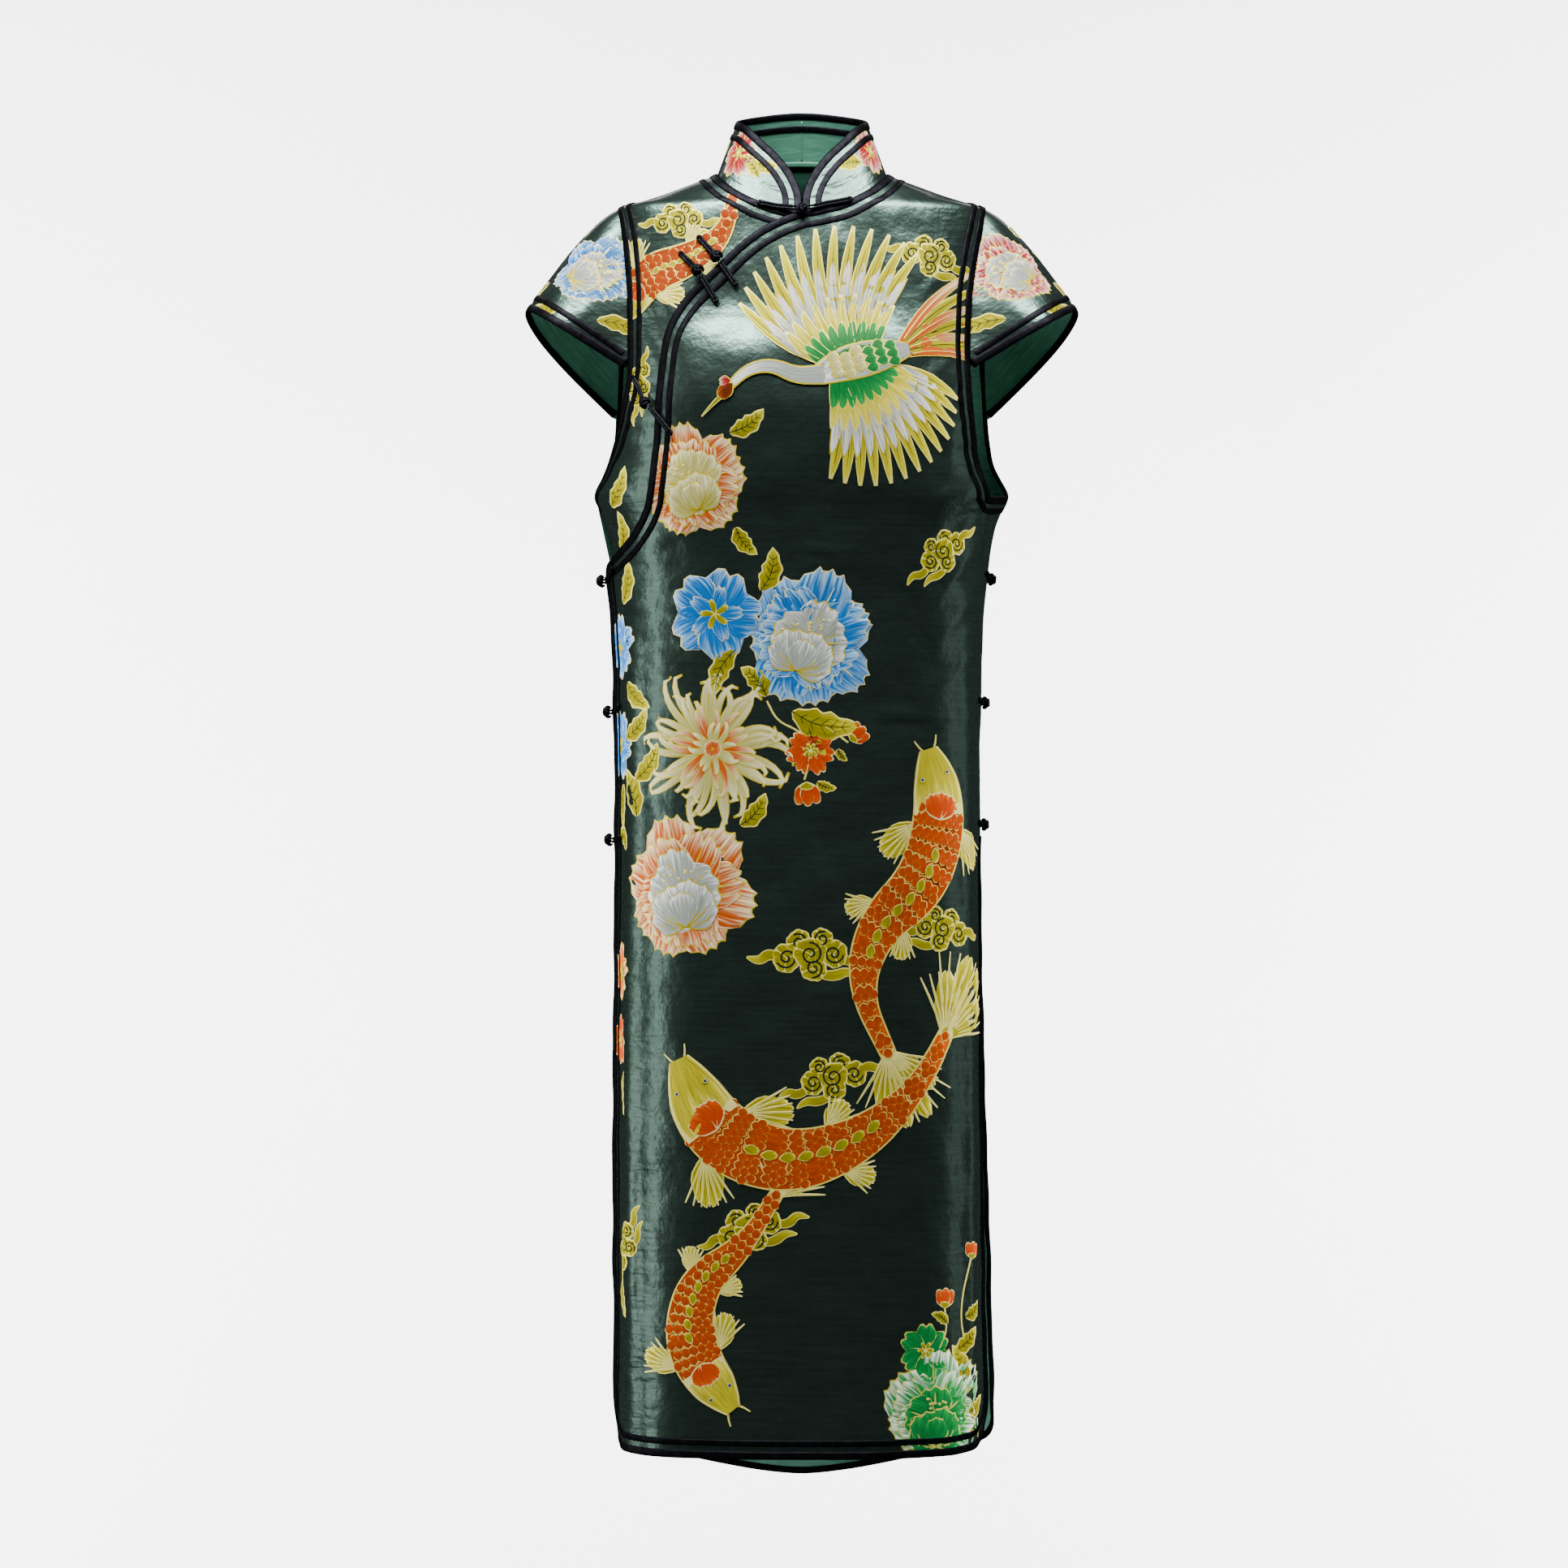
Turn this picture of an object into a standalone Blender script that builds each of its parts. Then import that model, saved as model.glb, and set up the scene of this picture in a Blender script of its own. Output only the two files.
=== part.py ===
"""A long qipao in satin brocade, worn shape with no wearer, standing collar, cap sleeves and side slits.

The wearer's left is +X, the front is -Y and up is +Z. The origin is between the shoulders, at the height
of the side neck points, where the dress rests on whoever wears it. Sizes are in millimetres.

Panels are cut on a chart of the body's surface. Turn goes round it: 0 is the centre front, 1 the left side,
2 the centre back, and 3 or -1 the right side. Level is the height.
"""

import math

import bpy
import numpy as np
from mathutils.geometry import delaunay_2d_cdt

METRE = 0.001

# Cloth and trims
WALL = 1.2
SEAM_GAP = 0.3
LAYER_LIFT = 3.0
LIFT_START = 0.45
LIFT_RUN = 0.3
BIND_WIDTH = 7.0
PIPE_NEAR = 12.0
PIPE_FAR = 18.0
TRIM_STEPS = (PIPE_FAR, PIPE_NEAR, BIND_WIDTH)
TRIM_GAP = 0.3
TRIM_THICK = 1.0

# Levels on the body, measured down from the side neck point
SHOULDER_DROP = -33.0
NECK_HALF = 84.0
NECK_FRONT = -44.0
NECK_BACK = 15.0
NECK_POWER = 1.55
NECK_STEPS = 7
NECK_BACK_POWER = 0.9
NECK_BACK_STEPS = 12
UNDERARM = -321.0
LAPEL_END = -384.0
SLIT_TOP = -652.0
SLIT_TOP_RIGHT = -672.0
FRONT_HEM = -1251.0
BACK_HEM = -1292.0

# Standing collar
COLLAR_HEIGHT = 54.0
COLLAR_RISE = 51.5
COLLAR_TOP_HALF = 65.0
COLLAR_TOP_FRONT = 50.0
COLLAR_TOP_BACK = 46.0
COLLAR_ROUND = 70.0
COLLAR_ROUND_POWER = 2.6
COLLAR_GAP = 0.7
COLLAR_START = 0.9
COLLAR_FOOT = 0.8
COLLAR_FILL = (14.0, 26.0)

# Cap sleeves
SLEEVE_TIP_REACH = 271.0
SLEEVE_TIP_DROP = -133.0
SLEEVE_TIP_BACK = 4.0
SLEEVE_FRONT_END = -196.0
SLEEVE_BACK_END = -238.0
SLEEVE_END_LENGTH = 2.0
SLEEVE_BULGE = 14.0
SLEEVE_SAG = 6.3
SLEEVE_GAP = 1.0
SLEEVE_TUCK = 0.5
SLEEVE_SPREAD = 1.35
SLEEVE_POINT = 0.85
ARM_LEVEL = -150.0
ARM_INSIDE = 20.0
CREST_ROUND = 0.08
CREST_EXTRA = 0.03
CREST_INWARD = 0.29

# Knot buttons: a double cord bar with a knob at its tail, a ball on one half and a loop on the other
CORD_SIDES = 6
CORD_HIGH = 1.8
CORD_WIDE = 3.0
KNOB_HIGH = 2.4
CORD_CLEAR = 0.4
BALL = 4.8
BALL_STATIONS = [
    (0.2, 1.6, 1.6),
    (2.0, 4.0, 4.0),
    (BALL, BALL, BALL),
    (7.8, 4.0, 3.8),
    (9.8, 2.6, 2.0),
    (13.0, CORD_WIDE, CORD_HIGH),
]
KNOB_STATIONS = [(9.0, CORD_WIDE, CORD_HIGH), (6.5, 4.0, 2.3), (3.0, 4.2, KNOB_HIGH), (0.2, 2.2, 1.4)]
FROG_HALF = 31.0
FROG_LEAD = 8.0
BESIDE_BALL = 0.3
# Tail, ball and head of each, as reach and level seen from the front.
FROGS_FRONT = (
    ("frog_neck", (-40.5, -36.5), (0.8, -44.5), (46.0, -33.0)),
    ("frog_chest_upper", (-99.0, -70.5), (-82.4, -91.0), (-65.0, -115.5)),
    ("frog_chest_lower", (-116.5, -86.0), (-99.5, -104.5), (-84.0, -132.0)),
    ("frog_underarm", (-162.0, -206.0), (-146.5, -231.0), (-125.0, -261.0)),
)
# Level of the ball and how far the front tail rises.
FROGS_RIGHT = (
    ("frog_right_upper", -400.0, 11.0),
    ("frog_right_middle", -529.0, 5.0),
    ("frog_right_lower", -655.0, 3.0),
)
FROGS_LEFT = (
    ("frog_left_upper", -398.0, 4.0),
    ("frog_left_middle", -520.0, 2.0),
    ("frog_left_lower", -640.0, 2.0),
)

QUARTER = 285.0
TINY_TURN = 0.5 * SEAM_GAP / QUARTER

# One row for each level: half width, depth in front and behind of the shoulder line, and squareness.
RING_COLUMNS = ("level", "half", "front", "back", "square")
RINGS = (
    (40, 52, 40, 46, 2.0),
    (15, 72, 53, 54, 2.0),
    (0, 84, 59, 61, 2.0),
    (-11, 113, 62, 68, 2.0),
    (-19, 134.5, 65, 74, 2.0),
    (-27, 158, 68, 80, 2.0),
    (-33, 180, 71, 84, 2.05),
    (-45, 184.5, 75, 90, 2.1),
    (-60, 188, 79, 95, 2.1),
    (-130, 190, 101, 111, 2.2),
    (-190, 190, 117, 117, 2.3),
    (-240, 190, 125, 115, 2.35),
    (-275, 191, 124, 112, 2.35),
    (-300, 197, 122, 110, 2.35),
    (-318, 203, 120, 108, 2.35),
    (-332, 197, 118, 107, 2.35),
    (-350, 190, 116, 105, 2.35),
    (-380, 185, 113, 102, 2.4),
    (-440, 179, 109, 98, 2.45),
    (-520, 176, 107, 99, 2.55),
    (-630, 175, 108, 104, 2.6),
    (-800, 176, 109, 108, 2.7),
    (-1050, 178, 108, 104, 2.7),
    (-1320, 181, 106, 102, 2.7),
)

# Long soft folds. Width is in turns, and a height below 0 is a trough.
FOLD_COLUMNS = ("turn", "start", "full", "width", "height")
FOLDS = (
    (-0.79, -400, -520, 0.07, 3.2),
    (0.78, -400, -560, 0.07, 2.6),
    (-0.45, -880, -1240, 0.22, -3.0),
    (0.35, -900, -1240, 0.26, 3.5),
    (1.06, -650, -1230, 0.15, 10.0),
    (1.55, -620, -1150, 0.20, 5.0),
    (2.00, -700, -1200, 0.22, -5.0),
    (2.45, -620, -1150, 0.20, 5.0),
    (3.00, -900, -1250, 0.20, -4.0),
)

# Where the left side seam lies, in turns, and the front's edge below it, which stands a little inside
# the back's edge.
LEFT_SEAM = ((-1400, 0.96), (-640, 0.96), (-480, 0.95), (-425, 0.90), (-371, 0.83), (-321, 0.79))
LEFT_SLIT = ((-1400, 0.975), (-1150, 0.95), (-900, 0.93), (-740, 0.945), (-652, 0.96))

# The lapel's edge seen from the front, from the neck to the right side: reach from the middle, and level.
LAPEL_LINE = (
    (0, -44),
    (-23, -53),
    (-52, -70.5),
    (-86, -102),
    (-116, -133.5),
    (-131.5, -166),
    (-137.3, -202),
    (-142.3, -274),
    (-148.5, -322),
    (-161.5, -354),
    (-178, -374),
)
LAPEL_STEPS = 22

# The armholes' edges seen from the front: how far from the middle each one is.
ARMHOLE_COLUMNS = ("level", "left_front", "right_front", "back")
ARMHOLES = (
    (-33, 180, 180, 180),
    (-53, 177, 177, 180.6),
    (-95, 169.2, 171.8, 180.7),
    (-136, 164, 169.3, 180.8),
    (-190, 163, 169.4, 181.7),
    (-250, 167, 178.2, 184.6),
    (-280, 171, 187, 188.3),
    (-303, 177, 196.5, 197.6),
)
ARMHOLE_LEVELS = (-33, -34, -35.5, -38, -44, -53, -73, -95, -115, -136, -160, -190, -220, -250, -278, -299)

HEM_CORNER_WIDE = 85.0
HEM_CORNER_HIGH = 42.0
BACK_CORNER = 70.0
BACK_HEM_RISE = 34.0
BACK_HEM_TURNS = (-0.62, -0.5, -0.36, -0.2, 0.0, 0.2, 0.36, 0.5, 0.62)
UNDERLAP = 26.0
TOO_NEAR = 0.85
FLAP_END = -425.0
FLAP_TAIL = 0.13
FLAP_START = 2
SIDE_LAP = 13.0
FLANGE_OUT = 6.0
FLANGE_FORWARD = 8.0
FLANGE_TURN = 0.10
FLANGE_RUN = 60.0

# How finely the cloth is cut up: the steps along its edges, and the points within it.
LAPEL_STEP = 22.0
EDGE_STEP = 70.0
HEM_STEP = 45.0
SEAM_LEVELS = (-600, -520, -455, -400, -360)
FILL_LEVELS = (
    -8, -15, -22, -29, -42, -58, -80, -105, -130, -155, -182, -210, -238, -266, -294, -322,
    -350, -382, -420, -470, -530, -600, -680, -770, -870, -970, -1070, -1160, -1230,
)
FILL_TURNS = (0.0, 0.17, 0.33, 0.48, 0.62, 0.75, 0.87, 0.985)
SKIRT_TURNS = (0.0, 0.20, 0.39, 0.57, 0.72, 0.85, 0.985)
SKIRT_BELOW = -400.0
FILL_CLEAR = 8.0

SATIN = "satin_brocade"
TRIM = "black_satin_binding"
KNOTS = "black_knot_cord"


def smooth(value):
    value = np.clip(value, 0.0, 1.0)
    return value * value * (3.0 - 2.0 * value)


def monotone(x, knots, values):
    """A curve through the knots that never swings past them."""
    x = np.asarray(x, float)
    width = np.diff(knots)
    slope = np.diff(values) / width
    tangent = np.zeros(len(knots))
    same = slope[:-1] * slope[1:] > 0
    tangent[1:-1][same] = 2.0 / (1.0 / slope[:-1][same] + 1.0 / slope[1:][same])
    tangent[0], tangent[-1] = slope[0], slope[-1]
    k = np.clip(np.searchsorted(knots, x) - 1, 0, len(width) - 1)
    t = (x - knots[k]) / width[k]
    near = (1 + 2 * t) * (1 - t) ** 2 * values[k] + t * (1 - t) ** 2 * width[k] * tangent[k]
    return near + t * t * (3 - 2 * t) * values[k + 1] + t * t * (t - 1) * width[k] * tangent[k + 1]


def table(columns, rows):
    """The rows' columns by name, lowest level first."""
    return dict(zip(columns, np.array(rows[::-1], float).T))


RING_TABLE = table(RING_COLUMNS, RINGS)
ARMHOLE_TABLE = table(ARMHOLE_COLUMNS, ARMHOLES)


def ring(level):
    """Half width, front depth, back depth and squareness of the body at a level."""
    return [monotone(level, RING_TABLE["level"], RING_TABLE[name]) for name in RING_COLUMNS[1:]]


def fold_height(turn, level):
    total = np.zeros_like(turn)
    for row in FOLDS:
        fold = dict(zip(FOLD_COLUMNS, row))
        away = np.abs((turn - fold["turn"] + 2) % 4 - 2)
        across = np.clip(away / fold["width"], 0.0, 1.0)
        down = smooth((fold["start"] - level) / (fold["start"] - fold["full"]))
        total += fold["height"] * np.cos(across * math.pi / 2) ** 2 * down
    return total


def body(turn, level):
    """A point of the cloth. Turn is 0 at the centre front, 1 at the left side, 2 at the centre back."""
    turn, level = np.broadcast_arrays(np.asarray(turn, float), np.asarray(level, float))
    half, front, back, square = ring(level)
    sine, cosine = np.sin(turn * math.pi / 2), np.cos(turn * math.pi / 2)
    depth = np.where(cosine > 0, front, back)
    reach = ((np.abs(sine) / half) ** square + (np.abs(cosine) / depth) ** square) ** (-1 / square)
    reach = reach + fold_height(turn, level)
    return np.stack((reach * sine, -reach * cosine, level), axis=-1)


def front_cloth(turn, level):
    """The big front: raised over the under flap, with its free right edge turned out."""
    turn, level = np.broadcast_arrays(np.asarray(turn, float), np.asarray(level, float))
    points = body(turn, level)
    lift = LAYER_LIFT * smooth((LIFT_START - turn) / LIFT_RUN)
    points = points + normals(body, turn, level) * lift[..., None]
    below_lapel = smooth((LAPEL_END + FLANGE_RUN / 1.5 - level) / FLANGE_RUN)
    flange = np.clip((-1 + FLANGE_TURN - turn) / FLANGE_TURN, 0, 1) ** 2 * below_lapel
    points[..., 0] -= FLANGE_OUT * flange
    points[..., 1] -= FLANGE_FORWARD * flange
    return points


def slopes(surface, u, v, step=0.5):
    du = step / QUARTER if surface in (body, front_cloth) else step
    along = (surface(u + du, v) - surface(u - du, v)) / (2 * du)
    down = (surface(u, v + step) - surface(u, v - step)) / (2 * step)
    return along, down


def normals(surface, u, v):
    along, down = slopes(surface, u, v)
    out = np.cross(along, down)
    return out / np.linalg.norm(out, axis=-1, keepdims=True)


def turn_at(reach, level, behind=False):
    """The turn at which the body has this reach from the centre line, in front or behind on the left."""
    turns = np.linspace(0, 1, 241)
    points = body(2 - turns if behind else turns, np.full(len(turns), float(level)))
    found = float(np.interp(abs(reach), points[:, 0], turns))
    return 2 - found if behind else math.copysign(found, reach)


def neck_front():
    """The front neckline on the chart, from the left shoulder to the centre front."""
    line = [(1.0, 0.0)]
    for k in range(1, NECK_STEPS + 1):
        angle = k / NECK_STEPS * math.pi / 2
        reach = NECK_HALF * max(math.cos(angle), 0.0) ** (2 / NECK_POWER) if k < NECK_STEPS else 0.0
        level = NECK_FRONT * math.sin(angle) ** (2 / NECK_POWER)
        line.append((turn_at(reach, level), level))
    return line


def neck_back():
    """The back neckline on the chart, from beside the left shoulder to the centre back."""
    shares = [k / NECK_BACK_STEPS for k in range(1, NECK_BACK_STEPS + 1)]
    return [(1 + s, NECK_BACK * math.sin(s * math.pi / 2) ** NECK_BACK_POWER) for s in shares]


def lapel_line():
    """The lapel's edge on the chart, as a smooth line through its knots, from past the centre front."""
    knots = np.array(LAPEL_LINE, float)
    run = lengths(knots)
    at = np.linspace(0, run[-1], LAPEL_STEPS + 1)[1:]
    reaches, levels = monotone(at, run, knots[:, 0]), monotone(at, run, knots[:, 1])
    return [(turn_at(x, z), float(z)) for x, z in zip(reaches, levels)]


def armhole_reach(column):
    """How far from the middle an armhole's edge is, at each of the armhole's levels."""
    return monotone(np.array(ARMHOLE_LEVELS, float), ARMHOLE_TABLE["level"], ARMHOLE_TABLE[column])


def armhole_line(column):
    """An armhole's edge on the chart, down from just below the shoulder, on the left side."""
    pairs = list(zip(armhole_reach(column), ARMHOLE_LEVELS))[1:]
    return [(turn_at(x, z, column == "back"), float(z)) for x, z in pairs]


def levels_in(line, turn):
    """The level of a chart line at a turn."""
    return float(np.interp(turn, *zip(*sorted(line))))


def left_seam(level):
    return float(np.interp(level, *zip(*LEFT_SEAM)))


def lengths(points):
    """How far along a line each of its points is."""
    return np.concatenate(([0.0], np.cumsum(np.linalg.norm(np.diff(points, axis=0), axis=1))))


def ridge_step(level, distance):
    """The level reached by going that far up the shoulder line from that level."""
    levels = np.linspace(SHOULDER_DROP, 0.0, 67)
    run = lengths(body(1.0, levels))
    return float(np.interp(np.interp(level, levels, run) + distance, run, levels))


def refined(points, longest):
    """The same chart line with no step longer than that, in millimetres."""
    out = [points[0]]
    for a, b in zip(points, points[1:]):
        length = math.hypot((b[0] - a[0]) * QUARTER, b[1] - a[1])
        steps = max(1, math.ceil(length / longest))
        for k in range(1, steps + 1):
            out.append((a[0] + (b[0] - a[0]) * k / steps, a[1] + (b[1] - a[1]) * k / steps))
    return out


def corner(centre, wide, high, start, end, steps=5):
    """A round corner in the body's chart; angles in degrees, 0 towards more turn and 90 upwards."""
    angles = [math.radians(start + (end - start) * k / steps) for k in range(steps + 1)]
    return [(centre[0] + wide * math.cos(a) / QUARTER, centre[1] + high * math.sin(a)) for a in angles]


def inset(surface, line, distance, first=None, last=None):
    """The line moved along the cloth to its left, by a true distance. first and last replace its ends.

    Round a tight corner the moved points would cross over, so those that come too near the line are left out.
    """
    chart = np.array(line, float)
    points = surface(chart[:, 0], chart[:, 1])
    ahead = np.gradient(points, axis=0)
    inward = np.cross(normals(surface, chart[:, 0], chart[:, 1]), ahead)
    inward /= np.linalg.norm(inward, axis=1, keepdims=True)
    steps = 4
    for _ in range(steps):
        along, down = slopes(surface, chart[:, 0], chart[:, 1])
        for k in range(len(chart)):
            jacobian = np.stack((along[k], down[k]), axis=1)
            chart[k] += np.linalg.lstsq(jacobian, inward[k] * distance / steps, rcond=None)[0]
    moved = surface(chart[:, 0], chart[:, 1])
    ends = (0, len(chart) - 1)
    keep = [k in ends or nearest(moved[k], points) > TOO_NEAR * distance for k in range(len(chart))]
    if first is not None:
        chart[0] = first
    if last is not None:
        chart[-1] = last
    return [tuple(p) for p, kept in zip(chart, keep) if kept]


def nearest(point, line):
    """Distance of a point from a polyline in space."""
    start, run = line[:-1], np.diff(line, axis=0)
    share = np.clip(((point - start) * run).sum(axis=1) / (run * run).sum(axis=1), 0, 1)
    return float(np.linalg.norm(start + run * share[:, None] - point, axis=1).min())


def inside(points, polygon):
    """Which points lie in the polygon, by counting crossings."""
    x, y = points[:, 0][:, None], points[:, 1][:, None]
    a, b = np.array(polygon, float), np.roll(np.array(polygon, float), -1, axis=0)
    spans = (a[:, 1] > y) != (b[:, 1] > y)
    rise = np.where(b[:, 1] == a[:, 1], 1e-12, b[:, 1] - a[:, 1])
    crossing = a[:, 0] + (y - a[:, 1]) * (b[:, 0] - a[:, 0]) / rise
    return (spans & (x < crossing)).sum(axis=1) % 2 == 1


def gap_to(points, line, unit):
    """Distance of each point from a chart line, in millimetres."""
    best = np.full(len(points), 1e9)
    scale = np.array([unit, 1.0])
    for a, b in zip(line, line[1:]):
        a, b = np.array(a) * scale, np.array(b) * scale
        run = b - a
        t = np.clip(((points * scale - a) @ run) / max(run @ run, 1e-9), 0, 1)
        best = np.minimum(best, np.linalg.norm(points * scale - a - t[:, None] * run, axis=1))
    return best


def triangulated(outline, lines, fill, unit):
    """Chart points and triangles of a cut piece, with every trim's edges among the triangles' edges."""
    fill = np.array(fill, float).reshape(-1, 2)
    if len(fill):
        keep = inside(fill, outline)
        for line in [list(outline) + [outline[0]], *lines]:
            keep &= gap_to(fill, line, unit) > FILL_CLEAR
        fill = fill[keep]
    chart, edges, seen = [], [], {}

    def index(point):
        key = (round(point[0] * unit, 3), round(point[1], 3))
        if key not in seen:
            seen[key] = len(chart)
            chart.append(point)
        return seen[key]

    ring_ids = [index(p) for p in outline]
    for line in lines:
        ids = [index(p) for p in line]
        edges += [(a, b) for a, b in zip(ids, ids[1:]) if a != b]
    for p in fill:
        index(tuple(p))
    flat = [(p[0] * unit, p[1]) for p in chart]
    made = delaunay_2d_cdt(flat, edges, [ring_ids], 1, 1e-4)
    exact = []
    for place, origins in zip(made[0], made[3]):
        exact.append(chart[origins[0]] if origins else (place[0] / unit, place[1]))
    return np.array(exact), np.array([f for f in made[2] if len(f) == 3], int)


def solid(name, material, chart, triangles, surface, top, bottom, snap=None):
    """One layer of cloth over these triangles, from the bottom height to the top one over the surface."""
    return layer(name, material, [(chart, triangles, surface)], top, bottom, snap)


def layer(name, material, parts, top, bottom, snap=None):
    """A closed wall from one or more charts, which are welded where they meet."""
    places, uppers, lowers, faces = {}, [], [], []
    for chart, triangles, surface in parts:
        if snap:
            chart = snap(chart)
        u, v = chart[:, 0], chart[:, 1]
        out = normals(surface, u, v)
        points = surface(u, v)
        ids = {}
        for k in sorted(set(triangles.ravel())):
            key = tuple(np.round(points[k], 2) + 0.0)
            near = [tuple(np.round(np.array(key) + np.array(d) * 0.01, 2) + 0.0) for d in NEIGHBOURS]
            found = next((places[n] for n in near if n in places), None)
            if found is None:
                found = places[key] = len(uppers)
                uppers.append(points[k] + out[k] * top)
                lowers.append(points[k] + out[k] * bottom)
            ids[k] = found
        flip = np.sign(np.mean([turning(points[t], out[t[0]]) for t in triangles]))
        for a, b, c in triangles:
            faces.append((ids[a], ids[b], ids[c]) if flip > 0 else (ids[a], ids[c], ids[b]))
    faces = [f for f in faces if len(set(f)) == 3]
    count = len(uppers)
    sides = {(a, b) for f in faces for a, b in zip(f, f[1:] + f[:1])}
    rim = [(a, b) for a, b in sides if (b, a) not in sides]
    shell = list(faces) + [(a + count, c + count, b + count) for a, b, c in faces]
    shell += [(b, a, a + count, b + count) for a, b in rim]
    return made(name, material, np.array(uppers + lowers), shell)


NEIGHBOURS = [(0, 0, 0)] + [(x, y, z) for x in (-1, 0, 1) for y in (-1, 0, 1) for z in (-1, 0, 1)]


def turning(corners, out):
    return float(np.cross(corners[1] - corners[0], corners[2] - corners[0]) @ out)


def made(name, material, points, faces):
    mesh = bpy.data.meshes.new(name)
    mesh.from_pydata([tuple(p) for p in np.asarray(points) * METRE], [], faces)
    mesh.validate()
    mesh.shade_smooth()
    mesh.set_sharp_from_angle(angle=math.radians(40))
    mesh.materials.append(material)
    piece = bpy.data.objects.new(name, mesh)
    bpy.context.scene.collection.objects.link(piece)
    return piece


def finish(name, colour, roughness, metallic=0.0):
    material = bpy.data.materials.new(name)
    material.use_nodes = True
    shader = material.node_tree.nodes["Principled BSDF"]
    shader.inputs["Base Color"].default_value = (*colour, 1.0)
    shader.inputs["Roughness"].default_value = roughness
    shader.inputs["Metallic"].default_value = metallic
    return material


def trims(surface, line, ends):
    """The three inner edges of the double trim along a line. ends gives the end points for a distance."""
    return [inset(surface, line, d, *ends(d)) for d in (BIND_WIDTH, PIPE_NEAR, PIPE_FAR)]


def strip(chart, triangles, near, far):
    """The triangles between two lines of a trim."""
    centres = chart[triangles].mean(axis=1)
    return triangles[inside(centres, list(near) + list(far)[::-1])]


class Panel:
    """One cut piece: its chart, its triangles and the trims that are sewn along its edges."""

    def __init__(
        self, surface, outline, bound, shift=0.0, levels=FILL_LEVELS, turns=FILL_TURNS, unit=QUARTER
    ):
        self.surface = surface
        self.bound = {name: [line, *trims(surface, line, ends)] for name, (line, ends) in bound.items()}
        fill = []
        for z in levels:
            spread = SKIRT_TURNS if z < SKIRT_BELOW else turns
            fill += [(shift + t, z) for t in sorted({t * s for t in spread for s in (-1, 1)})]
        lines = [line for group in self.bound.values() for line in group[1:]]
        closers = [[line[end] for line in group] for group in self.bound.values() for end in (0, -1)]
        self.chart, self.triangles = triangulated(outline, lines + closers, fill, unit)

    def binding(self, name):
        group = self.bound[name]
        return (self.chart, strip(self.chart, self.triangles, group[0], group[1]), self.surface)

    def piping(self, name):
        group = self.bound[name]
        return (self.chart, strip(self.chart, self.triangles, group[2], group[3]), self.surface)


def seam_snap(chart):
    """Trims run on across the seams, so their ends lie on the seam itself."""
    chart = np.array(chart)
    for seam in (-1.0, 1.0, 3.0):
        chart[np.abs(chart[:, 0] - seam) < 4 * TINY_TURN, 0] = seam
    for point in chart:
        if abs(point[0] - left_seam(point[1])) < 4 * TINY_TURN and point[1] < UNDERARM + 1:
            point[0] = left_seam(point[1])
    return chart


def shoulder_step(turn, inwards):
    """Where the trims cross a shoulder line, by their distance from its outer end or from the neck."""
    if inwards:
        return [(turn, ridge_step(SHOULDER_DROP, d)) for d in TRIM_STEPS]
    return [(turn, ridge_step(0.0, -d)) for d in TRIM_STEPS]


def front_panel():
    edge, right = 1 - TINY_TURN, -1.0
    slit = float(np.interp(FRONT_HEM, *zip(*LEFT_SLIT)))
    neck = [(edge, 0.0), *neck_front()[1:]]
    lapel = [*lapel_line(), (right, LAPEL_END)]
    across, level = HEM_CORNER_WIDE / QUARTER, FRONT_HEM + HEM_CORNER_HIGH
    low_right = corner((right + across, level), HEM_CORNER_WIDE, HEM_CORNER_HIGH, 180, 270)
    low_left = corner((slit - across, level), HEM_CORNER_WIDE, HEM_CORNER_HIGH, 270, 360)
    slit_edge = [(turn, level) for level, turn in LEFT_SLIT[1:-1]]
    top = (left_seam(SLIT_TOP) - TINY_TURN, SLIT_TOP)
    bound = refined(neck + lapel, LAPEL_STEP) + refined([lapel[-1], low_right[0]], EDGE_STEP)[1:]
    bound += low_right[1:] + refined([low_right[-1], low_left[0]], HEM_STEP)[1:] + low_left[1:]
    bound += refined([low_left[-1], *slit_edge, top], EDGE_STEP)[1:]
    arm_end = (left_seam(UNDERARM) - TINY_TURN, UNDERARM)
    armhole = [arm_end, *armhole_line("left_front")[::-1], (edge, SHOULDER_DROP)]
    seam = [(left_seam(z) - TINY_TURN, z) for z in SEAM_LEVELS]
    below_arm = [(left_seam(UNDERARM - d) - TINY_TURN, UNDERARM - d) for d in TRIM_STEPS]
    outline = bound + seam + below_arm + armhole
    outline += shoulder_step(edge, True)[::-1] + shoulder_step(edge, False)

    def edge_ends(distance):
        return (edge, ridge_step(0.0, -distance)), None

    def armhole_ends(distance):
        low = UNDERARM - distance
        return (left_seam(low) - TINY_TURN, low), (edge, ridge_step(SHOULDER_DROP, distance))

    return Panel(front_cloth, outline, {"edge": (bound, edge_ends), "armhole": (armhole, armhole_ends)})


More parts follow.
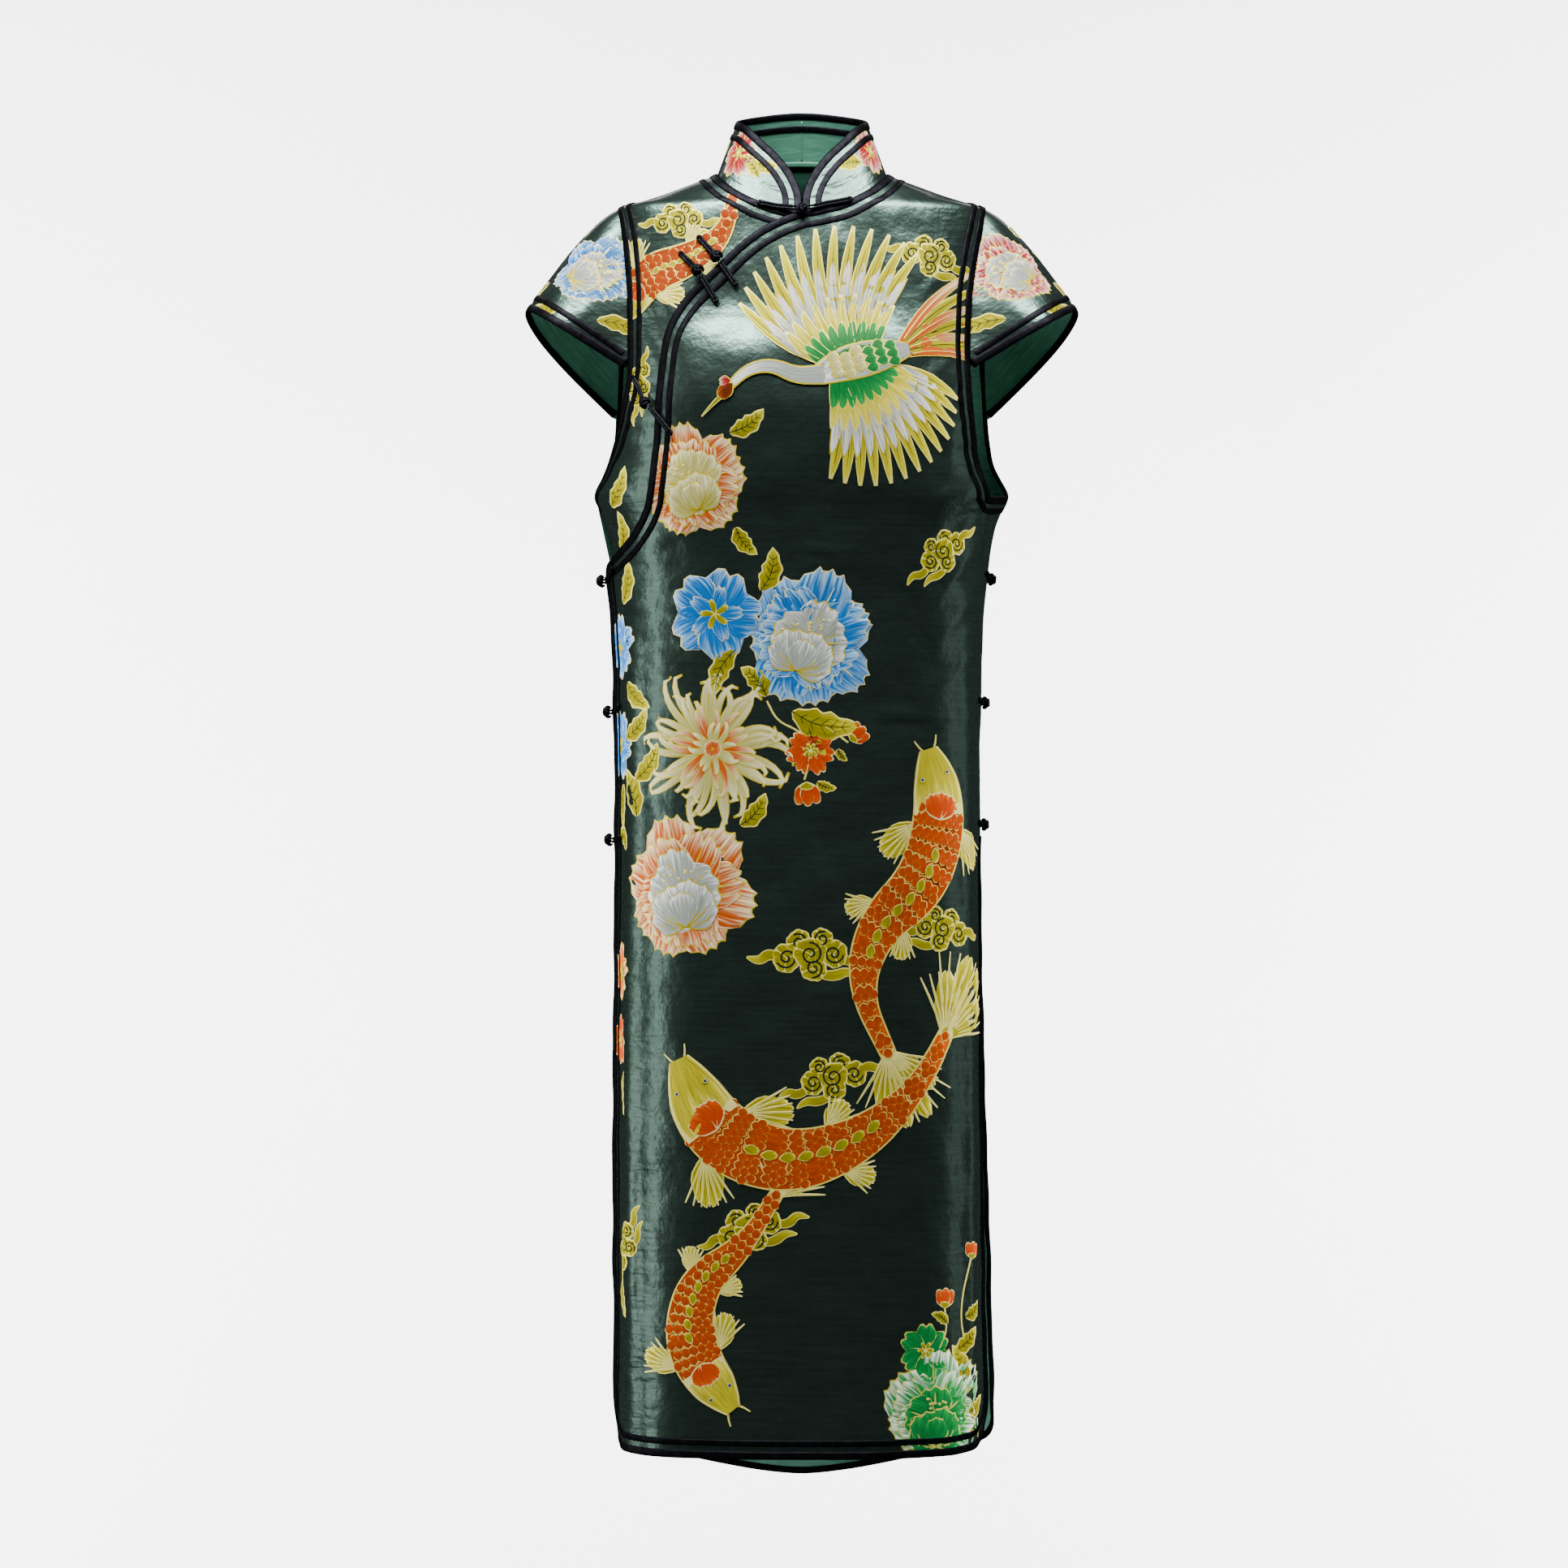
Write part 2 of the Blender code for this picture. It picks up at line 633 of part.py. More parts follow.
def under_flap():
    edge = -1 + TINY_TURN
    tail_level = levels_in(neck_front(), FLAP_TAIL)
    neck = [(FLAP_TAIL, tail_level), *[(-t, z) for t, z in neck_front()[:0:-1]], (edge, 0.0)]
    lapel = lapel_line()[FLAP_START:]
    hidden = inset(body, [(0.0, -50.0), *lapel, (-1.0, LAPEL_END)], UNDERLAP)
    hidden = [p for p in hidden if p[0] > edge][1:]
    armhole = [(edge, SHOULDER_DROP), *[(-t, z) for t, z in armhole_line("right_front")], (edge, UNDERARM)]
    below_arm = [(edge, UNDERARM - d) for d in TRIM_STEPS[::-1]]
    outline = neck + shoulder_step(edge, False)[::-1] + shoulder_step(edge, True) + armhole + below_arm
    outline += [(edge, -365.0), (edge, FLAP_END), *hidden[::-1], (FLAP_TAIL, -66.0)]

    def neck_ends(distance):
        return (FLAP_TAIL, tail_level - distance), (edge, ridge_step(0.0, -distance))

    def armhole_ends(distance):
        return (edge, ridge_step(SHOULDER_DROP, distance)), (edge, UNDERARM - distance)

    return Panel(body, outline, {"neck": (neck, neck_ends), "armhole": (armhole, armhole_ends)})


def back_panel():
    left, right = 1 + TINY_TURN, 3 - TINY_TURN
    half = neck_back()
    neck = [(right, 0.0), *[(4 - t, z) for t, z in half], *half[-2::-1], (left, 0.0)]
    hole = armhole_line("back")
    arm_right = [(right, UNDERARM), *[(4 - t, z) for t, z in hole[::-1]], (right, SHOULDER_DROP)]
    seam_end = (left_seam(UNDERARM) + TINY_TURN, UNDERARM)
    arm_left = [(left, SHOULDER_DROP), *hole, (1.0, -313.0), (0.93, -319.0), seam_end]
    rise = BACK_CORNER / QUARTER
    corner_level = BACK_HEM + BACK_HEM_RISE + BACK_CORNER
    low_left = corner((1.0 + rise, corner_level), BACK_CORNER, BACK_CORNER, 180, 262, 4)
    low_right = corner((3.0 - rise, corner_level), BACK_CORNER, BACK_CORNER, 278, 360, 4)
    hem = [(2 + t, BACK_HEM + BACK_HEM_RISE * abs(t / 0.75) ** 2.2) for t in BACK_HEM_TURNS]
    slit_top = (left_seam(SLIT_TOP) + TINY_TURN, SLIT_TOP)
    bound = refined([slit_top, (0.985, -740.0), (1.0, -900.0), low_left[0]], EDGE_STEP) + low_left[1:]
    bound += refined([low_left[-1], *hem, low_right[0]], HEM_STEP)[1:] + low_right[1:]
    bound += refined([low_right[-1], (right, SLIT_TOP_RIGHT)], EDGE_STEP)[1:]
    lap = right + SIDE_LAP / QUARTER
    lap_edge = [(lap, SLIT_TOP_RIGHT + 6), *[(lap, z) for z in (-600.0, -540.0, -480.0, FLAP_END - 6)]]
    outline = bound + lap_edge + [(right, FLAP_END - 1), (right, -365.0)]
    outline += [(right, UNDERARM - d) for d in TRIM_STEPS] + arm_right
    outline += shoulder_step(right, True)[::-1] + shoulder_step(right, False) + neck
    outline += shoulder_step(left, False)[::-1] + shoulder_step(left, True) + arm_left
    outline += [(left_seam(UNDERARM - d) + TINY_TURN, UNDERARM - d) for d in TRIM_STEPS[::-1]]
    outline += [(left_seam(z) + TINY_TURN, z) for z in SEAM_LEVELS[::-1]]

    def edge_ends(distance):
        return None, None

    def neck_ends(distance):
        return (right, ridge_step(0.0, -distance)), (left, ridge_step(0.0, -distance))

    def right_ends(distance):
        return (right, UNDERARM - distance), (right, ridge_step(SHOULDER_DROP, distance))

    def left_ends(distance):
        low = UNDERARM - distance
        return (left, ridge_step(SHOULDER_DROP, distance)), (left_seam(low) + TINY_TURN, low)

    bound_edges = {
        "edge": (bound, edge_ends),
        "neck": (neck, neck_ends),
        "arm_right": (arm_right, right_ends),
        "arm_left": (arm_left, left_ends),
    }
    return Panel(body, outline, bound_edges, shift=2.0)


def along(points, share):
    """Points at these shares of a polyline's length."""
    run = lengths(points)
    return np.stack([np.interp(np.asarray(share) * run[-1], run, points[:, k]) for k in range(3)], axis=-1)


def neckline():
    """The neck seam all round, from the centre front over the left shoulder and back to the front."""
    half = np.array(neck_front()[::-1] + neck_back())
    points = body(half[:, 0], half[:, 1])
    mirrored = points[::-1][1:] * np.array([-1.0, 1.0, 1.0])
    return np.concatenate((points, mirrored))


NECK_RUN = neckline()
NECK_LENGTH = float(lengths(NECK_RUN)[-1])


def collar_cloth(run, height):
    """The standing collar. Run is the length along the neck seam, height is up the collar."""
    run, height = np.broadcast_arrays(np.asarray(run, float), np.asarray(height, float))
    base = along(NECK_RUN, np.clip(run / NECK_LENGTH, 0, 1))
    bearing = np.arctan2(base[..., 0] / NECK_HALF, -base[..., 1] / 60.0)
    depth = np.where(np.cos(bearing) > 0, COLLAR_TOP_FRONT, COLLAR_TOP_BACK)
    top = np.stack(
        (COLLAR_TOP_HALF * np.sin(bearing), -depth * np.cos(bearing), base[..., 2] + COLLAR_RISE), axis=-1
    )
    inward = base * np.array([1.0, 1.0, 0.0])
    inward /= np.linalg.norm(inward, axis=-1, keepdims=True)
    rise = height / COLLAR_HEIGHT
    return base - inward * COLLAR_GAP + (top - base) * rise[..., None]


def collar_edge(run):
    """Height of the collar where the front ends are rounded down to the neck seam."""
    near = min(run, NECK_LENGTH - run)
    if near >= COLLAR_ROUND:
        return COLLAR_HEIGHT
    return COLLAR_HEIGHT * (1 - (1 - near / COLLAR_ROUND) ** COLLAR_ROUND_POWER) ** (1 / COLLAR_ROUND_POWER)


def collar():
    """The collar's front ends stand a little apart from the centre line and the neck seam."""
    front = [1.6, 3.0, 5.5, 9.5, 15, 23, 33, 45, 58]
    middle = [COLLAR_ROUND + (NECK_LENGTH - 2 * COLLAR_ROUND) * k / 20 for k in range(21)]
    far = [NECK_LENGTH - r for r in front[::-1]]
    runs = [COLLAR_START, *front, *middle, *far, NECK_LENGTH - COLLAR_START]
    edge = [(r, collar_edge(r)) for r in runs]
    edge = [(COLLAR_START, COLLAR_FOOT), *edge, (NECK_LENGTH - COLLAR_START, COLLAR_FOOT)][::-1]
    near = [COLLAR_START + d for d in TRIM_STEPS[::-1]] + [30, 42, 56]
    base = [(r, COLLAR_FOOT) for r in [*near, *middle, *[NECK_LENGTH - r for r in near[::-1]]]]

    def edge_ends(distance):
        inner = COLLAR_START + distance
        return (NECK_LENGTH - inner, COLLAR_FOOT), (inner, COLLAR_FOOT)

    places = [18 + 20.0 * k for k in range(11)]
    bound = {"edge": (edge, edge_ends)}
    return Panel(collar_cloth, edge + base, bound, NECK_LENGTH / 2, COLLAR_FILL, places, 1.0)


def armhole_seam(side):
    """The sleeve's seam on its armhole, as a function from -1 at its front end to 1 at its back end."""
    levels = np.array(ARMHOLE_LEVELS[::-1], float)
    ahead = armhole_reach("left_front" if side > 0 else "right_front")[::-1]
    behind = armhole_reach("back")[::-1]

    def place(t):
        drop = np.where(t < 0, SLEEVE_FRONT_END, SLEEVE_BACK_END) - SHOULDER_DROP
        level = SHOULDER_DROP + drop * np.abs(t) ** SLEEVE_SPREAD
        reach = np.where(t < 0, np.interp(level, levels, ahead), np.interp(level, levels, behind))
        half, forward, back, square = ring(level)
        depth = np.where(t < 0, -forward, back)
        share = np.clip(1 - np.minimum(reach / half, 1.0) ** square, 0, 1) ** (1 / square)
        share = np.where(np.abs(t) < 1e-6, 0.0, share)
        return np.stack((reach, depth * share, level), axis=-1)

    return place


def sleeve_hem(seam, t):
    """The free edge, from its front end over the tip to its back end, which sags lower."""
    end = seam(np.where(t < 0, -1.0, 1.0))
    bend = np.abs(t) * math.pi / 2
    x_end = end[..., 0] + SLEEVE_END_LENGTH
    x = x_end + (SLEEVE_TIP_REACH - x_end) * np.clip(np.cos(bend), 0.0, 1.0) ** SLEEVE_POINT
    down = (SLEEVE_TIP_REACH - x) / (SLEEVE_TIP_REACH - x_end)
    y = SLEEVE_TIP_BACK + (end[..., 1] - SLEEVE_TIP_BACK) * np.sin(bend)
    y += np.sign(t) * SLEEVE_BULGE * np.sin(2 * bend) ** 2
    z = SLEEVE_TIP_DROP + (end[..., 2] - SLEEVE_TIP_DROP) * down
    fall = np.where(t > 0, SLEEVE_SAG * np.clip(np.sin(2 * bend), 0, 1) ** 0.8, 0.0)
    return np.stack((x + fall, y, z - fall), axis=-1)


def sleeve_cloth(side):
    """The cap sleeve of one side, 1 left and -1 right, on a chart of its own.

    Round runs from -100 to 100 along the hem, and rise from 0 at the hem to 100 at the seam.
    """
    seam_place = armhole_seam(side)

    def surface(round_, rise):
        round_, rise = np.broadcast_arrays(np.asarray(round_, float), np.asarray(rise, float))
        t = np.clip(side * round_ / 100.0, -1.0, 1.0)
        seam, hem = seam_place(t), sleeve_hem(seam_place, t)
        run = seam - hem
        length = np.linalg.norm(run, axis=-1, keepdims=True)
        run = run / length
        middle = (seam + hem) / 2
        arm = np.array([0.0, SLEEVE_TIP_BACK, ARM_LEVEL]) + (middle - ARM_INSIDE) * np.array([1.0, 0.0, 0.0])
        lift = middle - arm
        lift -= (lift * run).sum(axis=-1, keepdims=True) * run
        lift /= np.linalg.norm(lift, axis=-1, keepdims=True)
        crest = np.clip(np.cos(t * math.pi / 2), 0.0, 1.0)[..., None] ** 2
        pull = middle + length * (lift * (CREST_ROUND + CREST_EXTRA * crest) + run * CREST_INWARD * crest)
        w = rise[..., None] / 100.0
        points = (1 - w) ** 2 * hem + 2 * w * (1 - w) * pull + w * w * seam
        points = points - run * w * SLEEVE_GAP - lift * w * SLEEVE_TUCK
        return points * np.array([side, 1.0, 1.0])

    return surface


def sleeve(side):
    """A cap sleeve as columns from its hem to its seam, with the trims' edges among the rows."""
    cloth = sleeve_cloth(side)
    rounds = np.concatenate((np.linspace(-100, -55, 6), np.linspace(-42, 42, 7), np.linspace(55, 100, 6)))
    rises = np.linspace(0, 100, 61)
    far, near, bind = lines = [], [], []
    for r in rounds:
        run = lengths(cloth(np.full(len(rises), r), rises))
        for line, distance in zip(lines, TRIM_STEPS):
            if run[-1] > distance + 2.0:
                line.append((r, float(np.interp(distance, run, rises))))
    edge = [(r, 0.0) for r in rounds]
    outline = edge + [(r, 100.0) for r in rounds[::-1]]
    fill = [(r, m) for r in rounds[4:-4] for m in (54.0, 78.0)]
    chart, triangles = triangulated(outline, [far, near, bind], fill, 1.0)
    centres = chart[triangles].mean(axis=1)
    bound = [p for p in edge if bind[0][0] <= p[0] <= bind[-1][0]]
    near = [p for p in near if far[0][0] <= p[0] <= far[-1][0]]
    binding = triangles[inside(centres, bound + bind[::-1])]
    piping = triangles[inside(centres, near + far[::-1])]
    return cloth, chart, triangles, binding, piping


def cloth_and_trims():
    satin = finish(SATIN, (0.020, 0.046, 0.034), 0.32)
    trim = finish(TRIM, (0.008, 0.008, 0.010), 0.45)
    front, flap, back, neck = front_panel(), under_flap(), back_panel(), collar()
    solid("front_panel", satin, front.chart, front.triangles, front_cloth, 0, -WALL)
    solid("under_flap", satin, flap.chart, flap.triangles, body, 0, -WALL)
    solid("back_panel", satin, back.chart, back.triangles, body, 0, -WALL)
    solid("collar", satin, neck.chart, neck.triangles, collar_cloth, 0, -WALL)
    high, low = TRIM_GAP + TRIM_THICK, TRIM_GAP
    layer("binding_front_edge", trim, [front.binding("edge")], high, low)
    layer("piping_front_edge", trim, [front.piping("edge")], high, low)
    layer("binding_back_edge", trim, [back.binding("edge")], high, low)
    layer("piping_back_edge", trim, [back.piping("edge")], high, low)
    layer("binding_back_neck", trim, [back.binding("neck")], high, low)
    layer("piping_back_neck", trim, [back.piping("neck")], high, low)
    layer("binding_flap_neck", trim, [flap.binding("neck")], high, low)
    layer("piping_flap_neck", trim, [flap.piping("neck")], high, low)
    arms = {"left": (front, "armhole", "arm_left"), "right": (flap, "armhole", "arm_right")}
    for side, (piece, ahead, behind) in arms.items():
        bindings = [piece.binding(ahead), back.binding(behind)]
        pipings = [piece.piping(ahead), back.piping(behind)]
        layer(f"binding_{side}_armhole", trim, bindings, high, low, seam_snap)
        layer(f"piping_{side}_armhole", trim, pipings, high, low, seam_snap)
    layer("binding_collar", trim, [neck.binding("edge")], high, low)
    layer("piping_collar", trim, [neck.piping("edge")], high, low)
    chart, triangles, cloth = neck.piping("edge")
    runs = chart[triangles].mean(axis=1)[:, 0]
    behind = triangles[np.abs(runs - NECK_LENGTH / 2) < NECK_LENGTH / 2 - COLLAR_ROUND]
    layer("piping_collar_inside", trim, [(chart, behind, cloth)], -WALL - low, -WALL - high)
    for side, sign in (("left", 1), ("right", -1)):
        cloth, chart, triangles, binding, piping = sleeve(sign)
        solid(f"sleeve_{side}", satin, chart, triangles, cloth, 0, -WALL)
        solid(f"binding_{side}_sleeve", trim, chart, binding, cloth, high, low)
        solid(f"piping_{side}_sleeve", trim, chart, piping, cloth, high, low)


def station(surface, turn, level, height):
    """A place for a cord's centre line, with the outward direction there."""
    out = normals(surface, turn, level)
    return surface(turn, level) + out * height, out


def cord(name, material, track, stations):
    """A closed cord along a track; each station is its distance, half width and half height."""
    points = np.array([p for p, _ in track])
    outs = np.array([o for _, o in track])
    run = lengths(points)

    def at(values, distance):
        return np.array([np.interp(distance, run, values[:, k]) for k in range(3)])

    verts, faces = [], []
    for distance, wide, high in stations:
        here, out = at(points, distance), at(outs, distance)
        forward = at(points, distance + 2) - at(points, distance - 2)
        forward /= np.linalg.norm(forward)
        side = np.cross(out, forward)
        side /= np.linalg.norm(side)
        up = np.cross(forward, side)
        for k in range(CORD_SIDES):
            angle = 2 * math.pi * (k + 0.5) / CORD_SIDES
            verts.append(here + side * wide * math.cos(angle) + up * high * math.sin(angle))
    last = len(stations) - 1
    for row in range(last):
        for k in range(CORD_SIDES):
            a, b = row * CORD_SIDES + k, row * CORD_SIDES + (k + 1) % CORD_SIDES
            faces.append((a, b, b + CORD_SIDES, a + CORD_SIDES))
    faces.append(tuple(range(CORD_SIDES))[::-1])
    faces.append(tuple(range(last * CORD_SIDES, (last + 1) * CORD_SIDES)))
    made(name, material, np.array(verts), faces)


def with_tail(stations, length):
    """The stations of a half, with one half way along its bar and the knob at its tail."""
    tail = [(length - d, w, h) for d, w, h in KNOB_STATIONS]
    middle = ((stations[-1][0] + tail[0][0]) / 2, CORD_WIDE, CORD_HIGH)
    return [*stations, middle, *tail]


def frog(name, material, knot_side, ball, loop_side):
    """A knot button: one half is the tail, bar and ball, the other is the loop, bar and tail."""
    out = ball[1]
    knot_track = [ball, *knot_side]
    back = (ball[0] - knot_side[0][0]) / np.linalg.norm(ball[0] - knot_side[0][0])
    knot_track.insert(0, (ball[0] + back * BALL, out))
    length = sum(np.linalg.norm(b[0] - a[0]) for a, b in zip(knot_track, knot_track[1:]))
    cord(f"{name}_knot", material, knot_track, with_tail(BALL_STATIONS, length))
    track = [ball, *loop_side]
    length = sum(np.linalg.norm(b[0] - a[0]) for a, b in zip(track, track[1:]))
    start = BALL + CORD_CLEAR
    nose = [(start, 3.6, 2.2), (start + 4, CORD_WIDE, CORD_HIGH)]
    cord(f"{name}_loop", material, track, with_tail(nose, length))


def spread_track(surface, ends, heights, steps=7):
    """Stations from beside the ball to the tail, evenly along a straight chart line."""
    (t0, z0), (t1, z1) = ends
    shares = np.linspace(0, 1, steps)
    rises = np.interp(shares, np.linspace(0, 1, len(heights)), heights)
    return [station(surface, t0 + (t1 - t0) * s, z0 + (z1 - z0) * s, h) for s, h in zip(shares, rises)]


def frogs(material):
    """The ten knot buttons: neck, two on the chest, underarm, three down each side."""
    on_cloth = CORD_CLEAR + KNOB_HIGH
    over_trim = TRIM_GAP + TRIM_THICK + on_cloth
    for name, tail, ball, head in FROGS_FRONT:
        (t_tail, t_ball, t_head) = (turn_at(x, z) for x, z in (tail, ball, head))
        middle = station(body, t_ball, ball[1], LAYER_LIFT + TRIM_GAP + TRIM_THICK + CORD_CLEAR + BALL)
        near_tail = (t_ball + (t_tail - t_ball) * BESIDE_BALL, ball[1] + (tail[1] - ball[1]) * BESIDE_BALL)
        near_head = (t_ball + (t_head - t_ball) * BESIDE_BALL, ball[1] + (head[1] - ball[1]) * BESIDE_BALL)
        heights = (over_trim + LAYER_LIFT, over_trim, over_trim)
        low = spread_track(body, (near_tail, (t_tail, tail[1])), heights)
        high = spread_track(front_cloth, (near_head, (t_head, head[1])), (over_trim, over_trim))
        frog(name, material, low, middle, high)
    reach, lead = FROG_HALF / QUARTER, FROG_LEAD / QUARTER
    for name, level, rise in FROGS_RIGHT:
        edge = station(front_cloth, -1.0, level, 0.0)
        middle = (edge[0] + np.array([-BALL - 2.0, 3.0, 0.0]), edge[1])
        head = ((-1.0 + 0.4 * lead, level), (-1.0 + reach, level + rise))
        tail = ((-1.0 - 1.6 * lead, level), (-1.0 - reach - lead, level - rise / 2))
        ahead = spread_track(front_cloth, head, (over_trim, over_trim))
        behind = spread_track(body, tail, (on_cloth, on_cloth))
        frog(name, material, ahead, middle, behind)
    for name, level, rise in FROGS_LEFT:
        middle = station(body, 1.0, level, BALL + CORD_CLEAR)
        ahead = spread_track(body, ((1.0 - lead, level), (1.0 - reach, level + rise)), (on_cloth, on_cloth))
        tail = (1.0 + reach, level - rise / 2)
        behind = spread_track(body, ((1.0 + lead, level), tail), (on_cloth, on_cloth))
        frog(name, material, ahead, middle, behind)


def clear_scene():
    for old in list(bpy.data.objects):
        bpy.data.objects.remove(old)


clear_scene()
cloth_and_trims()
frogs(finish(KNOTS, (0.007, 0.007, 0.009), 0.5))
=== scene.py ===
"""A long qipao in dark green satin brocade, in its worn shape with no wearer.

The wearer's left is +X, the front is -Y and up is +Z. Sizes in this file are in millimetres, and a piece's
mesh is turned to metres as it is made. Cloth is cut on a chart of the body's surface: turn goes round it,
0 at the centre front, 1 at the left side, 2 at the centre back and 3 or -1 at the right side, and level is
the height below the side neck points.
"""

import math

import bpy
import numpy as np
from mathutils.bvhtree import BVHTree
from mathutils.geometry import delaunay_2d_cdt
from mathutils.kdtree import KDTree
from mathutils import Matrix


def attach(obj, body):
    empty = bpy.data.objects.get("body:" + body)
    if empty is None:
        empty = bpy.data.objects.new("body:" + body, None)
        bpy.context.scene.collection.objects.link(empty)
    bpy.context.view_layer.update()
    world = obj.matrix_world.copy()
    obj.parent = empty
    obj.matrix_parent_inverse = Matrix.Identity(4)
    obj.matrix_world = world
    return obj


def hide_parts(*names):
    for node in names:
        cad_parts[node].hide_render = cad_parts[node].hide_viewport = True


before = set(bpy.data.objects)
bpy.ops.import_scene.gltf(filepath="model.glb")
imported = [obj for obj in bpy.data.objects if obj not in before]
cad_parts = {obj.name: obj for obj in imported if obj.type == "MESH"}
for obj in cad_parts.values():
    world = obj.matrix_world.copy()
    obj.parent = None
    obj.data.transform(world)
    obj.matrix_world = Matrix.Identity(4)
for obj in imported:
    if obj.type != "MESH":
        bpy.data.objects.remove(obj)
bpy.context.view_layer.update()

# The back: one cut of dyed satin brocade from the collar to the hem, lined in plain green silk. It hangs
# from the shoulders in long soft folds, and it is sewn to the front down the left side as far as the slit.
# On the right it has a narrow lap that goes under the front's edge.
MM = 0.001
WALL = 1.2
HALF_SEAM = 0.15
QUARTER = 285.0
TINY_TURN = HALF_SEAM / QUARTER
SHOULDER_DROP = -33.0
NECK_HALF = 84.0
NECK_FRONT = -44.0
NECK_BACK = 15.0
UNDERARM = -321.0
LAPEL_END = -384.0
SLIT_TOP = -652.0
SLIT_TOP_RIGHT = -672.0
FRONT_HEM = -1251.0
BACK_HEM = -1292.0
BACK_HEM_RISE = 34.0
BACK_HEM_SPAN = 0.62
BACK_HEM_POWER = 2.2
BACK_CORNER = 70.0
BACK_SLIT = ((0.985, -740.0), (1.0, -900.0))
ARMHOLE_FOOT = ((1.0, -313.0), (0.93, -319.0))
SHOULDER_MIDDLE = -16.0
FLAP_END = -425.0
SIDE_LAP = 13.0
LAP_EASE = 6.0
CLOTH_STEP = 4.6
EDGE_STEP = 3.0
# In an even net, rows of points lie this share of a step apart, and this share clear of the cut edge
NET_ROW = 0.87
NET_CLEAR = 0.6
SHARP_FOLD = 50.0

RING_COLUMNS = ("level", "half", "front", "back", "square")
RINGS = (
    (40, 52, 40, 46, 2.0),
    (15, 72, 53, 54, 2.0),
    (0, 84, 59, 61, 2.0),
    (-11, 113, 62, 68, 2.0),
    (-19, 134.5, 65, 74, 2.0),
    (-27, 158, 68, 80, 2.0),
    (-33, 180, 71, 84, 2.05),
    (-45, 184.5, 75, 90, 2.1),
    (-60, 188, 79, 95, 2.1),
    (-130, 190, 101, 111, 2.2),
    (-190, 190, 117, 117, 2.3),
    (-240, 190, 125, 115, 2.35),
    (-275, 191, 124, 112, 2.35),
    (-300, 197, 122, 110, 2.35),
    (-318, 203, 120, 108, 2.35),
    (-332, 197, 118, 107, 2.35),
    (-350, 190, 116, 105, 2.35),
    (-380, 185, 113, 102, 2.4),
    (-440, 179, 109, 98, 2.45),
    (-520, 176, 107, 99, 2.55),
    (-630, 175, 108, 104, 2.6),
    (-800, 176, 109, 108, 2.7),
    (-1050, 178, 108, 104, 2.7),
    (-1320, 181, 106, 102, 2.7),
)

FOLD_COLUMNS = ("turn", "start", "full", "width", "height")
FOLDS = (
    (-0.79, -400, -520, 0.07, 3.2),
    (0.78, -400, -560, 0.07, 2.6),
    (-0.45, -880, -1240, 0.22, -3.0),
    (0.35, -900, -1240, 0.26, 3.5),
    (1.06, -650, -1230, 0.15, 10.0),
    (1.55, -620, -1150, 0.20, 5.0),
    (2.00, -700, -1200, 0.22, -5.0),
    (2.45, -620, -1150, 0.20, 5.0),
    (3.00, -900, -1250, 0.20, -4.0),
)

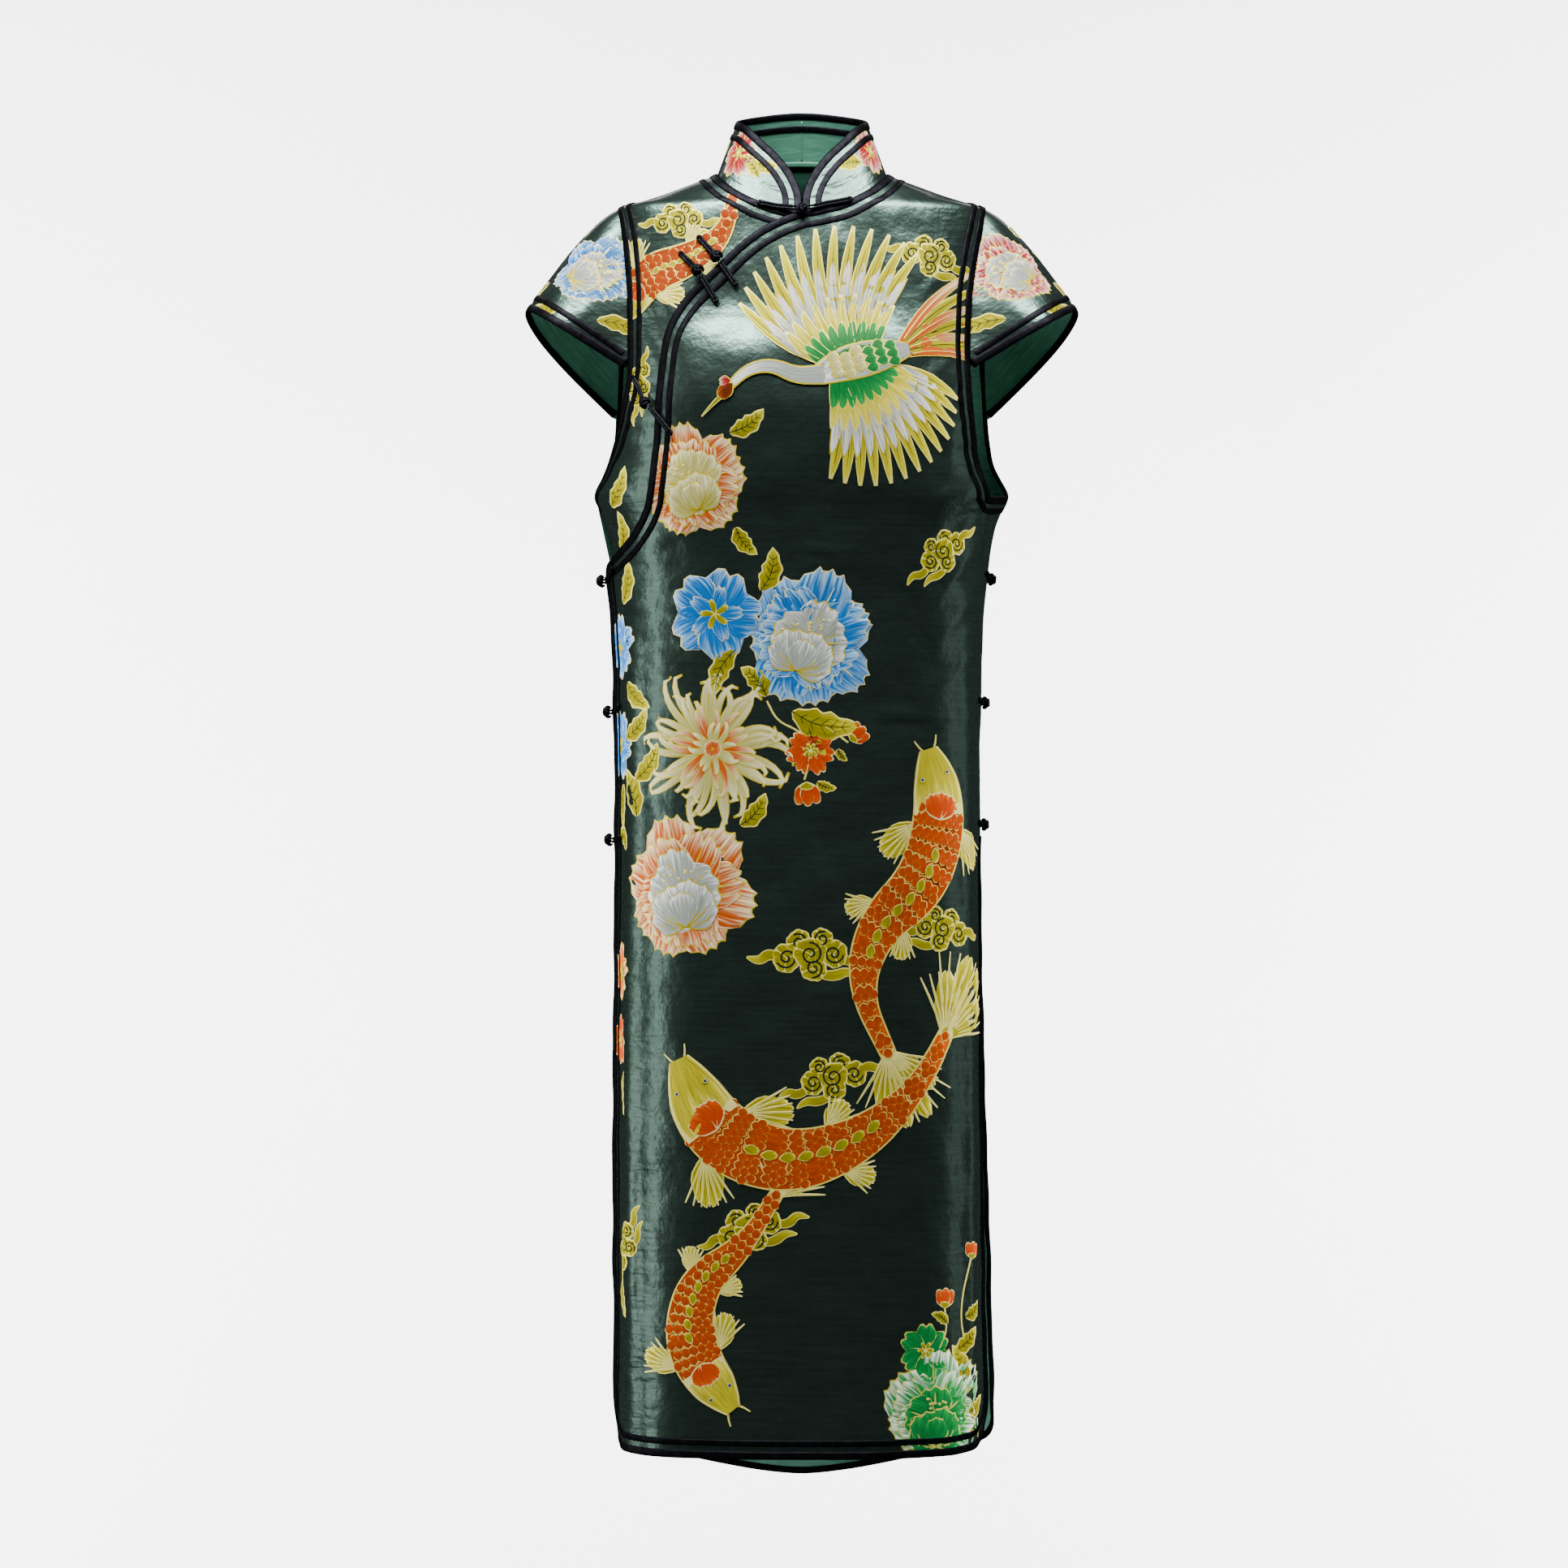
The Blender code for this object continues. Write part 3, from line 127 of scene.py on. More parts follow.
# Small creases, each along a line on the chart, with the height of its ridge (below 0 for a trough).
CREASE_COLUMNS = ("turn", "level", "end_turn", "end_level", "width", "height")
CREASES = (
    # From the left armhole towards the bust
    (0.74, -96, 0.60, -128, 5.0, 0.9),
    (0.72, -120, 0.52, -168, 6.0, 1.1),
    (0.70, -150, 0.55, -190, 5.0, -0.9),
    (0.71, -182, 0.50, -222, 7.0, 1.2),
    (0.72, -214, 0.58, -244, 5.5, -1.0),
    (0.73, -246, 0.56, -262, 6.0, 1.1),
    (0.76, -276, 0.60, -285, 7.0, -1.1),
    (0.80, -300, 0.58, -330, 8.0, 1.3),
    # A soft hollow over the bust, and the fullness under it
    (0.08, -136, 0.56, -132, 36.0, -5.6),
    (-0.56, -132, -0.08, -136, 36.0, -5.6),
    # Down the bust and waist on the left
    (0.66, -250, 0.60, -345, 7.0, 0.8),
    (0.74, -330, 0.55, -392, 8.0, -1.2),
    (0.78, -372, 0.60, -430, 7.0, 1.2),
    (0.82, -430, 0.66, -470, 8.0, -1.0),
    (0.80, -480, 0.62, -505, 9.0, 1.1),
    (0.84, -545, 0.66, -560, 9.0, -0.9),
    # Under the lapel, on the wearer's right
    (-0.72, -372, -0.50, -350, 6.0, 0.9),
    (-0.78, -400, -0.55, -392, 7.0, -1.0),
    (-0.82, -424, -0.58, -436, 6.0, 1.0),
    (-0.84, -452, -0.55, -474, 7.0, -1.1),
    (-0.86, -486, -0.62, -498, 6.0, 1.0),
    (-0.85, -512, -0.52, -536, 8.0, -1.1),
    (-0.86, -552, -0.60, -566, 7.0, 0.9),
    (-0.84, -590, -0.62, -612, 9.0, -0.9),
    # Across the waist and belly
    (0.02, -372, 0.18, -378, 4.0, 0.9),
    (-0.30, -404, 0.05, -416, 9.0, 0.7),
    (0.05, -438, 0.38, -428, 8.0, -0.7),
    (0.42, -532, 0.62, -536, 5.0, 1.0),
    (-0.20, -498, 0.20, -510, 10.0, 0.6),
    # On the small front under the lapel
    (-0.74, -110, -0.62, -150, 5.0, 0.8),
    (-0.73, -150, -0.60, -196, 5.0, -0.8),
    (-0.76, -196, -0.60, -240, 6.0, 0.9),
    (-0.80, -246, -0.62, -272, 6.0, -0.8),
    (-0.86, -286, -0.66, -306, 6.0, 0.9),
    # Low on the skirt
    (-0.16, -1120, -0.10, -1236, 12.0, 0.9),
    (0.02, -1090, 0.05, -1240, 13.0, -0.8),
    (0.20, -1130, 0.26, -1240, 11.0, 0.8),
    (-0.82, -700, -0.76, -1180, 9.0, 1.6),
    (0.80, -760, 0.78, -1200, 9.0, 1.4),
    # Across the back, between the armholes and over the seat
    (1.28, -108, 1.46, -130, 6.0, 0.9),
    (1.27, -150, 1.50, -176, 7.0, -1.0),
    (1.27, -196, 1.48, -214, 6.0, 1.0),
    (1.25, -246, 1.50, -262, 8.0, -1.1),
    (1.16, -300, 1.48, -322, 8.0, 1.2),
    (2.72, -116, 2.55, -136, 6.0, 0.9),
    (2.73, -160, 2.52, -190, 7.0, -1.0),
    (2.74, -212, 2.50, -226, 6.0, 1.0),
    (2.76, -262, 2.52, -280, 8.0, -1.1),
    (2.84, -306, 2.56, -334, 8.0, 1.2),
    (1.30, -380, 1.70, -402, 9.0, -1.2),
    (1.75, -396, 2.15, -404, 9.0, 1.1),
    (2.25, -424, 2.66, -398, 9.0, -1.2),
    (1.40, -440, 1.85, -452, 10.0, 1.1),
    (2.05, -468, 2.58, -454, 10.0, 1.1),
    (1.22, -520, 1.55, -534, 9.0, -1.0),
    (2.48, -538, 2.78, -524, 9.0, 1.0),
    (1.82, -1080, 1.80, -1270, 13.0, 1.0),
    (2.22, -1060, 2.26, -1260, 13.0, -0.9),
)
# Beside each ridge runs a trough, this share as deep and this many widths away
CREASE_TROUGH = 0.5
CREASE_BESIDE = 1.5
CREASE_WIDTHS = 4
# A crease fades away past its ends, over these shares of its length
CREASE_FADE = 0.2
CREASE_EASE = 0.5
WAVES = 9
WAVE_HEIGHT = 0.16
WAVE_LENGTHS = (38.0, 120.0)

ARMHOLE_COLUMNS = ("level", "left_front", "right_front", "back")
ARMHOLES = (
    (-33, 180, 180, 180),
    (-53, 177, 177, 180.6),
    (-95, 169.2, 171.8, 180.7),
    (-136, 164, 169.3, 180.8),
    (-190, 163, 169.4, 181.7),
    (-250, 167, 178.2, 184.6),
    (-280, 171, 187, 188.3),
    (-303, 177, 196.5, 197.6),
)
ARMHOLE_DEPTH = 266
ARMHOLE_STEPS = 48
ARMHOLE_SHARES = [(k / ARMHOLE_STEPS) ** 1.4 for k in range(ARMHOLE_STEPS + 1)]
ARMHOLE_LEVELS = [SHOULDER_DROP - ARMHOLE_DEPTH * share for share in ARMHOLE_SHARES]
LEFT_SEAM = ((-1400, 0.96), (-640, 0.96), (-480, 0.95), (-425, 0.90), (-371, 0.83), (-321, 0.79))
LEFT_SEAM_LEVELS = (-360, -400, -425, -480, -560)
NECK_STEPS = 40
NECK_BACK_POWER = 0.9
TURN_STEPS = 401


def smooth(value):
    value = np.clip(value, 0.0, 1.0)
    return value * value * (3.0 - 2.0 * value)


def table(columns, rows):
    """The rows' columns by name, lowest level first."""
    return dict(zip(columns, np.array(rows[::-1], float).T))


def monotone(x, knots, values):
    """A curve through the knots that never swings past them."""
    x = np.asarray(x, float)
    width = np.diff(knots)
    slope = np.diff(values) / width
    tangent = np.zeros(len(knots))
    same = slope[:-1] * slope[1:] > 0
    tangent[1:-1][same] = 2.0 / (1.0 / slope[:-1][same] + 1.0 / slope[1:][same])
    tangent[0], tangent[-1] = slope[0], slope[-1]
    k = np.clip(np.searchsorted(knots, x) - 1, 0, len(width) - 1)
    t = (x - knots[k]) / width[k]
    before = (1 + 2 * t) * (1 - t) ** 2 * values[k] + t * (1 - t) ** 2 * width[k] * tangent[k]
    return before + t * t * (3 - 2 * t) * values[k + 1] + t * t * (t - 1) * width[k] * tangent[k + 1]


RING_TABLE = table(RING_COLUMNS, RINGS)
ARMHOLE_TABLE = table(ARMHOLE_COLUMNS, ARMHOLES)
WAVE_SEEDS = np.random.default_rng(7).random((WAVES, 3))


def ring(level):
    """Half width, front depth, back depth and squareness of the body at a level."""
    return [monotone(level, RING_TABLE["level"], RING_TABLE[name]) for name in RING_COLUMNS[1:]]


def round_body(turn, level):
    """The body without its creases."""
    half, front, back, square = ring(level)
    sine, cosine = np.sin(turn * math.pi / 2), np.cos(turn * math.pi / 2)
    depth = np.where(cosine > 0, front, back)
    reach = ((np.abs(sine) / half) ** square + (np.abs(cosine) / depth) ** square) ** (-1 / square)
    for row in FOLDS:
        fold = dict(zip(FOLD_COLUMNS, row))
        across = np.clip(np.abs((turn - fold["turn"] + 2) % 4 - 2) / fold["width"], 0.0, 1.0)
        down = smooth((fold["start"] - level) / (fold["start"] - fold["full"]))
        reach = reach + fold["height"] * np.cos(across * math.pi / 2) ** 2 * down
    return np.stack((reach * sine, -reach * cosine, level), axis=-1)


PLAN_TURNS = np.linspace(-1.15, 3.15, 517)
PLAN_STEP = 10.0
PLAN_LEVELS = np.arange(-1330.0, 41.0, PLAN_STEP)
PLAN_POINTS = round_body(*np.meshgrid(PLAN_TURNS, PLAN_LEVELS, indexing="ij"))
PLAN_RUNS = np.cumsum(np.linalg.norm(np.diff(PLAN_POINTS, axis=0, prepend=PLAN_POINTS[:1]), axis=-1), axis=0)


def round_distance(turn, level):
    """True distance round the body to a turn, from the start of the table."""
    a = np.clip((turn - PLAN_TURNS[0]) / (PLAN_TURNS[1] - PLAN_TURNS[0]), 0, len(PLAN_TURNS) - 1.001)
    b = np.clip((level - PLAN_LEVELS[0]) / PLAN_STEP, 0, len(PLAN_LEVELS) - 1.001)
    i, j = a.astype(int), b.astype(int)
    a, b = a - i, b - j
    low = PLAN_RUNS[i, j] * (1 - a) + PLAN_RUNS[i + 1, j] * a
    return low * (1 - b) + (PLAN_RUNS[i, j + 1] * (1 - a) + PLAN_RUNS[i + 1, j + 1] * a) * b


def flat_plan(middle):
    """How a cloth lies when it is spread flat: distance across from its middle turn, and level."""

    def place(turn, level):
        across = round_distance(turn, level) - round_distance(np.full_like(turn, middle), level)
        return np.stack((across, level), axis=-1)

    return place


def crease_height(turn, level):
    """How far the creases and the cloth's slight waviness lift it there."""
    total = np.zeros_like(turn)
    for row in CREASES:
        crease = dict(zip(CREASE_COLUMNS, row))
        across = (crease["end_turn"] - crease["turn"]) * QUARTER
        run = np.array([across, crease["end_level"] - crease["level"]])
        length = np.hypot(*run)
        run /= length
        across_turn = ((turn - crease["turn"] + 2) % 4 - 2) * QUARTER
        down = level - crease["level"]
        along = (across_turn * run[0] + down * run[1]) / length
        off = across_turn * run[1] - down * run[0]
        close = np.abs(off) < CREASE_WIDTHS * crease["width"]
        close &= (along > -CREASE_FADE) & (along < 1 + CREASE_FADE)
        ends = smooth((along + CREASE_FADE) / CREASE_EASE) * smooth((1 + CREASE_FADE - along) / CREASE_EASE)
        ridge = np.exp(-((off / crease["width"]) ** 2))
        ridge -= CREASE_TROUGH * np.exp(-((off / crease["width"] - CREASE_BESIDE) ** 2))
        total += np.where(close, crease["height"] * ridge * ends, 0.0)
    for bearing, phase, size in WAVE_SEEDS:
        length = WAVE_LENGTHS[0] + (WAVE_LENGTHS[1] - WAVE_LENGTHS[0]) * size
        angle = bearing * math.pi
        place = turn * QUARTER * math.cos(angle) + level * math.sin(angle)
        total += WAVE_HEIGHT * np.sin(2 * math.pi * (place / length + phase))
    return total


def slopes(surface, u, v, unit):
    """How a surface's points move for a millimetre along its chart's two ways."""
    du, dv = 0.5 / unit, 0.5
    return surface(u + du, v) - surface(u - du, v), surface(u, v + dv) - surface(u, v - dv)


def directions(vectors):
    """Which way vectors point, each 1 long."""
    return vectors / np.linalg.norm(vectors, axis=-1, keepdims=True)


def normals(surface, u, v, unit=QUARTER):
    return directions(np.cross(*slopes(surface, u, v, unit)))


def body(turn, level):
    """A point of the cloth, with its creases."""
    turn, level = np.broadcast_arrays(np.asarray(turn, float), np.asarray(level, float))
    out = normals(round_body, turn, level)
    return round_body(turn, level) + out * crease_height(turn, level)[..., None]


def left_seam(level):
    return float(np.interp(level, *zip(*LEFT_SEAM)))


def turn_at(reach, level, behind=False):
    """The turn at which the body has this reach from the centre line, in front or behind on the left."""
    turns = np.linspace(0, 1, TURN_STEPS)
    points = round_body(2 - turns if behind else turns, np.full(len(turns), float(level)))
    found = float(np.interp(abs(reach), points[:, 0], turns))
    return 2 - found if behind else math.copysign(found, reach)


def armhole_reach(column, levels):
    return monotone(np.array(levels, float), ARMHOLE_TABLE["level"], ARMHOLE_TABLE[column])


def armhole_line(column):
    """An armhole's edge on the chart, down from just below the shoulder, on the left side."""
    pairs = list(zip(armhole_reach(column, ARMHOLE_LEVELS), ARMHOLE_LEVELS))[1:]
    return [(turn_at(x, z, column == "back"), float(z)) for x, z in pairs]


def neck_back():
    """The back neckline on the chart, from beside the left shoulder to the centre back."""
    shares = [k / NECK_STEPS for k in range(1, NECK_STEPS + 1)]
    return [(1 + s, NECK_BACK * math.sin(s * math.pi / 2) ** NECK_BACK_POWER) for s in shares]


def corner(centre, wide, high, start, end, steps=16):
    """A round corner on the chart; angles in degrees, 0 towards more turn and 90 upwards."""
    angles = [math.radians(start + (end - start) * k / steps) for k in range(steps + 1)]
    return [(centre[0] + wide * math.cos(a) / QUARTER, centre[1] + high * math.sin(a)) for a in angles]


def lengths(points):
    """How far along a line each of its points is."""
    return np.concatenate(([0.0], np.cumsum(np.linalg.norm(np.diff(points, axis=0), axis=1))))


def even(line, step=EDGE_STEP, unit=QUARTER, soften=2):
    """A chart line in even steps, with its corners slightly rounded and its ends where they were."""
    flat = np.array(line, float) * (unit, 1.0)
    run = lengths(flat)
    at = np.linspace(0, run[-1], max(2, round(run[-1] / step)) + 1)
    flat = np.stack([np.interp(at, run, flat[:, k]) for k in (0, 1)], axis=1)
    for _ in range(soften):
        flat[1:-1] = (flat[:-2] + 2 * flat[1:-1] + flat[2:]) / 4
    return [(a / unit, b) for a, b in flat]


def inside(points, polygon):
    """Which points lie in the polygon, by counting crossings."""
    x, y = points[:, 0], points[:, 1]
    odd = np.zeros(len(points), bool)
    for a, b in zip(polygon, polygon[1:] + polygon[:1]):
        if a[1] != b[1]:
            crossing = a[0] + (y - a[1]) * (b[0] - a[0]) / (b[1] - a[1])
            odd ^= ((a[1] > y) != (b[1] > y)) & (x < crossing)
    return odd


def gap_to(points, line):
    """Distance of each point from a closed line."""
    best = np.full(len(points), np.inf)
    for a, b in zip(line, line[1:] + line[:1]):
        a, run = np.array(a), np.array(b) - np.array(a)
        t = np.clip(((points - a) @ run) / max(run @ run, 1e-9), 0, 1)
        best = np.minimum(best, np.linalg.norm(points - a - t[:, None] * run, axis=1))
    return best


def cut_out(outline, unit, step=CLOTH_STEP):
    """Chart points and triangles of a cut piece, in an even net of points within its outline."""
    edge = [(a * unit, b) for a, b in outline]
    low, high = np.min(edge, axis=0), np.max(edge, axis=0)
    rows = np.arange(low[1], high[1], step * NET_ROW)
    columns = np.arange(low[0], high[0], step)
    net = np.array([(x + (k % 2) * step / 2, z) for k, z in enumerate(rows) for x in columns])
    net = net[inside(net, edge)]
    net = net[gap_to(net, edge) > NET_CLEAR * step]
    flat = edge + [tuple(p) for p in net]
    made = delaunay_2d_cdt(flat, [], [list(range(len(edge)))], 1, 1e-5)
    chart = np.array([(x / unit, z) for x, z in made[0]])
    return chart, np.array([f for f in made[2] if len(f) == 3], int)


def make_piece(name, points, faces, materials, indices=None):
    """A mesh piece that rides on the dress's one body."""
    mesh = bpy.data.meshes.new(name)
    mesh.from_pydata((np.asarray(points) * MM).tolist(), [], faces)
    mesh.shade_smooth()
    for material in materials:
        mesh.materials.append(material)
    if indices is not None:
        mesh.polygons.foreach_set("material_index", indices)
    piece = bpy.data.objects.new(name, mesh)
    bpy.context.scene.collection.objects.link(piece)
    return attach(piece, "root")


def cut_edges(faces):
    """The edges with a face on one side only."""
    edges = {tuple(e) for k in range(3) for e in faces[:, [k, (k + 1) % 3]].tolist()}
    return sorted((p, q) for p, q in edges if (q, p) not in edges)


def shell(name, points, outs, faces, plan):
    """Cloth one wall thick: its outer face, the lining inside it and the cut edge between them."""
    a, b, c = (points[faces[:, k]] for k in range(3))
    if (np.cross(b - a, c - a) * outs[faces[:, 0]]).sum() < 0:
        faces = faces[:, ::-1]
    count = len(points)
    rim = cut_edges(faces)
    loops = faces.tolist() + (faces[:, ::-1] + count).tolist()
    loops += [(q, p, p + count, q + count) for p, q in rim]
    indices = [0] * len(faces) + [1] * len(faces) + [0] * len(rim)
    piece = make_piece(name, np.concatenate((points, points - outs * WALL)), loops, [SATIN, LINING], indices)
    piece.data.set_sharp_from_angle(angle=math.radians(SHARP_FOLD))
    chart_map(piece, np.tile(plan, (2, 1)))
    area = np.linalg.norm(np.cross(b - a, c - a), axis=1).sum() / 2
    print(f"{name}: {area * 1e-6:.4f} square metres, {np.ptp(plan, axis=0).round()} mm, {len(loops)} faces")
    return piece, (plan, faces, points, outs)


def chart_map(piece, plan):
    """A UV map that gives each point's place on the flat cloth, in metres."""
    corners = np.empty(len(piece.data.loops), int)
    piece.data.loops.foreach_get("vertex_index", corners)
    piece.data.uv_layers.new(name="Chart").data.foreach_set("uv", (plan[corners] * MM).ravel())


def sew(name, surface, outline, plan, unit=QUARTER, step=CLOTH_STEP):
    """A panel cut to its outline, its outer face on the surface, and the ground for what is woven in it."""
    chart, faces = cut_out(outline, unit, step)
    u, v = chart[:, 0], chart[:, 1]
    return shell(name, surface(u, v), normals(surface, u, v, unit), faces, plan(u, v))


def colour(code):
    """A linear colour from an sRGB hex code."""
    parts = [int(code[k : k + 2], 16) / 255 for k in (0, 2, 4)]
    return (*[c / 12.92 if c <= 0.04045 else ((c + 0.055) / 1.055) ** 2.4 for c in parts], 1.0)


def add(tree, kind, inputs=(), stops=(), **settings):
    """One node: its inputs are links or values, each with its socket, and its stops are a ramp's colours.

    The settings are the node's own, or else the values of the sockets that they name.
    """
    made = tree.nodes.new("ShaderNode" + kind)
    for key, value in settings.items():
        if hasattr(made, key):
            setattr(made, key, value)
        else:
            made.inputs[key.replace("_", " ")].default_value = value
    for source, socket in inputs:
        if isinstance(source, bpy.types.NodeSocket):
            tree.links.new(source, made.inputs[socket])
        else:
            made.inputs[socket].default_value = source
    for number, (position, code) in enumerate(stops):
        made.color_ramp.elements[number].position = position
        made.color_ramp.elements[number].color = colour(code)
    return made


def new_material(name):
    material = bpy.data.materials.new(name)
    material.use_nodes = True
    return material, material.node_tree, material.node_tree.nodes["Principled BSDF"]


def charmeuse_satin():
    """Dyed silk satin: long floats of thread give it a tinted, glassy sheen over a nearly black green."""
    material, tree, shader = new_material("silk_satin_dark_green")
    chart = add(tree, "UVMap", uv_map="Chart").outputs[0]
    # Slubs and uneven dye run across the width: 3 mm high and 60 mm long
    across = add(tree, "Mapping", [(chart, 0)], Scale=(16.0, 330.0, 1.0))
    slubs = add(tree, "TexNoise", [(across.outputs[0], 0)], noise_dimensions="2D", Scale=1.0, Detail=3.0)
    tint = add(tree, "ValToRGB", [(slubs.outputs[0], 0)], ((0.30, "475a52"), (0.72, "4e625a")))
    tree.links.new(tint.outputs[0], shader.inputs["Base Color"])
    # Soft crinkles of 9 to 30 mm, where the satin has been handled
    look = {"noise_dimensions": "2D", "Scale": 34.0, "Detail": 4.0, "Roughness": 0.6}
    crinkle = add(tree, "TexNoise", [(chart, 0)], **look)
    bump = add(tree, "Bump", [(crinkle.outputs[0], "Height")], Strength=0.75, Distance=0.0016)
    # Puckers about 9 mm apart run in from the side trims and the armholes
    parts = add(tree, "SeparateXYZ", [(chart, 0)])
    off = add(tree, "Math", [(parts.outputs["X"], 0)], operation="ABSOLUTE")
    look = {"interpolation_type": "SMOOTHSTEP", "From_Min": 0.10, "From_Max": 0.19}
    side = add(tree, "MapRange", [(off.outputs[0], 0)], **look)
    run = add(tree, "Mapping", [(chart, 0)], Scale=(24.0, 105.0, 1.0))
    puckers = add(tree, "TexNoise", [(run.outputs[0], 0)], noise_dimensions="2D", Scale=1.0, Detail=2.0)
    raised = add(tree, "Math", [(puckers.outputs[0], 0), (side.outputs[0], 1)], operation="MULTIPLY")
    under = (bump.outputs[0], "Normal")
    bump = add(tree, "Bump", [(raised.outputs[0], "Height"), under], Strength=0.6, Distance=0.0022)
    # Threads at 0.6 mm, coarser than the real 0.1 mm so that they show
    weft = add(tree, "Mapping", [(chart, 0)], Scale=(120.0, 1600.0, 1.0))
    thread = add(tree, "TexNoise", [(weft.outputs[0], 0)], noise_dimensions="2D", Scale=1.0, Detail=1.0)
    under = (bump.outputs[0], "Normal")
    fine = add(tree, "Bump", [(thread.outputs[0], "Height"), under], Strength=0.25, Distance=0.00008)
    tree.links.new(fine.outputs[0], shader.inputs["Normal"])
    shader.inputs["Metallic"].default_value = 0.94
    shader.inputs["Roughness"].default_value = 0.31
    shader.inputs["Specular Tint"].default_value = colour("2c3a34")
    shader.inputs["Coat Weight"].default_value = 0.05
    shader.inputs["Coat Roughness"].default_value = 0.2
    return material


def lining_silk():
    """Plain green silk habotai: a soft, even sheen, lighter than the satin."""
    material, tree, shader = new_material("silk_lining_green")
    chart = add(tree, "UVMap", uv_map="Chart")
    # Uneven threads, 2.5 mm apart and 25 mm long
    weave = add(tree, "Mapping", [(chart.outputs[0], 0)], Scale=(40.0, 400.0, 1.0))
    noise = add(tree, "TexNoise", [(weave.outputs[0], 0)], noise_dimensions="2D", Scale=1.0, Detail=3.0)
    tint = add(tree, "ValToRGB", [(noise.outputs[0], 0)], ((0.3, "3f7360"), (0.75, "548a75")))
    tree.links.new(tint.outputs[0], shader.inputs["Base Color"])
    bump = add(tree, "Bump", [(noise.outputs[0], "Height")], Strength=0.3, Distance=0.0003)
    tree.links.new(bump.outputs[0], shader.inputs["Normal"])
    shader.inputs["Roughness"].default_value = 0.45
    shader.inputs["Metallic"].default_value = 0.25
    return material


SATIN = charmeuse_satin()
LINING = lining_silk()


def back_outlines():
    """The back's outline on the chart, and the stretches of it that are bound."""
    left, right = 1 + TINY_TURN, 3 - TINY_TURN
    half = neck_back()
    neck = [(right, 0.0), *[(4 - t, z) for t, z in half], *half[-2::-1], (left, 0.0)]
    hole = armhole_line("back")
    seam_end = (left_seam(UNDERARM) + TINY_TURN, UNDERARM)
    arm_right = [(right, UNDERARM), *[(4 - t, z) for t, z in hole[::-1]], (right, SHOULDER_DROP)]
    arm_left = [(left, SHOULDER_DROP), *hole, *ARMHOLE_FOOT, seam_end]
    rise = BACK_CORNER / QUARTER
    corner_level = BACK_HEM + BACK_HEM_RISE + BACK_CORNER
    low_left = corner((1.0 + rise, corner_level), BACK_CORNER, BACK_CORNER, 180, 262)
    low_right = corner((3.0 - rise, corner_level), BACK_CORNER, BACK_CORNER, 278, 360)
    turns = np.linspace(-BACK_HEM_SPAN, BACK_HEM_SPAN, 31)
    hem = [(2 + t, BACK_HEM + BACK_HEM_RISE * abs(t / 0.75) ** BACK_HEM_POWER) for t in turns]
    slit_top = (left_seam(SLIT_TOP) + TINY_TURN, SLIT_TOP)
    bound = [slit_top, *BACK_SLIT, *low_left, *hem, *low_right, (right, SLIT_TOP_RIGHT)]
    lap = right + SIDE_LAP / QUARTER
    side = [(lap, SLIT_TOP_RIGHT + LAP_EASE), (lap, FLAP_END - LAP_EASE)]
    side += [(right, FLAP_END - 1), (right, UNDERARM)]
    seam = [(left_seam(z) + TINY_TURN, z) for z in LEFT_SEAM_LEVELS]
    bound, arm_left, arm_right, neck = (even(line) for line in (bound, arm_left, arm_right, neck))
    shoulders = [(right, SHOULDER_MIDDLE), (left, SHOULDER_MIDDLE)]
    outline = bound + side + arm_right[1:] + shoulders[:1] + neck + shoulders[1:] + arm_left + seam
    return outline, {"edge": bound, "neck": neck, "arm_left": arm_left, "arm_right": arm_right}


back_outline, back_bound = back_outlines()
back, back_ground = sew("back", body, back_outline, flat_plan(2.0))
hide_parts("back_panel")

# The small front: the same satin, sewn to the back at the right shoulder and side. It lies under the big
# front's lapel, and only its upper part shows.
UNDERLAP = 26.0
FLAP_TAIL = 0.13
FLAP_TAIL_LEVEL = -66.0
FLAP_LAPEL_TOP = -62.0
FLAP_NECK_LEVEL = -50.0
FLAP_SIDE_LEVEL = -370.0
NECK_POWER = 1.55
NECK_FRONT_STEPS = 32
LAPEL_STEPS = 110
LAPEL_LINE = (
    (0, -44),
    (-23, -53),
    (-52, -70.5),
    (-86, -102),
    (-116, -133.5),
    (-131.5, -166),
    (-137.3, -202),
    (-142.3, -274),
    (-148.5, -322),
    (-161.5, -354),
    (-178, -374),
)


def neck_front():
    """The front neckline on the chart, from beside the left shoulder to the centre front."""
    line = []
    for k in range(1, NECK_FRONT_STEPS + 1):
        angle = k / NECK_FRONT_STEPS * math.pi / 2
        reach = NECK_HALF * math.cos(angle) ** (2 / NECK_POWER) if k < NECK_FRONT_STEPS else 0.0
        level = NECK_FRONT * math.sin(angle) ** (2 / NECK_POWER)
        line.append((turn_at(reach, level), level))
    return line


def lapel_line():
    """The lapel's edge on the chart, as a smooth line through its knots, from past the centre front."""
    knots = np.array(LAPEL_LINE, float)
    run = lengths(knots)
    at = np.linspace(0, run[-1], LAPEL_STEPS + 1)[1:]
    reaches, levels = monotone(at, run, knots[:, 0]), monotone(at, run, knots[:, 1])
    return [(turn_at(x, z), float(z)) for x, z in zip(reaches, levels)]


def carried(surface, chart, move, unit, steps):
    """Chart points after a move along the cloth in millimetres, made in a few steps."""
    for _ in range(steps):
        basis = np.stack(slopes(surface, chart[:, 0], chart[:, 1], unit), axis=-1)
        step = np.einsum("nji,nj->ni", basis, move / steps)
        step = np.linalg.solve(np.einsum("nji,njk->nik", basis, basis), step[..., None])[..., 0]
        chart = chart + step / (unit, 1.0)
    return chart


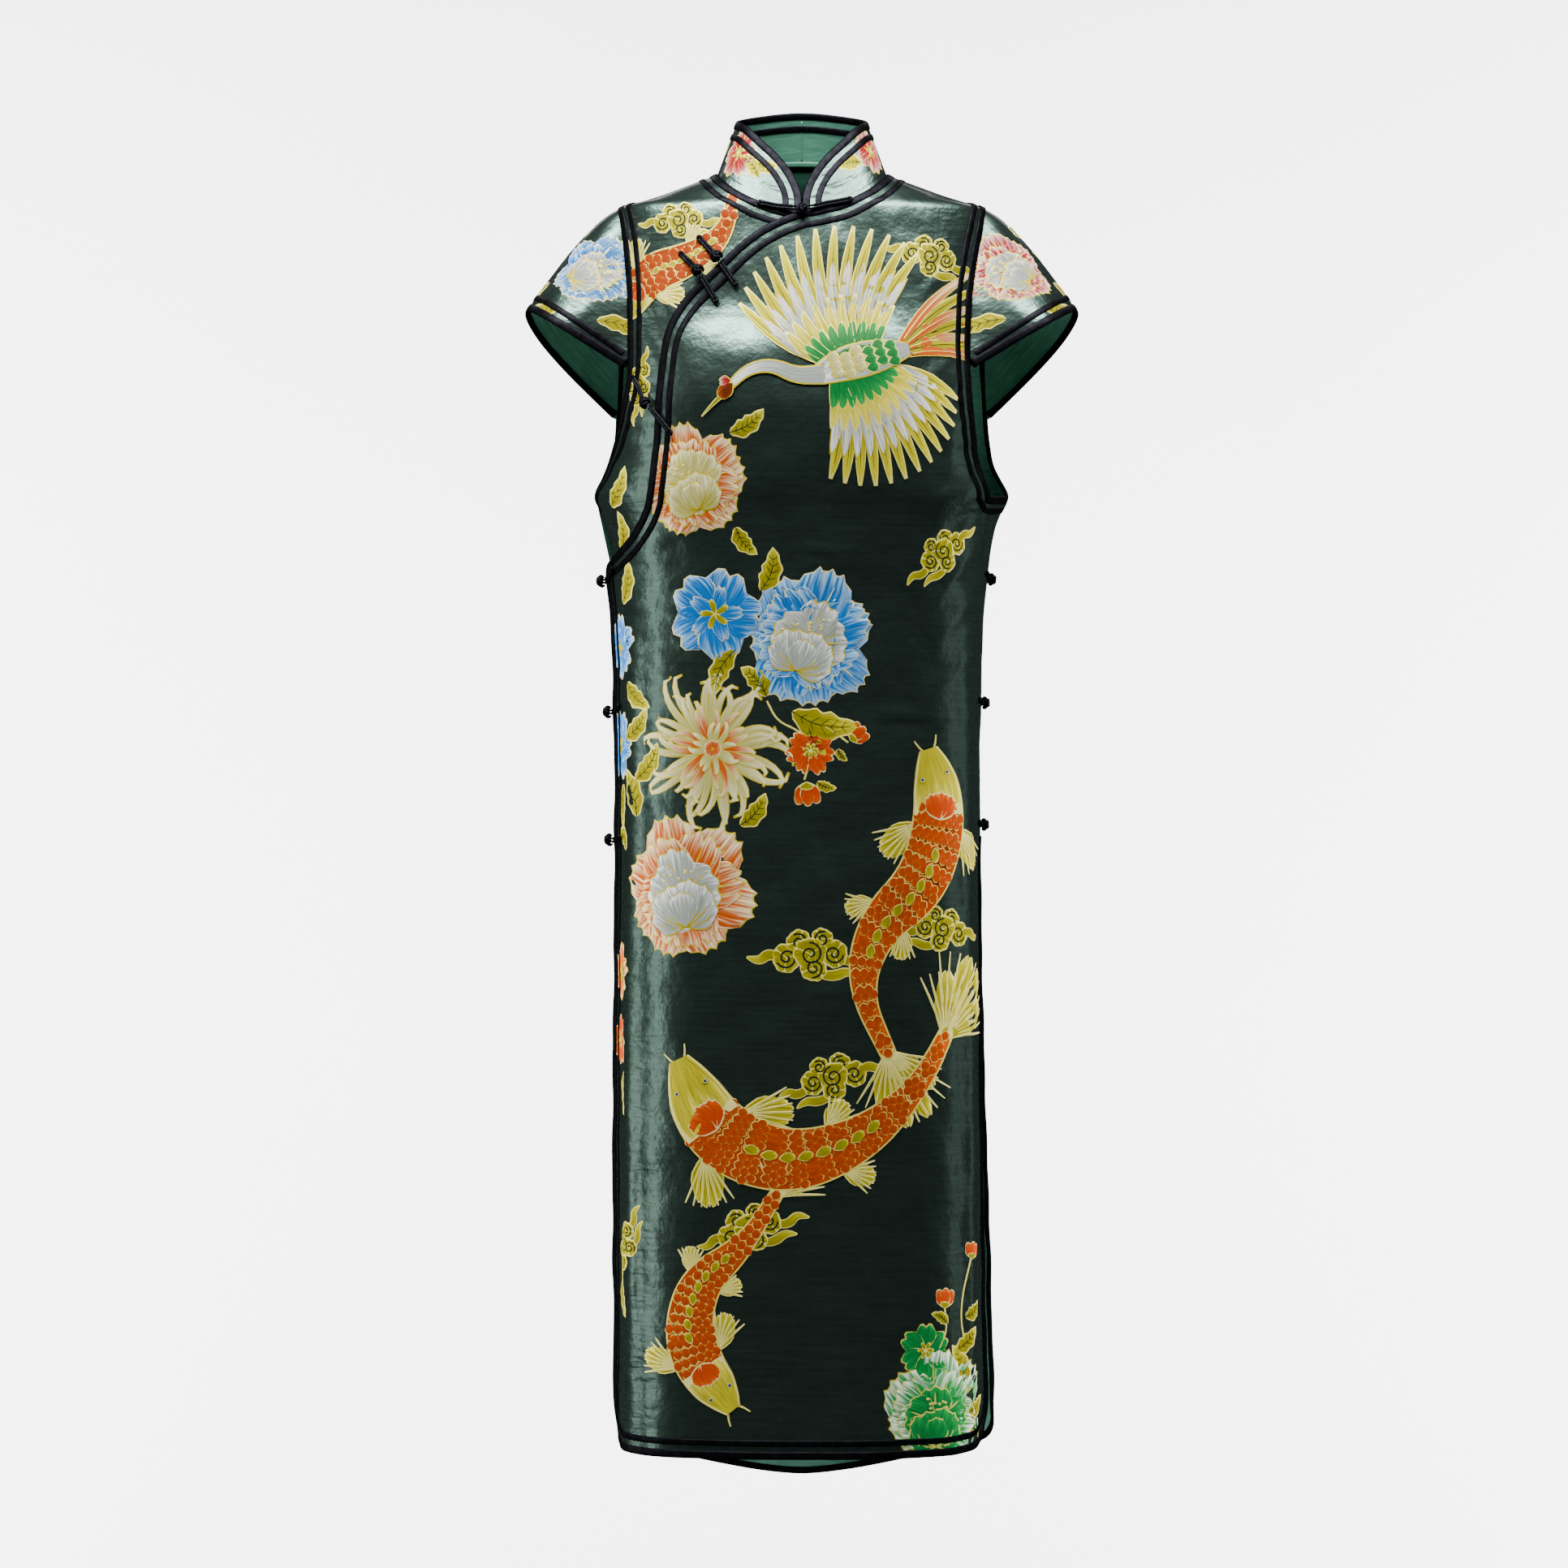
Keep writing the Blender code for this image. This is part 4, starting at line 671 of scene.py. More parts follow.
def moved_in(surface, line, distance, unit=QUARTER):
    """A chart line moved along the cloth to its left, by a true distance."""
    chart = np.array(line, float)
    points = surface(chart[:, 0], chart[:, 1])
    outs = normals(surface, chart[:, 0], chart[:, 1], unit)
    inward = directions(np.cross(outs, np.gradient(points, axis=0)))
    return carried(surface, chart, inward * distance, unit, 4)


def flap_outlines():
    edge = -1 + TINY_TURN
    tail_level = float(np.interp(FLAP_TAIL, *zip(*sorted(neck_front()))))
    neck = [(FLAP_TAIL, tail_level), *[(-t, z) for t, z in neck_front()[::-1]], (edge, 0.0)]
    lapel = [(0.0, FLAP_NECK_LEVEL), *[p for p in lapel_line() if p[1] < FLAP_LAPEL_TOP], (-1.0, LAPEL_END)]
    hidden = [tuple(p) for p in moved_in(round_body, lapel, UNDERLAP)[1:] if p[0] > edge]
    armhole = [(edge, SHOULDER_DROP), *[(-t, z) for t, z in armhole_line("right_front")], (edge, UNDERARM)]
    neck, armhole = even(neck), even(armhole)
    hidden = even([(edge, FLAP_END), *hidden[::-1], (FLAP_TAIL, FLAP_TAIL_LEVEL)])
    outline = neck + [(edge, SHOULDER_MIDDLE)] + armhole + [(edge, FLAP_SIDE_LEVEL)] + hidden
    return outline, {"neck": neck, "armhole": armhole}


flap_outline, flap_bound = flap_outlines()
flap, flap_ground = sew("small_front", body, flap_outline, flat_plan(0.0))
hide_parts("under_flap")

# The big front: cut in one with its lapel, from the left shoulder to the hem. It lies over the small front,
# and its right edge, down the side, is held by the knot buttons and stands out a little.
LAYER_LIFT = 3.0
LAYER_START = 0.45
LAYER_EASE = 0.3
FLANGE_RISE = 40.0
FLANGE_EASE = 60.0
FLANGE_OUT = 6.0
FLANGE_FORWARD = 8.0
FLANGE_TURN = 0.10
HEM_CORNER_WIDE = 85.0
HEM_CORNER_HIGH = 42.0
LEFT_SLIT = ((-1400, 0.975), (-1150, 0.95), (-900, 0.93), (-740, 0.945), (-652, 0.96))


def front_cloth(turn, level):
    """The big front: raised over the small front, with its free right edge turned out."""
    turn, level = np.broadcast_arrays(np.asarray(turn, float), np.asarray(level, float))
    lift = LAYER_LIFT * smooth((LAYER_START - turn) / LAYER_EASE) + crease_height(turn, level)
    points = round_body(turn, level) + normals(round_body, turn, level) * lift[..., None]
    below_lapel = smooth((LAPEL_END + FLANGE_RISE - level) / FLANGE_EASE)
    flange = np.clip((-1 + FLANGE_TURN - turn) / FLANGE_TURN, 0, 1) ** 2 * below_lapel
    points[..., 0] -= FLANGE_OUT * flange
    points[..., 1] -= FLANGE_FORWARD * flange
    return points


def front_outlines():
    edge, right = 1 - TINY_TURN, -1.0
    slit = float(np.interp(FRONT_HEM, *zip(*LEFT_SLIT)))
    across, level = HEM_CORNER_WIDE / QUARTER, FRONT_HEM + HEM_CORNER_HIGH
    low_right = corner((right + across, level), HEM_CORNER_WIDE, HEM_CORNER_HIGH, 180, 270)
    low_left = corner((slit - across, level), HEM_CORNER_WIDE, HEM_CORNER_HIGH, 270, 360)
    slit_edge = [(turn, level) for level, turn in LEFT_SLIT[1:-1]]
    top = (left_seam(SLIT_TOP) - TINY_TURN, SLIT_TOP)
    bound = [(edge, 0.0), *neck_front(), *lapel_line(), (right, LAPEL_END), *low_right, *low_left]
    bound += [*slit_edge, top]
    arm_end = (left_seam(UNDERARM) - TINY_TURN, UNDERARM)
    armhole = [arm_end, *armhole_line("left_front")[::-1], (edge, SHOULDER_DROP)]
    seam = [(left_seam(z) - TINY_TURN, z) for z in LEFT_SEAM_LEVELS[::-1]]
    bound, armhole = even(bound), even(armhole)
    return bound + seam + armhole + [(edge, SHOULDER_MIDDLE)], {"edge": bound, "armhole": armhole}


front_outline, front_bound = front_outlines()
front, front_ground = sew("big_front", front_cloth, front_outline, flat_plan(0.0))
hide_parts("front_panel")

# The cap sleeves: a short cap of the same satin, set into the upper part of each armhole and standing out
# over the shoulder. Its hem slants from a point above the arm down to the armhole in front and behind.
SLEEVE_TIP_REACH = 271.0
SLEEVE_TIP_DROP = -133.0
SLEEVE_TIP_BACK = 4.0
SLEEVE_FRONT_END = -196.0
SLEEVE_BACK_END = -238.0
SLEEVE_END_LENGTH = 2.0
SLEEVE_BULGE = 14.0
SLEEVE_SAG = 6.3
SLEEVE_SPREAD = 1.35
SLEEVE_POINT = 0.85
ARM_LEVEL = -150.0
ARM_INSIDE = 20.0
CREST_ROUND = 0.08
CREST_EXTRA = 0.03
CREST_INWARD = 0.29
SLEEVE_TUCK = 0.5
SLEEVE_STEPS = 130
SLEEVE_ROWS = 27
SLEEVE_SEARCH = 801
INSIDE_ARMHOLE = (120.0, 0.0, -250.0)
# Place round the hem, height and width of each crease, which slants by its lean towards the seam
SLEEVE_CREASE_LEAN = 8
SLEEVE_CREASES = (
    (-62, 0.9, 5.0),
    (-44, -0.8, 6.0),
    (-28, 0.6, 7.0),
    (6, 0.5, 8.0),
    (30, -0.7, 6.0),
    (48, 0.9, 5.0),
    (66, -0.8, 6.0),
)


def armhole_seam(side):
    """The sleeve's seam on its armhole, as a function from -1 at its front end to 1 at its back end."""
    ahead = "left_front" if side > 0 else "right_front"

    def place(t):
        drop = np.where(t < 0, SLEEVE_FRONT_END, SLEEVE_BACK_END) - SHOULDER_DROP
        level = SHOULDER_DROP + drop * np.abs(t) ** SLEEVE_SPREAD
        reach = np.where(t < 0, armhole_reach(ahead, level), armhole_reach("back", level))
        half, forward, back, square = ring(level)
        depth = np.where(t < 0, -forward, back)
        share = np.clip(1 - np.minimum(reach / half, 1.0) ** square, 0, 1) ** (1 / square)
        share = np.where(np.abs(t) < 1e-6, 0.0, share)
        return np.stack((reach, depth * share, level), axis=-1)

    return place


def sleeve_hem(seam, t):
    """The free edge, from its front end over the tip to its back end, which sags lower."""
    end = seam(np.where(t < 0, -1.0, 1.0))
    bend = np.abs(t) * math.pi / 2
    x_end = end[..., 0] + SLEEVE_END_LENGTH
    x = x_end + (SLEEVE_TIP_REACH - x_end) * np.clip(np.cos(bend), 0.0, 1.0) ** SLEEVE_POINT
    down = (SLEEVE_TIP_REACH - x) / (SLEEVE_TIP_REACH - x_end)
    y = SLEEVE_TIP_BACK + (end[..., 1] - SLEEVE_TIP_BACK) * np.sin(bend)
    y += np.sign(t) * SLEEVE_BULGE * np.sin(2 * bend) ** 2
    z = SLEEVE_TIP_DROP + (end[..., 2] - SLEEVE_TIP_DROP) * down
    fall = np.where(t > 0, SLEEVE_SAG * np.clip(np.sin(2 * bend), 0, 1) ** 0.8, 0.0)
    return np.stack((x + fall, y, z - fall), axis=-1)


def sleeve_cloth(side):
    """The cap sleeve of one side, 1 left and -1 right, on a chart of its own.

    Round runs from -100 to 100 along the hem, and rise from 0 at the hem to 100 at the seam.
    """
    seam_place = armhole_seam(side)

    def surface(round_, rise):
        round_, rise = np.broadcast_arrays(np.asarray(round_, float), np.asarray(rise, float))
        t = np.clip(side * round_ / 100.0, -1.0, 1.0)
        seam, hem = seam_place(t), sleeve_hem(seam_place, t)
        run = seam - hem
        length = np.linalg.norm(run, axis=-1, keepdims=True)
        run = run / length
        middle = (seam + hem) / 2
        arm = np.array([0.0, SLEEVE_TIP_BACK, ARM_LEVEL]) + (middle - ARM_INSIDE) * np.array([1.0, 0.0, 0.0])
        lift = middle - arm
        lift = directions(lift - (lift * run).sum(axis=-1, keepdims=True) * run)
        crest = np.clip(np.cos(t * math.pi / 2), 0.0, 1.0)[..., None] ** 2
        pull = middle + length * (lift * (CREST_ROUND + CREST_EXTRA * crest) + run * CREST_INWARD * crest)
        w = rise[..., None] / 100.0
        points = (1 - w) ** 2 * hem + 2 * w * (1 - w) * pull + w * w * seam
        height = np.zeros_like(t)
        for place, high, wide in SLEEVE_CREASES:
            lean = SLEEVE_CREASE_LEAN * w[..., 0]
            height += high * np.exp(-(((side * round_ - place - lean) / wide) ** 2))
        height *= np.sin(np.clip(rise / 100, 0, 1) * math.pi) * np.clip(length[..., 0] / 40, 0, 1)
        points = points + lift * (height[..., None] - w * SLEEVE_TUCK)
        return points * np.array([side, 1.0, 1.0])

    return surface


def even_rounds(cloth):
    """Places round a sleeve's hem in even steps."""
    rounds = np.linspace(-100, 100, SLEEVE_SEARCH)
    run = lengths(cloth(rounds, np.zeros(SLEEVE_SEARCH)))
    return np.interp(np.linspace(0, run[-1], SLEEVE_STEPS), run, rounds)


sleeves = {}
for side_name, side in (("left", 1), ("right", -1)):
    cloth = sleeve_cloth(side)
    rounds = even_rounds(cloth)
    rises = np.linspace(0, 100, SLEEVE_ROWS)
    around, up = (part.ravel() for part in np.meshgrid(rounds, rises, indexing="ij"))
    points, outs = cloth(around, up), normals(cloth, around, up, 1.0)
    rows = points.reshape(SLEEVE_STEPS, SLEEVE_ROWS, 3)
    runs = np.array([lengths(row) for row in rows])
    across = np.repeat(lengths(rows[:, 0])[:, None], SLEEVE_ROWS, axis=1)
    across = (across - across[-1] / 2) * side
    plan = np.stack((across, runs), axis=-1).reshape(-1, 2)
    first = (np.arange(SLEEVE_STEPS - 1)[:, None] * SLEEVE_ROWS + np.arange(SLEEVE_ROWS - 1)).ravel()
    quads = np.stack((first, first + SLEEVE_ROWS, first + SLEEVE_ROWS + 1, first + 1), axis=-1)
    faces = np.concatenate((quads[:, :3], quads[:, [0, 2, 3]]))
    outs *= np.sign((outs * (points - np.array(INSIDE_ARMHOLE) * (side, 1, 1))).sum())
    piece, ground = shell(f"{side_name}_cap_sleeve", points, outs, faces, plan)
    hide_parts(f"sleeve_{side_name}")
    sleeves[side_name] = (cloth, rounds, ground)

# The standing collar: stiffened satin, lined in the green silk, with round front ends that meet at the
# throat. It is sewn to the neck seam and leans in a little towards its top.
COLLAR_HEIGHT = 54.0
COLLAR_RISE = 51.5
COLLAR_TOP_HALF = 65.0
COLLAR_TOP_FRONT = 50.0
COLLAR_TOP_BACK = 46.0
COLLAR_ROUND = 70.0
COLLAR_ROUND_POWER = 2.6
COLLAR_GAP = 0.7
COLLAR_START = 0.9
COLLAR_FOOT = 0.8
NECK_DEPTH = 60.0
NECK_RUN_STEPS = 400
COLLAR_END_STEPS = 60


def along(points, share):
    """Points at these shares of a line's length."""
    run = lengths(points)
    return np.stack([np.interp(np.asarray(share) * run[-1], run, points[:, k]) for k in range(3)], axis=-1)


def neckline():
    """The neck seam all round, from the centre front over the left shoulder and back to the front."""
    half = np.array(neck_front()[::-1] + [(1.0, 0.0)] + neck_back())
    points = round_body(half[:, 0], half[:, 1])
    mirrored = points[::-1][1:] * np.array([-1.0, 1.0, 1.0])
    return along(np.concatenate((points, mirrored)), np.linspace(0, 1, NECK_RUN_STEPS))


NECK_RUN = neckline()
NECK_LENGTH = float(lengths(NECK_RUN)[-1])


def collar_cloth(run, height):
    """The standing collar. Run is the length along the neck seam, height is up the collar."""
    run, height = np.broadcast_arrays(np.asarray(run, float), np.asarray(height, float))
    base = along(NECK_RUN, np.clip(run / NECK_LENGTH, 0, 1))
    bearing = np.arctan2(base[..., 0] / NECK_HALF, -base[..., 1] / NECK_DEPTH)
    depth = np.where(np.cos(bearing) > 0, COLLAR_TOP_FRONT, COLLAR_TOP_BACK)
    top = (COLLAR_TOP_HALF * np.sin(bearing), -depth * np.cos(bearing), base[..., 2] + COLLAR_RISE)
    outward = directions(base * np.array([1.0, 1.0, 0.0]))
    share = (height / COLLAR_HEIGHT)[..., None]
    return base - outward * COLLAR_GAP + (np.stack(top, axis=-1) - base) * share


def collar_edge(run):
    """Height of the collar where the front ends are rounded down to the neck seam."""
    inside_end = min(run, NECK_LENGTH - run)
    if inside_end >= COLLAR_ROUND:
        return COLLAR_HEIGHT
    fall = (1 - inside_end / COLLAR_ROUND) ** COLLAR_ROUND_POWER
    return COLLAR_HEIGHT * (1 - fall) ** (1 / COLLAR_ROUND_POWER)


def collar_plan(run, height):
    """How the collar lies flat, measured from its centre back."""
    return np.stack((run - NECK_LENGTH / 2, height), axis=-1)


end_shares = [(k / COLLAR_END_STEPS) ** 2 for k in range(COLLAR_END_STEPS + 1)]
end_runs = [COLLAR_START + (COLLAR_ROUND - COLLAR_START) * share for share in end_shares]
collar_runs = end_runs + [NECK_LENGTH - r for r in end_runs[::-1]]
collar_top = [(COLLAR_START, COLLAR_FOOT), *[(r, collar_edge(r)) for r in collar_runs]]
collar_top = even([*collar_top, (NECK_LENGTH - COLLAR_START, COLLAR_FOOT)][::-1], 2.5, 1.0, 1)
collar_base = even([collar_top[-1], collar_top[0]], 4.0, 1.0)[1:-1]
collar, collar_ground = sew("standing_collar", collar_cloth, collar_top + collar_base, collar_plan, 1.0, 3.5)
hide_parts("collar")

# The outer bindings: bias strips of black satin folded over every edge of the cloth and slip-stitched, 7 mm
# wide on the face. Each has a soft, full edge, and wraps round to the lining.
# Across the binding, from its inner edge on the face, round the cloth's edge, to the lining and back inside
# the fold: how far from the cloth's edge, and how high over its face.
BIND_PROFILE = (
    (7.0, 0.05),
    (7.1, 0.55),
    (6.3, 1.05),
    (4.6, 1.3),
    (2.4, 1.4),
    (0.6, 1.25),
    (-0.6, 0.6),
    (-0.9, -0.5),
    (-0.6, -1.6),
    (0.6, -2.1),
    (3.0, -2.1),
    (5.6, -1.8),
    (5.9, -1.3),
    (0.0, -1.28),
    (-0.25, -0.6),
    (0.0, 0.05),
)
TRIM_STEP = 4.0
COLLAR_TRIM_STEP = 2.5
SLEEVE_TRIM_STEP = 1.6
SLEEVE_BOUND = 99.5


def black_satin():
    """Bias-cut black satin: close to black, with a soft line of sheen along the fold."""
    material, tree, shader = new_material("silk_satin_black")
    place = add(tree, "TexCoord")
    # The cloth between two slip stitches, 6 mm apart, puckers slightly
    pucker = add(tree, "TexNoise", [(place.outputs["Object"], 0)], Scale=160.0, Detail=2.0)
    tint = add(tree, "ValToRGB", [(pucker.outputs[0], 0)], ((0.35, "131316"), (0.75, "1f1f24")))
    tree.links.new(tint.outputs[0], shader.inputs["Base Color"])
    bump = add(tree, "Bump", [(pucker.outputs[0], "Height")], Strength=0.45, Distance=0.0006)
    # Its threads are drawn at 1.1 mm, coarser than the real 0.1 mm so that they show
    grain = add(tree, "TexNoise", [(place.outputs["Object"], 0)], Scale=900.0, Detail=2.0)
    under = (bump.outputs[0], "Normal")
    fine = add(tree, "Bump", [(grain.outputs[0], "Height"), under], Strength=0.3, Distance=0.0001)
    tree.links.new(fine.outputs[0], shader.inputs["Normal"])
    shader.inputs["Metallic"].default_value = 0.9
    shader.inputs["Specular Tint"].default_value = colour("1c1c20")
    shader.inputs["Roughness"].default_value = 0.48
    shader.inputs["Specular IOR Level"].default_value = 0.1
    return material


BLACK = black_satin()


def swept(rows, closed):
    """Points and faces of a strip swept through rows of profile points, capped at its ends if it is open."""
    rows = np.array(rows)
    count, around = rows.shape[:2]
    last = count if closed else count - 1
    faces = []
    for k in range(last):
        a, b = k * around, (k + 1) % count * around
        for j in range(around):
            n = (j + 1) % around
            faces.append((a + j, a + n, b + n, b + j))
    if not closed:
        faces += [tuple(range(around)), tuple(range((count - 1) * around, count * around))[::-1]]
    return rows.reshape(-1, 3), faces


def ahead_of(points, closed=False):
    """How a line runs on at each of its points."""
    if closed:
        return np.roll(points, -1, axis=0) - np.roll(points, 1, axis=0)
    return np.gradient(points, axis=0)


def profile_rows(surface, line, profile, unit, closed):
    """The profile's points along a chart line; positive distances are to the line's left on the cloth."""
    line = np.array(line, float)
    points, out = surface(*line.T), normals(surface, *line.T, unit)
    inward = directions(np.cross(out, ahead_of(points, closed)))
    reach = max(d for d, _ in profile)
    chart = carried(surface, line, inward * reach, unit, 3)
    far, far_out = surface(*chart.T), normals(surface, *chart.T, unit)
    columns = []
    for distance, height in profile:
        share = min(max(distance / reach, 0.0), 1.0)
        place = points + (far - points) * share + inward * min(distance, 0.0)
        columns.append(place + (out + (far_out - out) * share) * height)
    return np.stack(columns, axis=1)


def strip(name, surface, line, profile, material, unit=QUARTER, closed=False, step=TRIM_STEP):
    """A piece of one profile along a chart line of the cloth."""
    whole = lengths(np.array(line) * (unit, 1.0))[-1]
    line = even(line, whole / max(2, round(whole / step)), unit, 1)
    if closed:
        line = line[:-1]
    points, faces = swept(profile_rows(surface, line, profile, unit, closed), closed)
    return turn_out(make_piece(name, points, faces, [material]))


def turn_out(piece):
    """The piece with every face pointing outwards."""
    bpy.ops.object.select_all(action="DESELECT")
    bpy.context.view_layer.objects.active = piece
    piece.select_set(True)
    bpy.ops.object.mode_set(mode="EDIT")
    bpy.ops.mesh.select_all(action="SELECT")
    bpy.ops.mesh.normals_make_consistent(inside=False)
    bpy.ops.object.mode_set(mode="OBJECT")
    piece.select_set(False)
    return piece


def bind(name, node, surface, line, profile=BIND_PROFILE, unit=QUARTER, closed=False, step=TRIM_STEP):
    """A trim along a chart line of the cloth, standing for a CAD node."""
    piece = strip(name, surface, line, profile, BLACK, unit, closed, step)
    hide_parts(node)
    return piece


def armhole_loop(front_line, back_line, shift):
    """One closed line round an armhole, on the body's own chart, from the underarm up the front."""
    return [*front_line, *[(t - shift, z) for t, z in back_line[1:]]]


left_loop = armhole_loop(front_bound["armhole"], back_bound["arm_left"], 0)
right_loop = armhole_loop(flap_bound["armhole"][::-1], back_bound["arm_right"][::-1], 4)[::-1]
TRIMMED = (
    ("front", "front_edge", front_cloth, front_bound["edge"], False),
    ("back", "back_edge", body, back_bound["edge"], False),
    ("back_neck", "back_neck", body, back_bound["neck"], False),
    ("small_front_neck", "flap_neck", body, flap_bound["neck"], False),
    ("left_armhole", "left_armhole", body, left_loop, True),
    ("right_armhole", "right_armhole", body, right_loop, True),
)
for name, node, cloth, line, closed in TRIMMED:
    bind(f"{name}_binding", f"binding_{node}", cloth, line, closed=closed)
bind("collar_binding", "binding_collar", collar_cloth, collar_top, unit=1.0, step=COLLAR_TRIM_STEP)
for side_name, (cloth, rounds, _) in sleeves.items():
    name, node = f"{side_name}_sleeve_binding", f"binding_{side_name}_sleeve"
    line = [(r, 0.0) for r in rounds if abs(r) < SLEEVE_BOUND]
    bind(name, node, cloth, line, unit=1.0, step=SLEEVE_TRIM_STEP)

# The inner bands: a second, narrower strip of the same black satin, laid flat 5 mm inside each binding and
# stitched down both sides.
PIPE_MIDDLE = 15.0
# Across the band: how far from its middle, and how high over the cloth
PIPE_PROFILE = (
    (-3.0, 0.05),
    (-3.1, 0.5),
    (-2.3, 0.95),
    (-1.0, 1.1),
    (1.0, 1.1),
    (2.3, 0.95),
    (3.1, 0.5),
    (3.0, 0.05),
)
CORNER_SHARE = 0.86
BAND_STEP = 2.5
# A band leaves out the ends of a sleeve, where there is less cloth than this beside it
BAND_ROOM = 4.0


def band_line(surface, line, unit=QUARTER, distance=PIPE_MIDDLE, closed=False):
    """The middle of an inner band: the edge moved in, without what crosses over at tight corners."""
    edge = surface(*np.array(line).T)
    middle = moved_in(surface, line, distance, unit)
    kept = []
    for point, place in zip(middle, surface(*middle.T)):
        if np.linalg.norm(edge - place, axis=1).min() > CORNER_SHARE * distance:
            kept.append(tuple(point))
    return even(kept + kept[:1] if closed else kept, BAND_STEP, unit, 3)


for name, node, cloth, line, closed in TRIMMED:
    line = band_line(cloth, line, closed=closed)
    bind(f"{name}_band", f"piping_{node}", cloth, line, PIPE_PROFILE, closed=closed)
collar_line = band_line(collar_cloth, collar_top, 1.0)
inside_profile = tuple((d, -WALL - h) for d, h in PIPE_PROFILE)
inside_line = [p for p in collar_line if COLLAR_ROUND < p[0] < NECK_LENGTH - COLLAR_ROUND]
for name, node, line, profile in (
    ("collar_band", "piping_collar", collar_line, PIPE_PROFILE),
    ("collar_inside_band", "piping_collar_inside", inside_line, inside_profile),
):
    bind(name, node, collar_cloth, line, profile, 1.0, step=COLLAR_TRIM_STEP)
rises = np.linspace(0, 100, 101)
for side_name, (cloth, rounds, _) in sleeves.items():
    name, node = f"{side_name}_sleeve_band", f"piping_{side_name}_sleeve"
    line = []
    for r in rounds:
        run = lengths(cloth(np.full_like(rises, r), rises))
        if run[-1] > PIPE_MIDDLE + BAND_ROOM:
            line.append((r, float(np.interp(PIPE_MIDDLE, run, rises))))
    bind(name, node, cloth, line, PIPE_PROFILE, 1.0, step=SLEEVE_TRIM_STEP)

# Inside the collar: a tape of the lining silk over the neck seam, and the lining's pressed seam at the
# centre back, both sewn by hand.
TAPE_PROFILE = ((-0.5, -1.25), (-0.7, -1.6), (0.0, -1.9), (3.4, -1.9), (4.2, -1.6), (4.2, -1.25))
SEAM_PROFILE = ((-0.8, -1.22), (-0.6, -1.55), (0.0, -1.7), (0.6, -1.55), (0.8, -1.22))
TAPE_FOOT = 0.4
SEAM_HEIGHTS = (5.0, 20.0, 35.0, 46.0)
tape_line = [(r, TAPE_FOOT) for r in np.linspace(COLLAR_START, NECK_LENGTH - COLLAR_START, 120)]
seam_line = [(NECK_LENGTH / 2, height) for height in SEAM_HEIGHTS]
for name, line, profile in (
    ("neck_seam_tape", tape_line, TAPE_PROFILE),
    ("collar_lining_seam", seam_line, SEAM_PROFILE),
):
    sewn = strip(name, collar_cloth, line, profile, LINING, 1.0, step=COLLAR_TRIM_STEP)

# The knot buttons: rolled bias cord of black satin. Each half is a doubled cord laid flat with a round
# turned knob at its tail; one half ends in a woven ball and the other in a loop that holds it.
CORD_RADIUS = 1.5
CORD_APART = 1.45
CORD_SIDES = 8
CORD_END = 0.45
KNOB_RADIUS = 3.0
KNOB_SHARE = 0.62
KNOB_RISE = 0.7
KNOB_STEPS = 12
BALL_RADIUS = 3.6
BALL_CORD = 1.35
BALL_STEPS = 84
BALL_TILT = 1.05
BALL_WEAVE = 0.55
BALL_FLAT = 0.85
CORE_RADIUS = 3.1
STEM_GAP = 0.6
NOSE_GAP = 2.2
NOSE_DROP = 0.8
LOOP_GAP = 1.7
LOOP_DROP = 1.6
LOOP_STEPS = 14
FROG_HALF = 31.0
FROG_LEAD = 8.0
FROGS_FRONT = (
    ("frog_neck", (-40.5, -36.5), (0.8, -44.5), (46.0, -33.0)),
    ("frog_chest_upper", (-99.0, -70.5), (-82.4, -91.0), (-65.0, -115.5)),
    ("frog_chest_lower", (-116.5, -86.0), (-99.5, -104.5), (-84.0, -132.0)),
    ("frog_underarm", (-162.0, -206.0), (-146.5, -231.0), (-125.0, -261.0)),
)
FROGS_RIGHT = (
    ("frog_right_upper", -400.0, 11.0),
    ("frog_right_middle", -529.0, 5.0),
    ("frog_right_lower", -655.0, 3.0),
)
FROGS_LEFT = (
    ("frog_left_upper", -398.0, 4.0),
    ("frog_left_middle", -520.0, 2.0),
    ("frog_left_lower", -640.0, 2.0),
)


def rolled_cord():
    """Rolled satin cord: the bias fold twists round it, so the sheen breaks into short diagonal lines."""
    material, tree, shader = new_material("silk_cord_black")
    place = add(tree, "TexCoord")
    # The fold comes round every 2.4 mm along the cord
    look = {"bands_direction": "DIAGONAL", "Scale": 260.0, "Distortion": 1.5}
    twist = add(tree, "TexWave", [(place.outputs["Object"], 0)], **look)
    bump = add(tree, "Bump", [(twist.outputs["Fac"], "Height")], Strength=0.35, Distance=0.0002)
    tree.links.new(bump.outputs[0], shader.inputs["Normal"])
    shader.inputs["Base Color"].default_value = colour("1a1a1e")
    shader.inputs["Metallic"].default_value = 0.85
    shader.inputs["Specular Tint"].default_value = colour("26262b")
    shader.inputs["Roughness"].default_value = 0.4
    shader.inputs["Specular IOR Level"].default_value = 0.15
    return material


CORD = rolled_cord()


def tube(track, radius, closed=False, around=CORD_SIDES):
    """A round cord along points, with its ends drawn in."""
    track = np.array(track, float)
    ahead = directions(ahead_of(track, closed))
    side = np.cross(ahead[0], (0.31, 0.52, 0.80))
    rows = []
    radii = np.full(len(track), float(radius))
    if not closed:
        radii[0] = radii[-1] = CORD_END * radius
    for centre, way, size in zip(track, ahead, radii):
        side = side - (side @ way) * way
        side /= np.linalg.norm(side)
        up = np.cross(way, side)
        angles = [2 * math.pi * j / around for j in range(around)]
        rows.append([centre + size * (side * math.cos(a) + up * math.sin(a)) for a in angles])
    points, faces = swept(rows, closed)
    return points, [f[::-1] for f in faces]


